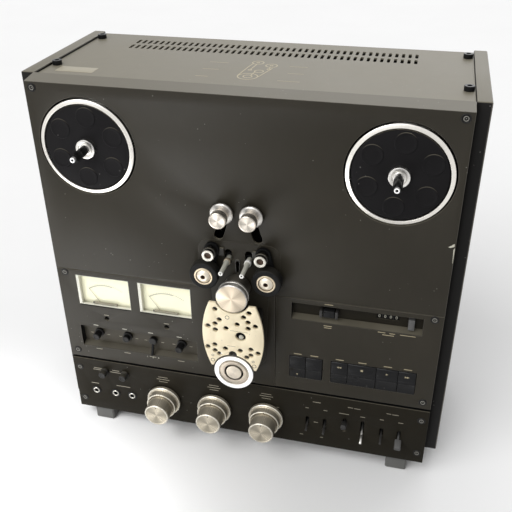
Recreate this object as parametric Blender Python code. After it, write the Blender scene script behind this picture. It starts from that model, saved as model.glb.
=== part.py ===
"""Reel-to-reel tape deck, standing on its feet.

Metres, +Z up, the front facing -Y. Every sub-part is drawn in the panel frame: X to the right from the
middle, Z up from the bottom edge of the front panels, and "out" towards the viewer from their face, so that
out is -Y there. An empty at that frame's origin carries the whole deck, and each moving piece has its origin
on its axis.
"""

import math

import bmesh
import bpy

# Whole deck
DECK_WIDTH = 0.456
PANEL_HEIGHT = 0.420
BODY_DEPTH = 0.195
FOOT_HEIGHT = 0.020
CLEARANCE = 0.0003
OVERRUN = 0.003
SEAT_OVERLAP = 0.0015
SHARP_ANGLE = math.radians(32)

# Side panels
SIDE_THICKNESS = 0.014
SIDE_SETBACK = 0.021
SIDE_BOTTOM = 0.004
SIDE_EDGE = 0.0012
PANEL_HALF = DECK_WIDTH / 2 - SIDE_THICKNESS - CLEARANCE
# Places across the deck were measured on panels this wide, and they spread with the panels
MEASURED_HALF = 0.2137
SPREAD = PANEL_HALF / MEASURED_HALF

# Front panels
PLATE = 0.003
FLANGE = 0.0025
FLANGE_DEPTH = 0.0207
BEZEL_RISE = 0.0027
UPPER_SEAM = 0.206
LOWER_SEAM = 0.0795
UPPER_SEAM_GAP = 0.0006
LOWER_SEAM_GAP = 0.0025
COLUMN_LEFT = -0.0300
COLUMN_RIGHT = 0.0394
COLUMN_SEAM_GAP = 0.0006

# Chassis plate and base
CHASSIS_THICKNESS = 0.003
CHASSIS_BOTTOM = 0.008
CHASSIS_TOP = 0.416
BASE_THICKNESS = 0.002
BASE_BOTTOM = 0.005
FOOT_WIDTH = 0.024
FOOT_LENGTH = 0.040
FOOT_INSET = 0.0297
FOOT_SPREAD = PANEL_HALF - FOOT_INSET
FRONT_FOOT_OUT = -0.003
REAR_FOOT_OUT = -0.150
FOOT_EDGE = 0.0015

# Top cover
COVER_SHEET = 0.0015
COVER_GAP = 0.0012
COVER_LIP = 0.010
VENT_COLUMNS = 46
VENT_PITCH = 0.0069
VENT_LEFT = -0.160
VENT_WIDTH = 0.0032
VENT_LENGTH = 0.009
VENT_ROW_OUTS = (-0.148, -0.163)
BUMPER_RADIUS = 0.005
BUMPER_HEIGHT = 0.006
BUMPER_CHAMFER = 0.0008
BUMPER_INSET = 0.0057
BUMPER_SPREAD = PANEL_HALF - BUMPER_INSET
BUMPER_OUTS = (-0.060, -0.172)

# Rear panel
REAR_SHEET = 0.0018
REAR_FOOT_REACH = 0.0295
REAR_FOOT_RADIUS = 0.015
REAR_FOOT_TIP_RADIUS = 0.0125
REAR_FOOT_INSET = 0.030
SOCKET_RADIUS = 0.0042
SOCKET_COLLAR_RADIUS = 0.0065
SOCKET_COLLAR_REACH = 0.002
SOCKET_REACH = 0.010
SOCKET_PITCH = 0.020
SOCKET_PAIR_PITCH = 0.018
SOCKET_LEFT = -0.110 * SPREAD
SOCKET_HEIGHT = 0.060
SOCKET_COLUMNS = 3
GLAND_RADIUS = 0.008
GLAND_TIP_RADIUS = 0.0056
GLAND_REACH = 0.012
GLAND_PLACE = (0.150 * SPREAD, 0.050)
REMOTE_WIDTH = 0.040
REMOTE_HEIGHT = 0.016
REMOTE_REACH = 0.008
REMOTE_PLACE = (0.040 * SPREAD, 0.060)

# Reel tables, their spindles and motors
REEL_SPREAD = 0.155 * SPREAD
REEL_HEIGHT = 0.3555
REEL_RADIUS = 0.050
REEL_OPENING_GAP = 0.0012
REEL_BACK = 0.008
REEL_RIM_FRONT = 0.002
REEL_RIM_WIDTH = 0.0045
MAT_DROP = 0.001
MAT_RECESSES = 6
MAT_RECESS_RADIUS = 0.0118
MAT_RECESS_RING = 0.0325
MAT_RECESS_DEPTH = 0.0007
HUB_RADIUS = 0.010
HUB_FRONT = 0.0055
HUB_CHAMFER = 0.0007
REEL_SHAFT_RADIUS = 0.004
REEL_SHAFT_LENGTH = 0.050
SPINDLE_CORE = 0.0034
SPINDLE_LOBE = 0.0047
SPINDLE_LOBES = 3
LOBE_WIDTH = 0.0026
SPINDLE_SPLIT = 0.0165
SPINDLE_REACH = 0.0335
SPINDLE_TIP = 0.0035
SPINDLE_TIP_RADIUS = 0.0026
SPINDLE_PIN_RADIUS = 0.0014
SPINDLE_PIN_LENGTH = 0.010
# A motor case's radius and length
REEL_MOTOR = (0.045, 0.042)
MOTOR_NOSE_RADIUS = 0.012
MOTOR_CHAMFER = 0.003

# Heights of the tape path, which is built up from the capstan and the reverse roller
CAPSTAN_HEIGHT = 0.216
REVERSE_HEIGHT = 0.1185
PINCH_RISE = 0.0145
GUIDE_RISE = 0.0405
LIFTER_RISE = 0.028
TENSION_RISE = 0.0826

# Tension rollers and arms
TENSION_SPREAD = 0.0153
TENSION_HEIGHT = CAPSTAN_HEIGHT + TENSION_RISE
TENSION_ARM = 0.070
TENSION_SWING = math.radians(22.9)
SLOT_WIDTH = 0.010
ARM_THICKNESS = 0.0035
ARM_FRONT = -0.0085
PIVOT_BOSS_RADIUS = 0.008
PIVOT_POST_RADIUS = 0.003
PIVOT_POST_FRONT = -0.0065
ROLLER_BOSS_RADIUS = 0.0055
ROLLER_PIN_RADIUS = 0.0025
ROLLER_PIN_FRONT = 0.0175
TENSION_REAR_RADIUS = 0.0120
TENSION_REAR_OUT = 0.0035
TENSION_REAR_WIDTH = 0.0022
TENSION_NECK_RADIUS = 0.0070
TENSION_FRONT_RADIUS = 0.0089
TENSION_FRONT_START = 0.0130
TENSION_FRONT_OUT = 0.0210
TENSION_CHAMFER = 0.0006

# Guide posts and pinch rollers
GUIDE_SPREAD = 0.0274
GUIDE_HEIGHT = CAPSTAN_HEIGHT + GUIDE_RISE
GUIDE_FRONT = 0.0188
GUIDE_RADIUS = 0.0063
GUIDE_FOOT_RADIUS = 0.0047
GUIDE_BORE_RADIUS = 0.00325
GUIDE_BORE_DEPTH = 0.008
PINCH_SPREAD = 0.0334
PINCH_HEIGHT = CAPSTAN_HEIGHT + PINCH_RISE
PINCH_ARM_THICKNESS = 0.0038
PINCH_ARM_PIVOT_RADIUS = 0.008
PINCH_ARM_END_RADIUS = 0.0075
PINCH_PIN_RADIUS = 0.003
PINCH_PIN_FRONT = 0.0150
PINCH_TYRE_RADIUS = 0.0155
PINCH_HUB_RADIUS = 0.0108
PINCH_FRONT = 0.0186
PINCH_TYRE_FRONT = 0.0180
PINCH_DISH_DEPTH = 0.0030
PINCH_DISH_HALF_DEPTH = 0.0021
PINCH_DISH_RADIUS = 0.0088
TYRE_CHAMFER = 0.0008

# Capstan
CAPSTAN_CAP_RADIUS = 0.0167
CAPSTAN_FRONT = 0.032
CAPSTAN_CAP_LENGTH = 0.0105
CAPSTAN_STEP_RADIUS = 0.0152
CAPSTAN_STEP_LENGTH = 0.0018
CAPSTAN_RADIUS = 0.0140
CAPSTAN_BACK = 0.005
CAPSTAN_SHAFT_RADIUS = 0.006
CAPSTAN_SHAFT_LENGTH = 0.060
CAPSTAN_CHAMFER = 0.0005
CAPSTAN_MOTOR = (0.050, 0.050)

# Tape lifter
LIFTER_SPREAD = 0.011
LIFTER_HEIGHT = CAPSTAN_HEIGHT + LIFTER_RISE
LIFTER_FRONT = 0.030
LIFTER_PIN_RADIUS = 0.00265
LIFTER_COLLAR_RADIUS = 0.0034
LIFTER_COLLAR_FRONT = 0.009
LIFTER_SOCKET_RADIUS = 0.0014
LIFTER_SOCKET_DEPTH = 0.003
LIFTER_TRAVEL = 0.008
LIFTER_PLATE_THICKNESS = 0.004
LIFTER_PLATE_MARGIN = 0.005

# Head base, heads and head cover
BASE_FRONT = 0.002
BASE_BACK = -0.004
BASE_SHOULDER_HALF = 0.044
BASE_WAIST_HALF = 0.0285
BASE_TOP_MARGIN = 0.0085
BASE_SHOULDER_MARGIN = 0.0205
BASE_END_MARGIN = 0.0105
BASE_TOP = GUIDE_HEIGHT + BASE_TOP_MARGIN
BASE_SHOULDER_BOTTOM = PINCH_HEIGHT - BASE_SHOULDER_MARGIN
BASE_LOWER_END = REVERSE_HEIGHT - BASE_END_MARGIN
BASE_CORNER = 0.012
BASE_STANDOFF_RADIUS = 0.005
BASE_STANDOFF_INSETS = (0.008, 0.0085)
BASE_STANDOFF_RISES = (0.010, 0.020)
KEY_SLOT_RADIUS = 0.0018
KEY_SLOT_RISE = 0.002
KEY_SLOT_LENGTH = 0.013
KEY_SLOT_BOTTOM = LIFTER_HEIGHT + KEY_SLOT_RISE
KEY_SLOT_TOP = KEY_SLOT_BOTTOM + KEY_SLOT_LENGTH
HEAD_SPREAD = 0.0195
HEAD_HALF_WIDTH = 0.0065
HEAD_HALF_HEIGHT = 0.0075
HEAD_FRONT = 0.0230
HEAD_CORNER = 0.003
COVER_POST_RADIUS = 0.003
COVER_POST_RISE = 0.006
HEAD_COVER_BACK = 0.0270
HEAD_COVER_FRONT = 0.0300
HEAD_COVER_TOP_DROP = 0.008
HEAD_COVER_BOTTOM_RISE = 0.0061
HEAD_COVER_TOP = CAPSTAN_HEIGHT - HEAD_COVER_TOP_DROP
HEAD_COVER_BOTTOM = REVERSE_HEIGHT + HEAD_COVER_BOTTOM_RISE
# How far up the cover its upper and lower pair of heads and its round window stand
HEAD_SHARES = (0.6643, 0.3046)
WINDOW_SHARE = 0.5228
COVER_HEIGHT = HEAD_COVER_TOP - HEAD_COVER_BOTTOM
HEAD_HEIGHTS = tuple(HEAD_COVER_BOTTOM + share * COVER_HEIGHT for share in HEAD_SHARES)
HEAD_COVER_TOP_HALF = 0.0236
HEAD_COVER_BOTTOM_HALF = 0.0266
HEAD_COVER_HALF = 0.0337
HEAD_COVER_TOP_RADIUS = 0.0193
HEAD_COVER_ROLLER_GAP = 0.0015
HEAD_SCREW_HOLE = 0.0025
HEAD_SCREW_REACH = 0.0079
# Offsets of one head's screws from its middle, as shares of HEAD_SCREW_REACH
HEAD_SCREW_SHARES = ((1, 0), (0, 0.5), (0, -0.5), (-1.5, -0.05), (-0.6, 1.25))
CORNER_HOLE_SPREAD = 0.0185
CORNER_HOLE_DROP = 0.0156
WINDOW_HOLE_RADIUS = 0.0057
WINDOW_HOLE_SPREAD = 0.0085

# Reverse roller
REVERSE_RADIUS = 0.0221
REVERSE_FRONT = 0.031
REVERSE_BACK = 0.005
REVERSE_FLANGE = 0.0025
REVERSE_TAPE_RADIUS = 0.0205
REVERSE_RING_WIDTH = 0.0026
REVERSE_RING_DROP = 0.0008
REVERSE_STEP_RADIUS = 0.0150
REVERSE_GROOVE_RADIUS = 0.0108
REVERSE_GROOVE_DEPTH = 0.0020
REVERSE_BOSS_RADIUS = 0.0086
REVERSE_AXLE_RADIUS = 0.004
REVERSE_AXLE_FRONT = 0.022

# Meters
METER_WINDOWS = ((-0.1925 * SPREAD, -0.1285 * SPREAD), (-0.1180 * SPREAD, -0.0560 * SPREAD))
METER_DROP = 0.007
METER_HEIGHT = 0.0395
METER_TOP = UPPER_SEAM - METER_DROP
METER_BOTTOM = METER_TOP - METER_HEIGHT
METER_MARGIN = 0.0015
METER_CASE_DROP = 0.0132
METER_CASE_BOTTOM = METER_BOTTOM - METER_CASE_DROP
METER_FLOOR_OUT = -0.0058
METER_WALL = 0.0012
METER_WEB_FRONT = -0.008
METER_WEB_HALF = 0.010
SHIELD_HALF = 0.0142
SHIELD_RISE = 0.0037
SHIELD_TOP = METER_BOTTOM + SHIELD_RISE
SHIELD_FRONT = -0.0020
NEEDLE_PIVOT_DROP = 0.009
NEEDLE_PIVOT_HEIGHT = METER_BOTTOM - NEEDLE_PIVOT_DROP
NEEDLE_HUB_RADIUS = 0.0024
NEEDLE_PIN_RADIUS = 0.0008
NEEDLE_THICKNESS = 0.0008
NEEDLE_OUT = -0.0046
NEEDLE_LENGTH = 0.0350
NEEDLE_WIDTH = 0.0008
NEEDLE_REST = math.radians(-34)
TRIM_HOLE_RADIUS = 0.0025
TRIM_HOLE_DROP = 0.0165
TRIM_HOLE_HEIGHT = METER_BOTTOM - TRIM_HOLE_DROP

# Recesses
RECESS_DEPTH = 0.008
RECESS_SLOPE = 0.0045
TUB_WALL = 0.002
LEFT_RECESS = (-0.196 * SPREAD, -0.052 * SPREAD)
LEFT_RECESS_RISE = 0.0198
LEFT_RECESS_HEIGHT = 0.0292
LEFT_RECESS_BOTTOM = LOWER_SEAM + LEFT_RECESS_RISE
LEFT_RECESS_TOP = LEFT_RECESS_BOTTOM + LEFT_RECESS_HEIGHT
RIGHT_RECESS = (0.057 * SPREAD, 0.194 * SPREAD)
RIGHT_RECESS_DROP = 0.006
RIGHT_RECESS_HEIGHT = 0.021
RIGHT_RECESS_TOP = UPPER_SEAM - RIGHT_RECESS_DROP
RIGHT_RECESS_BOTTOM = RIGHT_RECESS_TOP - RIGHT_RECESS_HEIGHT

# Controls in the left recess
RECESS_KNOB_RISE = 0.0172
RECESS_KNOB_HEIGHT = LEFT_RECESS_BOTTOM + RECESS_KNOB_RISE
BIAS_X = -0.1759 * SPREAD
EQUALIZER_X = -0.1399 * SPREAD
SPEED_X = -0.1077 * SPREAD
PITCH_X = -0.0728 * SPREAD
BIAS_LENGTH = 0.012
EQUALIZER_LENGTH = 0.009
PITCH_LENGTH = 0.014
RECESS_KNOB_RADIUS = 0.0043
RECESS_KNOB_COLLAR = 0.0056
RECESS_COLLAR_LENGTH = 0.003
KNOB_SHAFT_RADIUS = 0.0025
KNOB_SHAFT_LENGTH = 0.010
KNOB_CHAMFER = 0.0005
POINTER_HUB_RADIUS = 0.0046
POINTER_LENGTH = 0.0165
POINTER_HEEL = 0.0069
POINTER_KNEE = 0.0124
POINTER_RISE = 0.0036
POINTER_WIDTH = 0.0024
POINTER_THICKNESS = 0.0050

# Controls in the right recess
CUE_POST_XS = (0.0885 * SPREAD, 0.1050 * SPREAD)
CUE_POST_WIDTH = 0.003
CUE_POST_HEIGHT = 0.009
CUE_POST_FRONT = -0.0005
CUE_LEVER_WIDTH = 0.0120
CUE_LEVER_HALF_HEIGHT = 0.0065
CUE_LEVER_FRONT = -0.001
CUE_LEVER_TIP_HALF = 0.0039
CUE_LEVER_DISH = 0.0014
CUE_LEVER_DROP = 0.0165
CUE_LEVER_Z = UPPER_SEAM - CUE_LEVER_DROP
CUE_PIVOT_RADIUS = 0.0025
CUE_SWING_GAP = 0.0012
COUNTER_WINDOW = (0.146 * SPREAD, 0.1695 * SPREAD)
COUNTER_HALF_HEIGHT = 0.003
COUNTER_DROP = 0.0145
COUNTER_Z = UPPER_SEAM - COUNTER_DROP
COUNTER_POCKET = 0.001
RESET_WIDTH = 0.0065
RESET_DROP = 0.0105
RESET_HEIGHT = 0.0130
RESET_RIGHT = 0.1855 * SPREAD
RESET_LEFT = RESET_RIGHT - RESET_WIDTH
RESET_TOP = UPPER_SEAM - RESET_DROP
RESET_BOTTOM = RESET_TOP - RESET_HEIGHT
RESET_FRONT = -0.002
RESET_STEM_LENGTH = 0.009

# Transport buttons
BUTTON_RISE = 0.0202
BUTTON_HEIGHT = 0.0293
BUTTON_BOTTOM = LOWER_SEAM + BUTTON_RISE
BUTTON_TOP = BUTTON_BOTTOM + BUTTON_HEIGHT
BUTTON_NAMES = ("record", "pause", "rewind", "stop", "play", "forward")
# Where the buttons' edges stand as measured, group by group
BUTTON_EDGES = ((0.0559, 0.0742, 0.0928), (0.1023, 0.1207, 0.1516, 0.1750, 0.1941))
BUTTON_GAP = 0.0004
BUTTON_OUT = 0.0010
BUTTON_RIDGE = 0.0022
RIDGE_HALF = 0.0029
BUTTON_DEPTH = 0.009
BUTTON_STEM = 0.0035
STEM_REACH = 0.030

# Amplifier panel controls
LEVEL_XS = (-0.0979 * SPREAD, -0.0342 * SPREAD, 0.0293 * SPREAD)
LEVEL_NAMES = ("mic_level", "line_level", "output_level")
LEVEL_HEIGHT = 0.033
LEVEL_RING_RADIUS = 0.0208
LEVEL_RING_STEP_RADIUS = 0.0180
LEVEL_RING_BACK = 0.0010
LEVEL_RING_RIM = 0.0055
LEVEL_RING_FRONT = 0.0140
LEVEL_KNOB_RADIUS = 0.0152
LEVEL_KNOB_TIP_RADIUS = 0.0147
LEVEL_KNOB_FRONT = 0.0300
LEVEL_SLEEVE_RADIUS = 0.005
LEVEL_SHAFT_RADIUS = 0.003
LEVEL_SHAFT_LENGTH = 0.012
LEVEL_CHAMFER = 0.0006
SELECTOR_XS = (-0.1730 * SPREAD, -0.1467 * SPREAD)
SELECTOR_NAMES = ("left_selector", "right_selector")
SELECTOR_HEIGHT = 0.0628
SELECTOR_RADIUS = 0.0044
SELECTOR_LENGTH = 0.010
JACK_XS = (-0.1881 * SPREAD, -0.1624 * SPREAD, -0.1406 * SPREAD)
JACK_HEIGHT = 0.030
JACK_RADIUS = 0.0049
JACK_BORE_RADIUS = 0.0033
JACK_FRONT = 0.0012
JACK_DEPTH = 0.0160
JACK_PLATE_MARGIN = 0.008

# Lever switches: a hub on a cross axis behind the panel, a flat stem through a slot and a grip on its end
SWITCH_PIVOT_OUT = -0.0170
SWITCH_HUB_RADIUS = 0.0030
SWITCH_HUB_WIDTH = 0.0060
SWITCH_STEM_HALF = 0.0011
SWITCH_CHEEK = 0.0020
SWITCH_CHEEK_HALF = 0.0035
SLOT_SIDE_GAP = 0.0009
SHORT_SLOT_HALF = 0.0065
LONG_SLOT_HALF = 0.0100
SHORT_SLOT_Z = 0.0360
LONG_SLOT_Z = 0.0385
SHORT_SWING = math.radians(14)
LONG_SWING = math.radians(22)
UP_SWING = math.radians(16)
# Each lever: its X, its slot's middle and half height, the tilt at which it rests, and its grip's half width,
# half height, start and end along the lever
SWITCHES = (
    (0.0784 * SPREAD, SHORT_SLOT_Z, SHORT_SLOT_HALF, -SHORT_SWING, 0.0012, 0.0013, 0.0190, 0.0275),
    (0.0986 * SPREAD, SHORT_SLOT_Z, SHORT_SLOT_HALF, -SHORT_SWING, 0.0014, 0.0015, 0.0200, 0.0285),
    (0.1215 * SPREAD, LONG_SLOT_Z, LONG_SLOT_HALF, UP_SWING, 0.0032, 0.0030, 0.0205, 0.0320),
    (0.1420 * SPREAD, LONG_SLOT_Z, LONG_SLOT_HALF, -LONG_SWING, 0.0014, 0.0014, 0.0215, 0.0325),
    (0.1638 * SPREAD, SHORT_SLOT_Z, SHORT_SLOT_HALF, -SHORT_SWING, 0.0012, 0.0013, 0.0190, 0.0290),
    (0.1835 * SPREAD, SHORT_SLOT_Z, SHORT_SLOT_HALF, -SHORT_SWING, 0.0037, 0.0028, 0.0200, 0.0320),
)

# Facets round a turned piece
LARGE_ROUND = 48
MIDDLE_ROUND = 32
SMALL_ROUND = 20
HOLE_ROUND = 12
CORNER_STEPS = 3
ARC_STEPS = 10

# Sizes that follow from the ones above
PANEL_Y = (SPINDLE_REACH - BODY_DEPTH - REAR_FOOT_REACH) / 2
SIDE_TOP = PANEL_HEIGHT + BEZEL_RISE
CHASSIS_FRONT = -FLANGE_DEPTH - CLEARANCE
CHASSIS_BACK = CHASSIS_FRONT - CHASSIS_THICKNESS
PANEL_BACK = -PLATE
COVER_FRONT = -FLANGE_DEPTH - COVER_GAP
REAR_FACE = -BODY_DEPTH
RECESS_FLOOR = -RECESS_DEPTH
TENSION_PIVOT_SPREAD = TENSION_SPREAD + TENSION_ARM

# Each finish: base colour, roughness and metallic
FINISHES = {
    "panel_paint": ((0.045, 0.041, 0.036, 1.0), 0.45, 0.3),
    "black_paint": ((0.020, 0.020, 0.020, 1.0), 0.50, 0.2),
    "black_metal": ((0.020, 0.020, 0.020, 1.0), 0.45, 0.3),
    "black_plastic": ((0.012, 0.012, 0.012, 1.0), 0.40, 0.0),
    "grey_plastic": ((0.300, 0.300, 0.290, 1.0), 0.45, 0.0),
    "foot_rubber": ((0.160, 0.160, 0.155, 1.0), 0.60, 0.0),
    "rubber": ((0.010, 0.010, 0.010, 1.0), 0.70, 0.0),
    "plated_steel": ((0.400, 0.400, 0.400, 1.0), 0.40, 0.8),
    "motor_case": ((0.400, 0.400, 0.400, 1.0), 0.35, 0.9),
    "turned_metal": ((0.780, 0.760, 0.720, 1.0), 0.30, 0.9),
    "chrome": ((0.780, 0.760, 0.720, 1.0), 0.20, 1.0),
    "champagne": ((0.620, 0.580, 0.500, 1.0), 0.28, 1.0),
    "cream_paint": ((0.780, 0.700, 0.550, 1.0), 0.35, 0.2),
    "dial": ((0.920, 0.900, 0.740, 1.0), 0.40, 0.0),
}


def clear_scene():
    for obj in list(bpy.data.objects):
        bpy.data.objects.remove(obj, do_unlink=True)


def finish(name, look):
    """One Principled material for one sub-part."""
    colour, roughness, metallic = FINISHES[look]
    material = bpy.data.materials.new(name)
    material.use_nodes = True
    shader = material.node_tree.nodes["Principled BSDF"]
    shader.inputs["Base Color"].default_value = colour
    shader.inputs["Roughness"].default_value = roughness
    shader.inputs["Metallic"].default_value = metallic
    return material


# Outlines in X and Z


def arc(centre, radius, start, end, steps):
    """Points on an arc, both ends included, with angles from +X towards +Z."""
    turn = (end - start) / steps
    return [
        (centre[0] + radius * math.cos(start + turn * i), centre[1] + radius * math.sin(start + turn * i))
        for i in range(steps + 1)
    ]


def circle(centre, radius, steps):
    return arc(centre, radius, 0, math.tau, steps)[:-1]


def rectangle(left, right, bottom, top):
    return [(left, bottom), (right, bottom), (right, top), (left, top)]


def rounded_rectangle(left, right, bottom, top, radius, steps=CORNER_STEPS):
    quarter = math.pi / 2
    corners = (
        ((right - radius, top - radius), 0),
        ((left + radius, top - radius), 1),
        ((left + radius, bottom + radius), 2),
        ((right - radius, bottom + radius), 3),
    )
    points = []
    for centre, turn in corners:
        points += arc(centre, radius, quarter * turn, quarter * (turn + 1), steps)
    return points


def link(first, first_radius, second, second_radius, steps=ARC_STEPS):
    """The outline of a lever: two round ends and the straight flanks that touch both."""
    across, up = second[0] - first[0], second[1] - first[1]
    length = math.hypot(across, up)
    heading = math.atan2(up, across)
    lean = math.acos((first_radius - second_radius) / length)
    near = arc(first, first_radius, heading + lean, heading + math.tau - lean, steps)
    far = arc(second, second_radius, heading - lean, heading + lean, steps)
    return near + far


# Solids, added to a bmesh


def face_loop(shape, near, far):
    """Closes two matching rings of vertices into a solid."""
    count = len(near)
    shape.faces.new(near)
    shape.faces.new(list(reversed(far)))
    for i in range(count):
        after = (i + 1) % count
        shape.faces.new((near[after], near[i], far[i], far[after]))


def prism(outline, front, back):
    """An outline in X and Z, from the out distance front to back."""
    shape = bmesh.new()
    near = [shape.verts.new((x, -front, z)) for x, z in outline]
    far = [shape.verts.new((x, -back, z)) for x, z in outline]
    face_loop(shape, near, far)
    return shape


def bar(profile, left, right):
    """A profile of (out, z) points, drawn along X."""
    shape = bmesh.new()
    near = [shape.verts.new((left, -out, z)) for out, z in profile]
    far = [shape.verts.new((right, -out, z)) for out, z in profile]
    face_loop(shape, near, far)
    return shape


def column(outline, bottom, top):
    """An outline of (x, out) points, drawn along Z."""
    shape = bmesh.new()
    near = [shape.verts.new((x, -out, bottom)) for x, out in outline]
    far = [shape.verts.new((x, -out, top)) for x, out in outline]
    face_loop(shape, near, far)
    return shape


def turned(profile, steps, centre=(0, 0), bored=False):
    """(radius, out) points turned round the out axis through centre. A bored profile is a closed loop."""
    shape = bmesh.new()
    rings = []
    for radius, out in profile:
        if radius == 0:
            rings.append([shape.verts.new((centre[0], -out, centre[1]))] * steps)
        else:
            rings.append([shape.verts.new((x, -out, z)) for x, z in circle(centre, radius, steps)])
    pairs = list(zip(rings, rings[1:]))
    if bored:
        pairs.append((rings[-1], rings[0]))
    for first, second in pairs:
        for i in range(steps):
            after = (i + 1) % steps
            corners = [first[i], first[after], second[after], second[i]]
            shape.faces.new(list(dict.fromkeys(corners)))
    return shape


def merged(shapes):
    """Several separate solids in one bmesh."""
    whole = bmesh.new()
    for shape in shapes:
        mesh = bpy.data.meshes.new("shape")
        shape.to_mesh(mesh)
        shape.free()
        whole.from_mesh(mesh)
        bpy.data.meshes.remove(mesh)
    return whole


# Objects


def new_object(name, shape, parent, place=(0, 0), out=0, tilt=0):
    """An object whose origin is at place in X and Z of its parent, and out in front of it."""
    bmesh.ops.recalc_face_normals(shape, faces=shape.faces[:])
    mesh = bpy.data.meshes.new(name)
    shape.to_mesh(mesh)
    shape.free()
    mesh.shade_smooth()
    mesh.set_sharp_from_angle(angle=SHARP_ANGLE)
    obj = bpy.data.objects.new(name, mesh)
    bpy.context.scene.collection.objects.link(obj)
    obj.parent = parent
    obj.location = (place[0], -out, place[1])
    obj.rotation_euler = (tilt, 0, 0)
    return obj


def dress(obj, look):
    obj.data.materials.append(finish(obj.name, look))
    return obj


def combine(target, shape, operation, word):
    """A Boolean on target with a hidden helper drawn in target's own frame."""
    helper = new_object(f"{target.name}_{word}", shape, target)
    helper.hide_render = True
    helper.display_type = "WIRE"
    boolean = target.modifiers.new(word, "BOOLEAN")
    boolean.object = helper
    boolean.operation = operation
    boolean.solver = "EXACT"


def cut(target, shapes, word="cut"):
    combine(target, merged(shapes), "DIFFERENCE", word)


def join(target, shapes, word="join"):
    combine(target, merged(shapes), "UNION", word)


def soften(target, width, segments=2):
    bevel = target.modifiers.new("edge", "BEVEL")
    bevel.width = width
    bevel.segments = segments
    bevel.limit_method = "ANGLE"
    bevel.use_clamp_overlap = True


# Casing


def side_panel(deck, name, side):
    inner = side * (DECK_WIDTH / 2 - SIDE_THICKNESS)
    outer = side * DECK_WIDTH / 2
    profile = rectangle(-SIDE_SETBACK, -BODY_DEPTH, SIDE_BOTTOM, SIDE_TOP)
    panel = new_object(name, bar(profile, inner, outer), deck)
    soften(panel, SIDE_EDGE)
    dress(panel, "black_paint")


def top_cover(deck):
    """A folded sheet: a flat top with vent slots and a lip down the back, and four bumpers on it."""
    profile = [
        (COVER_FRONT, PANEL_HEIGHT - COVER_SHEET),
        (COVER_FRONT, PANEL_HEIGHT),
        (REAR_FACE, PANEL_HEIGHT),
        (REAR_FACE, PANEL_HEIGHT - COVER_LIP),
        (REAR_FACE + COVER_SHEET, PANEL_HEIGHT - COVER_LIP),
        (REAR_FACE + COVER_SHEET, PANEL_HEIGHT - COVER_SHEET),
    ]
    cover = new_object("top_cover", bar(profile, -PANEL_HALF, PANEL_HALF), deck)
    bumpers = [bumper((side * BUMPER_SPREAD, out)) for side in (-1, 1) for out in BUMPER_OUTS]
    join(cover, bumpers, "bumpers")
    cut(cover, [vent_slot(i, out) for out in VENT_ROW_OUTS for i in range(VENT_COLUMNS)], "vents")
    dress(cover, "panel_paint")


def bumper(place):
    """A round cap screw head that stands on the cover; place is its X and out."""
    top = PANEL_HEIGHT + BUMPER_HEIGHT
    foot = PANEL_HEIGHT - COVER_SHEET / 2
    shoulder = column(circle(place, BUMPER_RADIUS, HOLE_ROUND), foot, top)
    rim = [edge for edge in shoulder.edges if all(vert.co.z > foot + CLEARANCE for vert in edge.verts)]
    bmesh.ops.bevel(shoulder, geom=rim, offset=BUMPER_CHAMFER, segments=1, affect="EDGES")
    return shoulder


def vent_slot(index, out):
    left = VENT_LEFT + index * VENT_PITCH
    outline = rectangle(left, left + VENT_WIDTH, out - VENT_LENGTH / 2, out + VENT_LENGTH / 2)
    return column(outline, PANEL_HEIGHT - COVER_SHEET - OVERRUN, PANEL_HEIGHT + OVERRUN)


def rear_panel(deck):
    """The back sheet, with four round feet to lie on, socket pairs, a cord gland and a remote socket."""
    bottom, top = BASE_BOTTOM, PANEL_HEIGHT - COVER_LIP - CLEARANCE
    inner = REAR_FACE + REAR_SHEET
    sheet = prism(rectangle(-PANEL_HALF, PANEL_HALF, bottom, top), inner, REAR_FACE)
    panel = new_object("rear_panel", sheet, deck)
    bed = REAR_FACE + REAR_SHEET / 2
    across = PANEL_HALF - REAR_FOOT_INSET
    heights = (bottom + REAR_FOOT_INSET, top - REAR_FOOT_INSET)
    foot = [(0, bed), (REAR_FOOT_RADIUS, bed), (REAR_FOOT_TIP_RADIUS, REAR_FACE - REAR_FOOT_REACH)]
    foot.append((0, REAR_FACE - REAR_FOOT_REACH))
    feet = [turned(foot, SMALL_ROUND, (side * across, z)) for side in (-1, 1) for z in heights]
    gland = [(0, bed), (GLAND_RADIUS, bed), (GLAND_TIP_RADIUS, REAR_FACE - GLAND_REACH)]
    gland.append((0, REAR_FACE - GLAND_REACH))
    sockets = [
        rear_socket((SOCKET_LEFT + i * SOCKET_PITCH, SOCKET_HEIGHT + row * SOCKET_PAIR_PITCH), bed)
        for i in range(SOCKET_COLUMNS)
        for row in (0, 1)
    ]
    remote_x, remote_z = REMOTE_PLACE
    half = REMOTE_WIDTH / 2
    rise = REMOTE_HEIGHT / 2
    remote = prism(
        rounded_rectangle(remote_x - half, remote_x + half, remote_z - rise, remote_z + rise, rise / 2),
        bed,
        REAR_FACE - REMOTE_REACH,
    )
    join(panel, feet, "feet")
    join(panel, sockets, "sockets")
    join(panel, [turned(gland, SMALL_ROUND, GLAND_PLACE)], "gland")
    join(panel, [remote], "remote")
    dress(panel, "black_paint")


def rear_socket(place, bed):
    """A pin socket: a low collar and the barrel that a plug slides over."""
    collar = REAR_FACE - SOCKET_COLLAR_REACH
    tip = REAR_FACE - SOCKET_REACH
    profile = [(0, bed), (SOCKET_COLLAR_RADIUS, bed), (SOCKET_COLLAR_RADIUS, collar)]
    profile += [(SOCKET_RADIUS, collar), (SOCKET_RADIUS, tip), (0, tip)]
    return turned(profile, HOLE_ROUND, place)


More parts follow.
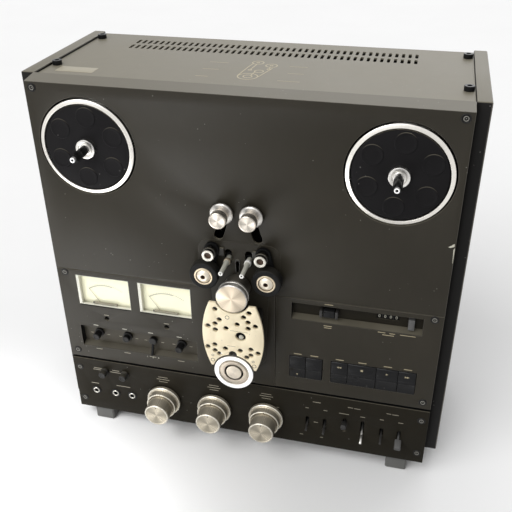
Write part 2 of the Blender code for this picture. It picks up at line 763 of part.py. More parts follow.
def bottom_plate(deck):
    """The base sheet with its four feet; the front feet reach forward under the amplifier panel."""
    top = BASE_BOTTOM + BASE_THICKNESS
    front = CHASSIS_BACK - CLEARANCE
    back = REAR_FACE + REAR_SHEET + CLEARANCE
    outline = rectangle(-PANEL_HALF, PANEL_HALF, BASE_BOTTOM, top)
    plate = new_object("bottom_plate", prism(outline, front, back), deck)
    feet = [foot_block(side, out) for side in (-1, 1) for out in (FRONT_FOOT_OUT, REAR_FOOT_OUT)]
    join(plate, feet, "feet")
    risers = [foot_riser(side, out) for side in (-1, 1) for out in (FRONT_FOOT_OUT, REAR_FOOT_OUT)]
    join(plate, risers, "risers")
    dress(plate, "foot_rubber")


def foot_block(side, front):
    left = side * FOOT_SPREAD - FOOT_WIDTH / 2
    shape = bar(
        rectangle(front, front - FOOT_LENGTH, -FOOT_HEIGHT, -CLEARANCE), left, left + FOOT_WIDTH
    )
    bmesh.ops.bevel(shape, geom=shape.edges[:], offset=FOOT_EDGE, segments=1, affect="EDGES")
    return shape


def foot_riser(side, front):
    """The part of a foot that goes up to the base sheet, behind the front panel."""
    half = FOOT_WIDTH / 2 - FOOT_EDGE * 2
    back = front - FOOT_LENGTH + FOOT_EDGE * 2
    start = min(front - FOOT_EDGE * 2, CHASSIS_BACK - CLEARANCE * 2)
    profile = rectangle(start, back, -FOOT_HEIGHT / 2, BASE_BOTTOM + BASE_THICKNESS / 2)
    return bar(profile, side * FOOT_SPREAD - half, side * FOOT_SPREAD + half)


# Front panels


def panel_block(name, deck, left, right, bottom, top):
    return new_object(name, prism(rectangle(left, right, bottom, top), 0, -FLANGE_DEPTH), deck)


def deck_panel(deck):
    """The upper panel with its sloping bezel, and the column that runs down behind the heads."""
    bottom = LOWER_SEAM + LOWER_SEAM_GAP / 2
    profile = [
        (0, bottom),
        (0, PANEL_HEIGHT),
        (-FLANGE_DEPTH, SIDE_TOP),
        (-FLANGE_DEPTH, bottom),
    ]
    panel = new_object("deck_panel", bar(profile, -PANEL_HALF, PANEL_HALF), deck)
    far = -FLANGE_DEPTH - OVERRUN
    slope = BEZEL_RISE / FLANGE_DEPTH
    under = PANEL_HEIGHT - FLANGE
    cavity = bar(
        [
            (PANEL_BACK, bottom - OVERRUN),
            (PANEL_BACK, under + slope * PLATE),
            (far, under - slope * far),
            (far, bottom - OVERRUN),
        ],
        -PANEL_HALF + FLANGE,
        PANEL_HALF - FLANGE,
    )
    cut(panel, [cavity], "cavity")
    seam = UPPER_SEAM + UPPER_SEAM_GAP / 2
    reach = PANEL_HALF + OVERRUN
    left_bay = prism(rectangle(-reach, COLUMN_LEFT, bottom - OVERRUN, seam), OVERRUN, far)
    right_bay = prism(rectangle(COLUMN_RIGHT, reach, bottom - OVERRUN, seam), OVERRUN, far)
    cut(panel, [left_bay, right_bay], "bays")
    opening = REEL_RADIUS + REEL_OPENING_GAP
    holes = [through(circle((side * REEL_SPREAD, REEL_HEIGHT), opening, LARGE_ROUND)) for side in (-1, 1)]
    holes += [through(tension_slot(side)) for side in (-1, 1)]
    holes.append(through(base_outline(CLEARANCE)))
    cut(panel, holes, "openings")
    dress(panel, "panel_paint")


def through(outline):
    """A cutter that goes right through a front panel's plate."""
    return prism(outline, OVERRUN, PANEL_BACK - OVERRUN)


def tension_slot(side):
    """The curved slot along which a tension roller's pin swings."""
    pivot = (side * TENSION_PIVOT_SPREAD, TENSION_HEIGHT)
    half = SLOT_WIDTH / 2
    top = math.pi if side > 0 else 0
    bottom = top + side * TENSION_SWING
    outer = arc(pivot, TENSION_ARM + half, top, bottom, ARC_STEPS)
    inner = arc(pivot, TENSION_ARM - half, bottom, top, ARC_STEPS)
    low = arc(pivot, TENSION_ARM, bottom, bottom, 1)[0]
    high = arc(pivot, TENSION_ARM, top, top, 1)[0]
    low_cap = arc(low, half, bottom, bottom + side * math.pi, ARC_STEPS)[1:-1]
    high_cap = arc(high, half, top + math.pi, top + math.pi + side * math.pi, ARC_STEPS)[1:-1]
    return outer + low_cap + inner + high_cap


def meter_panel(deck):
    """The panel on the left: two meter windows, two trim holes and the recess with four controls."""
    bottom = LOWER_SEAM + LOWER_SEAM_GAP / 2
    top = UPPER_SEAM - UPPER_SEAM_GAP / 2
    right = COLUMN_LEFT - CLEARANCE
    panel = panel_block("meter_panel", deck, -PANEL_HALF, right, bottom, top)
    far = -FLANGE_DEPTH - OVERRUN
    cavity = rectangle(-PANEL_HALF + FLANGE, right + OVERRUN, bottom - OVERRUN, top + OVERRUN)
    cut(panel, [prism(cavity, PANEL_BACK, far)], "cavity")
    add_recess(panel, LEFT_RECESS, LEFT_RECESS_BOTTOM, LEFT_RECESS_TOP)
    holes = [through(rectangle(left, right, METER_BOTTOM, METER_TOP)) for left, right in METER_WINDOWS]
    middles = [(left + right) / 2 for left, right in METER_WINDOWS]
    holes += [through(circle((x, TRIM_HOLE_HEIGHT), TRIM_HOLE_RADIUS, HOLE_ROUND)) for x in middles]
    shaft = KNOB_SHAFT_RADIUS + CLEARANCE
    for x in (BIAS_X, EQUALIZER_X, SPEED_X, PITCH_X):
        outline = circle((x, RECESS_KNOB_HEIGHT), shaft, HOLE_ROUND)
        holes.append(prism(outline, RECESS_FLOOR + OVERRUN / 2, RECESS_FLOOR - TUB_WALL - OVERRUN))
    cut(panel, holes, "openings")
    cut(panel, [through(base_outline(CLEARANCE))], "head_base")
    dress(panel, "panel_paint")


def add_recess(panel, span, bottom, top):
    """A tub behind the plate and the pocket in it, whose lower wall slopes."""
    left, right = span
    outline = rectangle(left - TUB_WALL, right + TUB_WALL, bottom - TUB_WALL, top + TUB_WALL)
    join(panel, [prism(outline, -SEAT_OVERLAP, RECESS_FLOOR - TUB_WALL)], "tub")
    slope = RECESS_SLOPE / RECESS_DEPTH
    profile = [
        (OVERRUN, bottom - slope * OVERRUN),
        (OVERRUN, top),
        (RECESS_FLOOR, top),
        (RECESS_FLOOR, bottom + RECESS_SLOPE),
    ]
    cut(panel, [bar(profile, left, right)], "pocket")


def control_panel(deck):
    """The panel on the right: a recess for the counter and cue lever, and openings for six buttons."""
    bottom = LOWER_SEAM + LOWER_SEAM_GAP / 2
    top = UPPER_SEAM - UPPER_SEAM_GAP / 2
    left = COLUMN_RIGHT + COLUMN_SEAM_GAP
    panel = panel_block("control_panel", deck, left, PANEL_HALF, bottom, top)
    far = -FLANGE_DEPTH - OVERRUN
    cavity = rectangle(left - OVERRUN, PANEL_HALF - FLANGE, bottom - OVERRUN, top + OVERRUN)
    cut(panel, [prism(cavity, PANEL_BACK, far)], "cavity")
    add_recess(panel, RIGHT_RECESS, RIGHT_RECESS_BOTTOM, RIGHT_RECESS_TOP)
    join(panel, [cue_post(x) for x in CUE_POST_XS], "posts")
    low, high = BUTTON_BOTTOM - BUTTON_GAP, BUTTON_TOP + BUTTON_GAP
    gap = BUTTON_GAP
    groups = [(edges[0] * SPREAD - gap, edges[-1] * SPREAD + gap) for edges in BUTTON_EDGES]
    holes = [through(rectangle(start, end, low, high)) for start, end in groups]
    floor_start = RECESS_FLOOR + OVERRUN / 2
    floor_end = RECESS_FLOOR - TUB_WALL - OVERRUN
    reset = rectangle(
        RESET_LEFT - CLEARANCE, RESET_RIGHT + CLEARANCE, RESET_BOTTOM - CLEARANCE, RESET_TOP + CLEARANCE
    )
    holes.append(prism(reset, OVERRUN, floor_end))
    half = CUE_LEVER_WIDTH / 2 + CLEARANCE
    rise = CUE_LEVER_HALF_HEIGHT + CUE_SWING_GAP
    middle = sum(CUE_POST_XS) / 2
    cue = rectangle(middle - half, middle + half, CUE_LEVER_Z - rise, CUE_LEVER_Z + rise)
    holes.append(prism(cue, floor_start, floor_end))
    digits = rectangle(*COUNTER_WINDOW, COUNTER_Z - COUNTER_HALF_HEIGHT, COUNTER_Z + COUNTER_HALF_HEIGHT)
    holes.append(prism(digits, floor_start, RECESS_FLOOR - COUNTER_POCKET))
    cut(panel, holes, "openings")
    cut(panel, [through(base_outline(CLEARANCE))], "head_base")
    dress(panel, "panel_paint")


def button_spans():
    """Where each button starts and ends, from left to right."""
    pairs = [pair for edges in BUTTON_EDGES for pair in zip(edges, edges[1:])]
    spans = [(start * SPREAD, end * SPREAD) for start, end in pairs]
    return dict(zip([f"{name}_button" for name in BUTTON_NAMES], spans))


def cue_post(x):
    half = CUE_POST_WIDTH / 2
    rise = CUE_POST_HEIGHT / 2
    outline = rounded_rectangle(x - half, x + half, CUE_LEVER_Z - rise, CUE_LEVER_Z + rise, half / 2, 1)
    return prism(outline, CUE_POST_FRONT, RECESS_FLOOR - TUB_WALL / 2)


def amplifier_panel(deck):
    """The bottom panel, with switch frames behind it for the six levers."""
    top = LOWER_SEAM - LOWER_SEAM_GAP / 2
    panel = panel_block("amplifier_panel", deck, -PANEL_HALF, PANEL_HALF, 0, top)
    far = -FLANGE_DEPTH - OVERRUN
    cavity = rectangle(-PANEL_HALF + FLANGE, PANEL_HALF - FLANGE, FLANGE, top + OVERRUN)
    cut(panel, [prism(cavity, PANEL_BACK, far)], "cavity")
    cheeks = [switch_cheek(x, z, side) for x, z, *_ in SWITCHES for side in (-1, 1)]
    join(panel, cheeks, "switch_frames")
    sleeve = LEVEL_SLEEVE_RADIUS + CLEARANCE
    holes = [through(circle((x, LEVEL_HEIGHT), sleeve, SMALL_ROUND)) for x in LEVEL_XS]
    shaft = KNOB_SHAFT_RADIUS + CLEARANCE
    holes += [through(circle((x, SELECTOR_HEIGHT), shaft, HOLE_ROUND)) for x in SELECTOR_XS]
    barrel = JACK_RADIUS + CLEARANCE
    holes += [through(circle((x, JACK_HEIGHT), barrel, HOLE_ROUND)) for x in JACK_XS]
    half = SWITCH_STEM_HALF + SLOT_SIDE_GAP
    for x, z, slot_half, *_ in SWITCHES:
        holes.append(through(rectangle(x - half, x + half, z - slot_half, z + slot_half)))
    cut(panel, holes, "openings")
    dress(panel, "panel_paint")


def switch_cheek(x, z, side):
    """One side of the frame that holds a lever's hub."""
    inner = x + side * (SWITCH_HUB_WIDTH / 2 + CLEARANCE)
    outer = inner + side * SWITCH_CHEEK
    outline = rectangle(min(inner, outer), max(inner, outer), z - SWITCH_CHEEK_HALF, z + SWITCH_CHEEK_HALF)
    return prism(outline, -SEAT_OVERLAP, SWITCH_PIVOT_OUT - SWITCH_CHEEK_HALF)


# Inside


def chassis_plate(deck):
    """The upright plate that carries the panels, the motors, the arms' posts and the head base."""
    outline = rectangle(-PANEL_HALF, PANEL_HALF, CHASSIS_BOTTOM, CHASSIS_TOP)
    plate = new_object("chassis_plate", prism(outline, CHASSIS_FRONT, CHASSIS_BACK), deck)
    middle = (CHASSIS_FRONT + CHASSIS_BACK) / 2
    post = [(0, middle), (PIVOT_POST_RADIUS, middle)]
    post += [(PIVOT_POST_RADIUS, PIVOT_POST_FRONT), (0, PIVOT_POST_FRONT)]
    posts = [turned(post, HOLE_ROUND, (side * TENSION_PIVOT_SPREAD, TENSION_HEIGHT)) for side in (-1, 1)]
    join(plate, posts, "posts")
    nose = MOTOR_NOSE_RADIUS + CLEARANCE
    centres = [(-REEL_SPREAD, REEL_HEIGHT), (REEL_SPREAD, REEL_HEIGHT), (0, CAPSTAN_HEIGHT)]
    holes = [chassis_hole(circle(centre, nose, SMALL_ROUND)) for centre in centres]
    stem = BUTTON_STEM + CLEARANCE
    stem_z = (BUTTON_BOTTOM + BUTTON_TOP) / 2
    for start, end in button_spans().values():
        x = (start + end) / 2
        holes.append(chassis_hole(rectangle(x - stem, x + stem, stem_z - stem, stem_z + stem)))
    cut(plate, holes, "holes")
    dress(plate, "plated_steel")


def chassis_hole(outline):
    return prism(outline, CHASSIS_FRONT + OVERRUN, CHASSIS_BACK - OVERRUN)


def motor(deck, name, place, case, bore, nose_front):
    """A flat direct-drive motor behind the chassis plate, its nose reaching forward round the shaft."""
    radius, length = case
    back = CHASSIS_BACK - CLEARANCE
    profile = [
        (bore + CLEARANCE, nose_front),
        (MOTOR_NOSE_RADIUS, nose_front),
        (MOTOR_NOSE_RADIUS, back),
        (radius - MOTOR_CHAMFER, back),
        (radius, back - MOTOR_CHAMFER),
        (radius, back - length + MOTOR_CHAMFER),
        (radius - MOTOR_CHAMFER, back - length),
        (bore + CLEARANCE, back - length),
    ]
    body = new_object(name, turned(profile, MIDDLE_ROUND, bored=True), deck, place)
    dress(body, "motor_case")


# Reels


def reel_table(deck, name, side):
    """Rim, mat and hub in one turned piece, with the inner half of the splined spindle and its shaft."""
    mat = REEL_RIM_FRONT - MAT_DROP
    mat_radius = REEL_RADIUS - REEL_RIM_WIDTH
    profile = [
        (0, -REEL_SHAFT_LENGTH),
        (REEL_SHAFT_RADIUS, -REEL_SHAFT_LENGTH),
        (REEL_SHAFT_RADIUS, -REEL_BACK),
        (REEL_RADIUS, -REEL_BACK),
        (REEL_RADIUS, REEL_RIM_FRONT - HUB_CHAMFER),
        (REEL_RADIUS - HUB_CHAMFER, REEL_RIM_FRONT),
        (mat_radius + MAT_DROP, REEL_RIM_FRONT),
        (mat_radius, mat),
        (HUB_RADIUS, mat),
        (HUB_RADIUS, HUB_FRONT - HUB_CHAMFER),
        (HUB_RADIUS - HUB_CHAMFER, HUB_FRONT),
        (0, HUB_FRONT),
    ]
    table = new_object(name, turned(profile, LARGE_ROUND), deck, (side * REEL_SPREAD, REEL_HEIGHT))
    recesses = []
    for i in range(MAT_RECESSES):
        angle = math.tau * i / MAT_RECESSES
        centre = (MAT_RECESS_RING * math.cos(angle), MAT_RECESS_RING * math.sin(angle))
        outline = circle(centre, MAT_RECESS_RADIUS, SMALL_ROUND)
        recesses.append(prism(outline, OVERRUN, mat - MAT_RECESS_DEPTH))
    cut(table, recesses, "recesses")
    join(table, [prism(spindle_outline(), SPINDLE_SPLIT, HUB_FRONT - HUB_CHAMFER)], "spindle")
    pin_back = SPINDLE_SPLIT - SEAT_OVERLAP
    pin_front = SPINDLE_SPLIT + SPINDLE_PIN_LENGTH
    join(table, [prism(circle((0, 0), SPINDLE_PIN_RADIUS, HOLE_ROUND), pin_front, pin_back)], "pin")
    return dress(table, "turned_metal")


def spindle_outline():
    """A round core with three lobes that key the reel."""
    half = math.asin(LOBE_WIDTH / 2 / SPINDLE_LOBE)
    root = math.asin(LOBE_WIDTH / 2 / SPINDLE_CORE)
    step = math.tau / SPINDLE_LOBES
    points = []
    for i in range(SPINDLE_LOBES):
        middle = math.pi / 2 + step * i
        points += arc((0, 0), SPINDLE_LOBE, middle - half, middle + half, CORNER_STEPS)
        points += arc((0, 0), SPINDLE_CORE, middle + root, middle + step - root, CORNER_STEPS)
    return points


def reel_lock(table, name):
    """The outer half of the spindle, which turns a sixth of a turn so that its lobes hold the reel."""
    start = SPINDLE_SPLIT + CLEARANCE
    shoulder = SPINDLE_REACH - SPINDLE_TIP
    lock = new_object(name, prism(spindle_outline(), shoulder, start), table)
    bed = shoulder - SEAT_OVERLAP
    tip = [(0, bed), (SPINDLE_TIP_RADIUS, bed), (SPINDLE_TIP_RADIUS, SPINDLE_REACH - HUB_CHAMFER)]
    tip += [(SPINDLE_TIP_RADIUS - HUB_CHAMFER, SPINDLE_REACH), (0, SPINDLE_REACH)]
    join(lock, [turned(tip, HOLE_ROUND)], "tip")
    socket = circle((0, 0), SPINDLE_PIN_RADIUS + CLEARANCE, HOLE_ROUND)
    cut(lock, [prism(socket, SPINDLE_SPLIT + SPINDLE_PIN_LENGTH + CLEARANCE, start - OVERRUN)], "socket")
    return dress(lock, "black_plastic")


# Tape path


def tension_arm(deck, name, side):
    """A flat lever behind the deck panel, bored for its post, with the roller's pin through the slot."""
    pivot = (side * TENSION_PIVOT_SPREAD, TENSION_HEIGHT)
    end = (-side * TENSION_ARM, 0)
    back = ARM_FRONT - ARM_THICKNESS
    outline = link((0, 0), PIVOT_BOSS_RADIUS, end, ROLLER_BOSS_RADIUS)
    arm = new_object(name, prism(outline, ARM_FRONT, back), deck, pivot)
    boss = circle((0, 0), PIVOT_BOSS_RADIUS - CLEARANCE, SMALL_ROUND)
    sleeve = prism(boss, back + SEAT_OVERLAP, CHASSIS_FRONT + CLEARANCE)
    pin = prism(circle(end, ROLLER_PIN_RADIUS, HOLE_ROUND), ROLLER_PIN_FRONT, ARM_FRONT - SEAT_OVERLAP)
    join(arm, [sleeve, pin], "boss_and_pin")
    bore = circle((0, 0), PIVOT_POST_RADIUS + CLEARANCE, HOLE_ROUND)
    cut(arm, [prism(bore, OVERRUN, CHASSIS_FRONT - OVERRUN)], "bore")
    return dress(arm, "plated_steel")


def tension_roller(arm, name, side):
    """A flanged roller: wide rear flange, a neck for the tape and a long front flange."""
    bore = ROLLER_PIN_RADIUS + CLEARANCE
    bore_end = ROLLER_PIN_FRONT + CLEARANCE
    rear = TENSION_REAR_OUT + TENSION_REAR_WIDTH
    profile = [
        (0, bore_end),
        (bore, bore_end),
        (bore, TENSION_REAR_OUT),
        (TENSION_REAR_RADIUS - TENSION_CHAMFER, TENSION_REAR_OUT),
        (TENSION_REAR_RADIUS, TENSION_REAR_OUT + TENSION_CHAMFER),
        (TENSION_REAR_RADIUS, rear - TENSION_CHAMFER),
        (TENSION_REAR_RADIUS - TENSION_CHAMFER, rear),
        (TENSION_NECK_RADIUS + TENSION_CHAMFER, rear + TENSION_CHAMFER),
        (TENSION_NECK_RADIUS, rear + TENSION_CHAMFER * 2),
        (TENSION_NECK_RADIUS, TENSION_FRONT_START),
        (TENSION_FRONT_RADIUS, TENSION_FRONT_START),
        (TENSION_FRONT_RADIUS, TENSION_FRONT_OUT - TENSION_CHAMFER),
        (TENSION_FRONT_RADIUS - TENSION_CHAMFER, TENSION_FRONT_OUT),
        (0, TENSION_FRONT_OUT),
    ]
    roller = new_object(name, turned(profile, SMALL_ROUND), arm, (-side * TENSION_ARM, 0))
    dress(roller, "chrome")


def pinch_arm(deck, name, side):
    """A cast lever that turns on the guide post's foot and carries the pinch roller's pin."""
    end = (side * (PINCH_SPREAD - GUIDE_SPREAD), PINCH_HEIGHT - GUIDE_HEIGHT)
    back = BASE_FRONT + CLEARANCE
    front = back + PINCH_ARM_THICKNESS
    outline = link((0, 0), PINCH_ARM_PIVOT_RADIUS, end, PINCH_ARM_END_RADIUS)
    arm = new_object(name, prism(outline, front, back), deck, (side * GUIDE_SPREAD, GUIDE_HEIGHT))
    pin = circle(end, PINCH_PIN_RADIUS, HOLE_ROUND)
    join(arm, [prism(pin, PINCH_PIN_FRONT, front - SEAT_OVERLAP)], "pin")
    bore = circle((0, 0), GUIDE_FOOT_RADIUS + CLEARANCE, SMALL_ROUND)
    cut(arm, [prism(bore, front + OVERRUN, back - OVERRUN)], "bore")
    return dress(arm, "black_metal")


def pinch_roller(arm, name, side):
    """A rubber tyre on a dished hub."""
    back = BASE_FRONT + CLEARANCE + PINCH_ARM_THICKNESS + CLEARANCE
    bore = PINCH_PIN_RADIUS + CLEARANCE
    profile = [
        (bore, back),
        (PINCH_TYRE_RADIUS - TYRE_CHAMFER, back),
        (PINCH_TYRE_RADIUS, back + TYRE_CHAMFER),
        (PINCH_TYRE_RADIUS, PINCH_TYRE_FRONT - TYRE_CHAMFER),
        (PINCH_TYRE_RADIUS - TYRE_CHAMFER, PINCH_TYRE_FRONT),
        (PINCH_HUB_RADIUS, PINCH_TYRE_FRONT),
        (PINCH_HUB_RADIUS, PINCH_FRONT),
        (PINCH_DISH_RADIUS, PINCH_FRONT),
        ((PINCH_DISH_RADIUS + bore) / 2, PINCH_FRONT - PINCH_DISH_HALF_DEPTH),
        (bore, PINCH_FRONT - PINCH_DISH_DEPTH),
    ]
    place = (side * (PINCH_SPREAD - GUIDE_SPREAD), PINCH_HEIGHT - GUIDE_HEIGHT)
    roller = new_object(name, turned(profile, MIDDLE_ROUND, bored=True), arm, place)
    dress(roller, "rubber")


def capstan(deck):
    """The drive spindle: shaft, tape surface, a step and the wide front cap."""
    cap_back = CAPSTAN_FRONT - CAPSTAN_CAP_LENGTH
    profile = [
        (0, -CAPSTAN_SHAFT_LENGTH),
        (CAPSTAN_SHAFT_RADIUS, -CAPSTAN_SHAFT_LENGTH),
        (CAPSTAN_SHAFT_RADIUS, CAPSTAN_BACK),
        (CAPSTAN_RADIUS, CAPSTAN_BACK),
        (CAPSTAN_RADIUS, cap_back - CAPSTAN_STEP_LENGTH),
        (CAPSTAN_STEP_RADIUS, cap_back - CAPSTAN_STEP_LENGTH),
        (CAPSTAN_STEP_RADIUS, cap_back),
        (CAPSTAN_CAP_RADIUS, cap_back),
        (CAPSTAN_CAP_RADIUS, CAPSTAN_FRONT - CAPSTAN_CHAMFER),
        (CAPSTAN_CAP_RADIUS - CAPSTAN_CHAMFER, CAPSTAN_FRONT),
        (0, CAPSTAN_FRONT),
    ]
    piece = new_object("capstan", turned(profile, MIDDLE_ROUND), deck, (0, CAPSTAN_HEIGHT))
    dress(piece, "chrome")


def tape_lifter(deck):
    """A carriage behind the head base with two pins that lift the tape away."""
    front = BASE_BACK - CLEARANCE
    back = front - LIFTER_PLATE_THICKNESS
    half = LIFTER_SPREAD + LIFTER_PLATE_MARGIN
    rise = LIFTER_PLATE_MARGIN
    outline = rounded_rectangle(-half, half, -rise, rise, rise / 2)
    carriage = new_object("tape_lifter", prism(outline, front, back), deck, (0, LIFTER_HEIGHT))
    join(carriage, [lifter_pin(side, front) for side in (-1, 1)], "pins")
    dress(carriage, "chrome")


def lifter_pin(side, front):
    """A pin with a collar at its root and a key socket in its tip."""
    bed = front - SEAT_OVERLAP
    socket = LIFTER_FRONT - LIFTER_SOCKET_DEPTH
    profile = [
        (0, bed),
        (LIFTER_COLLAR_RADIUS, bed),
        (LIFTER_COLLAR_RADIUS, LIFTER_COLLAR_FRONT),
        (LIFTER_PIN_RADIUS, LIFTER_COLLAR_FRONT),
        (LIFTER_PIN_RADIUS, LIFTER_FRONT),
        (LIFTER_SOCKET_RADIUS, LIFTER_FRONT),
        (LIFTER_SOCKET_RADIUS, socket),
        (0, socket),
    ]
    return turned(profile, HOLE_ROUND, (side * LIFTER_SPREAD, 0))


def base_outline(grow):
    """The head base: wide shoulders round the pinch rollers and a narrow waist behind the heads."""
    shoulder = BASE_SHOULDER_HALF + grow
    waist = BASE_WAIST_HALF + grow
    top = BASE_TOP + grow
    step = BASE_SHOULDER_BOTTOM - grow
    low = BASE_LOWER_END - grow
    quarter = math.pi / 2
    right = arc((waist - BASE_CORNER, low + BASE_CORNER), BASE_CORNER, -quarter, 0, CORNER_STEPS)
    right += arc((shoulder - BASE_CORNER, step + BASE_CORNER), BASE_CORNER, -quarter, 0, CORNER_STEPS)
    right += arc((shoulder - BASE_CORNER, top - BASE_CORNER), BASE_CORNER, 0, quarter, CORNER_STEPS)
    return right + [(-x, z) for x, z in reversed(right)]


def head_base(deck):
    """The base plate with its standoffs, guide posts, four heads, cover posts and the roller's axle."""
    base = new_object("head_base", prism(base_outline(0), BASE_FRONT, BASE_BACK), deck)
    shaft_hole = circle((0, CAPSTAN_HEIGHT), CAPSTAN_SHAFT_RADIUS + CLEARANCE * 2, SMALL_ROUND)
    key = link((0, KEY_SLOT_BOTTOM), KEY_SLOT_RADIUS, (0, KEY_SLOT_TOP), KEY_SLOT_RADIUS, CORNER_STEPS)
    slots = [base_hole(lifter_slot(side)) for side in (-1, 1)]
    cut(base, [base_hole(shaft_hole), base_hole(key)] + slots, "holes")
    seat = CHASSIS_FRONT + CLEARANCE
    bed = BASE_BACK + SEAT_OVERLAP
    rounds = [circle(place, BASE_STANDOFF_RADIUS, HOLE_ROUND) for place in standoff_places()]
    join(base, [prism(outline, bed, seat) for outline in rounds], "standoffs")
    join(base, [guide_post(side) for side in (-1, 1)], "guides")
    join(base, [head(side * HEAD_SPREAD, z) for side in (-1, 1) for z in HEAD_HEIGHTS], "heads")
    front_bed = BASE_FRONT - SEAT_OVERLAP
    cover_seat = HEAD_COVER_BACK - CLEARANCE
    rounds = [circle((0, z + COVER_POST_RISE), COVER_POST_RADIUS, HOLE_ROUND) for z in HEAD_HEIGHTS]
    posts = [prism(outline, cover_seat, front_bed) for outline in rounds]
    axle = circle((0, REVERSE_HEIGHT), REVERSE_AXLE_RADIUS, SMALL_ROUND)
    join(base, posts + [prism(axle, REVERSE_AXLE_FRONT, front_bed)], "posts")
    dress(base, "black_metal")


def standoff_places():
    """Two standoffs behind the shoulders and two behind the lower end."""
    wide, narrow = BASE_STANDOFF_INSETS
    high, low = BASE_STANDOFF_RISES
    upper = (BASE_SHOULDER_HALF - wide, BASE_SHOULDER_BOTTOM + high)
    lower = (BASE_WAIST_HALF - narrow, BASE_LOWER_END + low)
    return [(side * x, z) for x, z in (upper, lower) for side in (-1, 1)]


def base_hole(outline):
    return prism(outline, BASE_FRONT + OVERRUN, BASE_BACK - OVERRUN)


def lifter_slot(side):
    x = side * LIFTER_SPREAD
    radius = LIFTER_COLLAR_RADIUS + CLEARANCE
    return link((x, LIFTER_HEIGHT), radius, (x, LIFTER_HEIGHT + LIFTER_TRAVEL), radius, CORNER_STEPS * 2)


def guide_post(side):
    """A tape guide: a slim foot for the pinch arm and a hollow barrel in front of it."""
    bed = BASE_FRONT - SEAT_OVERLAP
    shoulder = BASE_FRONT + PINCH_ARM_THICKNESS + CLEARANCE * 2
    profile = [
        (0, bed),
        (GUIDE_FOOT_RADIUS, bed),
        (GUIDE_FOOT_RADIUS, shoulder),
        (GUIDE_RADIUS, shoulder),
        (GUIDE_RADIUS, GUIDE_FRONT),
        (GUIDE_BORE_RADIUS, GUIDE_FRONT),
        (GUIDE_BORE_RADIUS, GUIDE_FRONT - GUIDE_BORE_DEPTH),
        (0, GUIDE_FRONT - GUIDE_BORE_DEPTH),
    ]
    return turned(profile, SMALL_ROUND, (side * GUIDE_SPREAD, GUIDE_HEIGHT))


def head(x, z):
    outline = rounded_rectangle(
        x - HEAD_HALF_WIDTH, x + HEAD_HALF_WIDTH, z - HEAD_HALF_HEIGHT, z + HEAD_HALF_HEIGHT, HEAD_CORNER
    )
    return prism(outline, HEAD_FRONT, BASE_FRONT - SEAT_OVERLAP)


def head_cover(deck):
    """The perforated cover: barrel-shaped flanks, hollowed round the capstan and the reverse roller."""
    cover = new_object("head_cover", prism(cover_outline(), HEAD_COVER_FRONT, HEAD_COVER_BACK), deck)
    middle = sum(HEAD_HEIGHTS) / 2
    corners = [(side * CORNER_HOLE_SPREAD, CAPSTAN_HEIGHT - CORNER_HOLE_DROP) for side in (-1, 1)]
    holes = []
    for side in (-1, 1):
        for z in HEAD_HEIGHTS:
            flip = 1 if z > middle else -1
            holes += [head_screw_hole(side, z, flip, share) for share in HEAD_SCREW_SHARES]
    window = (WINDOW_HOLE_SPREAD, HEAD_COVER_BOTTOM + WINDOW_SHARE * COVER_HEIGHT)
    cut(cover, [cover_hole(outline) for outline in holes], "head_holes")
    cut(cover, [cover_hole(circle(place, HEAD_SCREW_HOLE, HOLE_ROUND)) for place in corners], "corner_holes")
    cut(cover, [cover_hole(circle(window, WINDOW_HOLE_RADIUS, SMALL_ROUND))], "window")
    dress(cover, "cream_paint")


def cover_hole(outline):
    return prism(outline, HEAD_COVER_FRONT + OVERRUN, HEAD_COVER_BACK - OVERRUN)


def head_screw_hole(side, z, flip, share):
    x = side * (HEAD_SPREAD + share[0] * HEAD_SCREW_REACH)
    return circle((x, z + flip * share[1] * HEAD_SCREW_REACH), HEAD_SCREW_HOLE, HOLE_ROUND)


def cover_outline():
    """Flanks are arcs through the widest point; the ends are arcs about the capstan and the roller."""
    half_height = (HEAD_COVER_TOP - HEAD_COVER_BOTTOM) / 2
    end_half = (HEAD_COVER_TOP_HALF + HEAD_COVER_BOTTOM_HALF) / 2
    sagitta = HEAD_COVER_HALF - end_half
    radius = (half_height**2 + sagitta**2) / (2 * sagitta)
    middle = (HEAD_COVER_TOP + HEAD_COVER_BOTTOM) / 2
    swing = math.asin(half_height / radius)
    flank = arc((HEAD_COVER_HALF - radius, middle), radius, -swing, swing, ARC_STEPS)
    top = hollow_arc(CAPSTAN_HEIGHT, HEAD_COVER_TOP_RADIUS, HEAD_COVER_TOP)
    bottom = hollow_arc(REVERSE_HEIGHT, REVERSE_RADIUS + HEAD_COVER_ROLLER_GAP, HEAD_COVER_BOTTOM)
    left_flank = [(-x, z) for x, z in reversed(flank)]
    return flank + top + left_flank + bottom[::-1]


def hollow_arc(centre_z, radius, edge_z):
    """The part of a circle about (0, centre_z) that lies inside the cover, from right to left."""
    rise = edge_z - centre_z
    lean = math.asin(rise / radius)
    if rise < 0:
        return arc((0, centre_z), radius, lean, -math.pi - lean, ARC_STEPS)
    return arc((0, centre_z), radius, lean, math.pi - lean, ARC_STEPS)


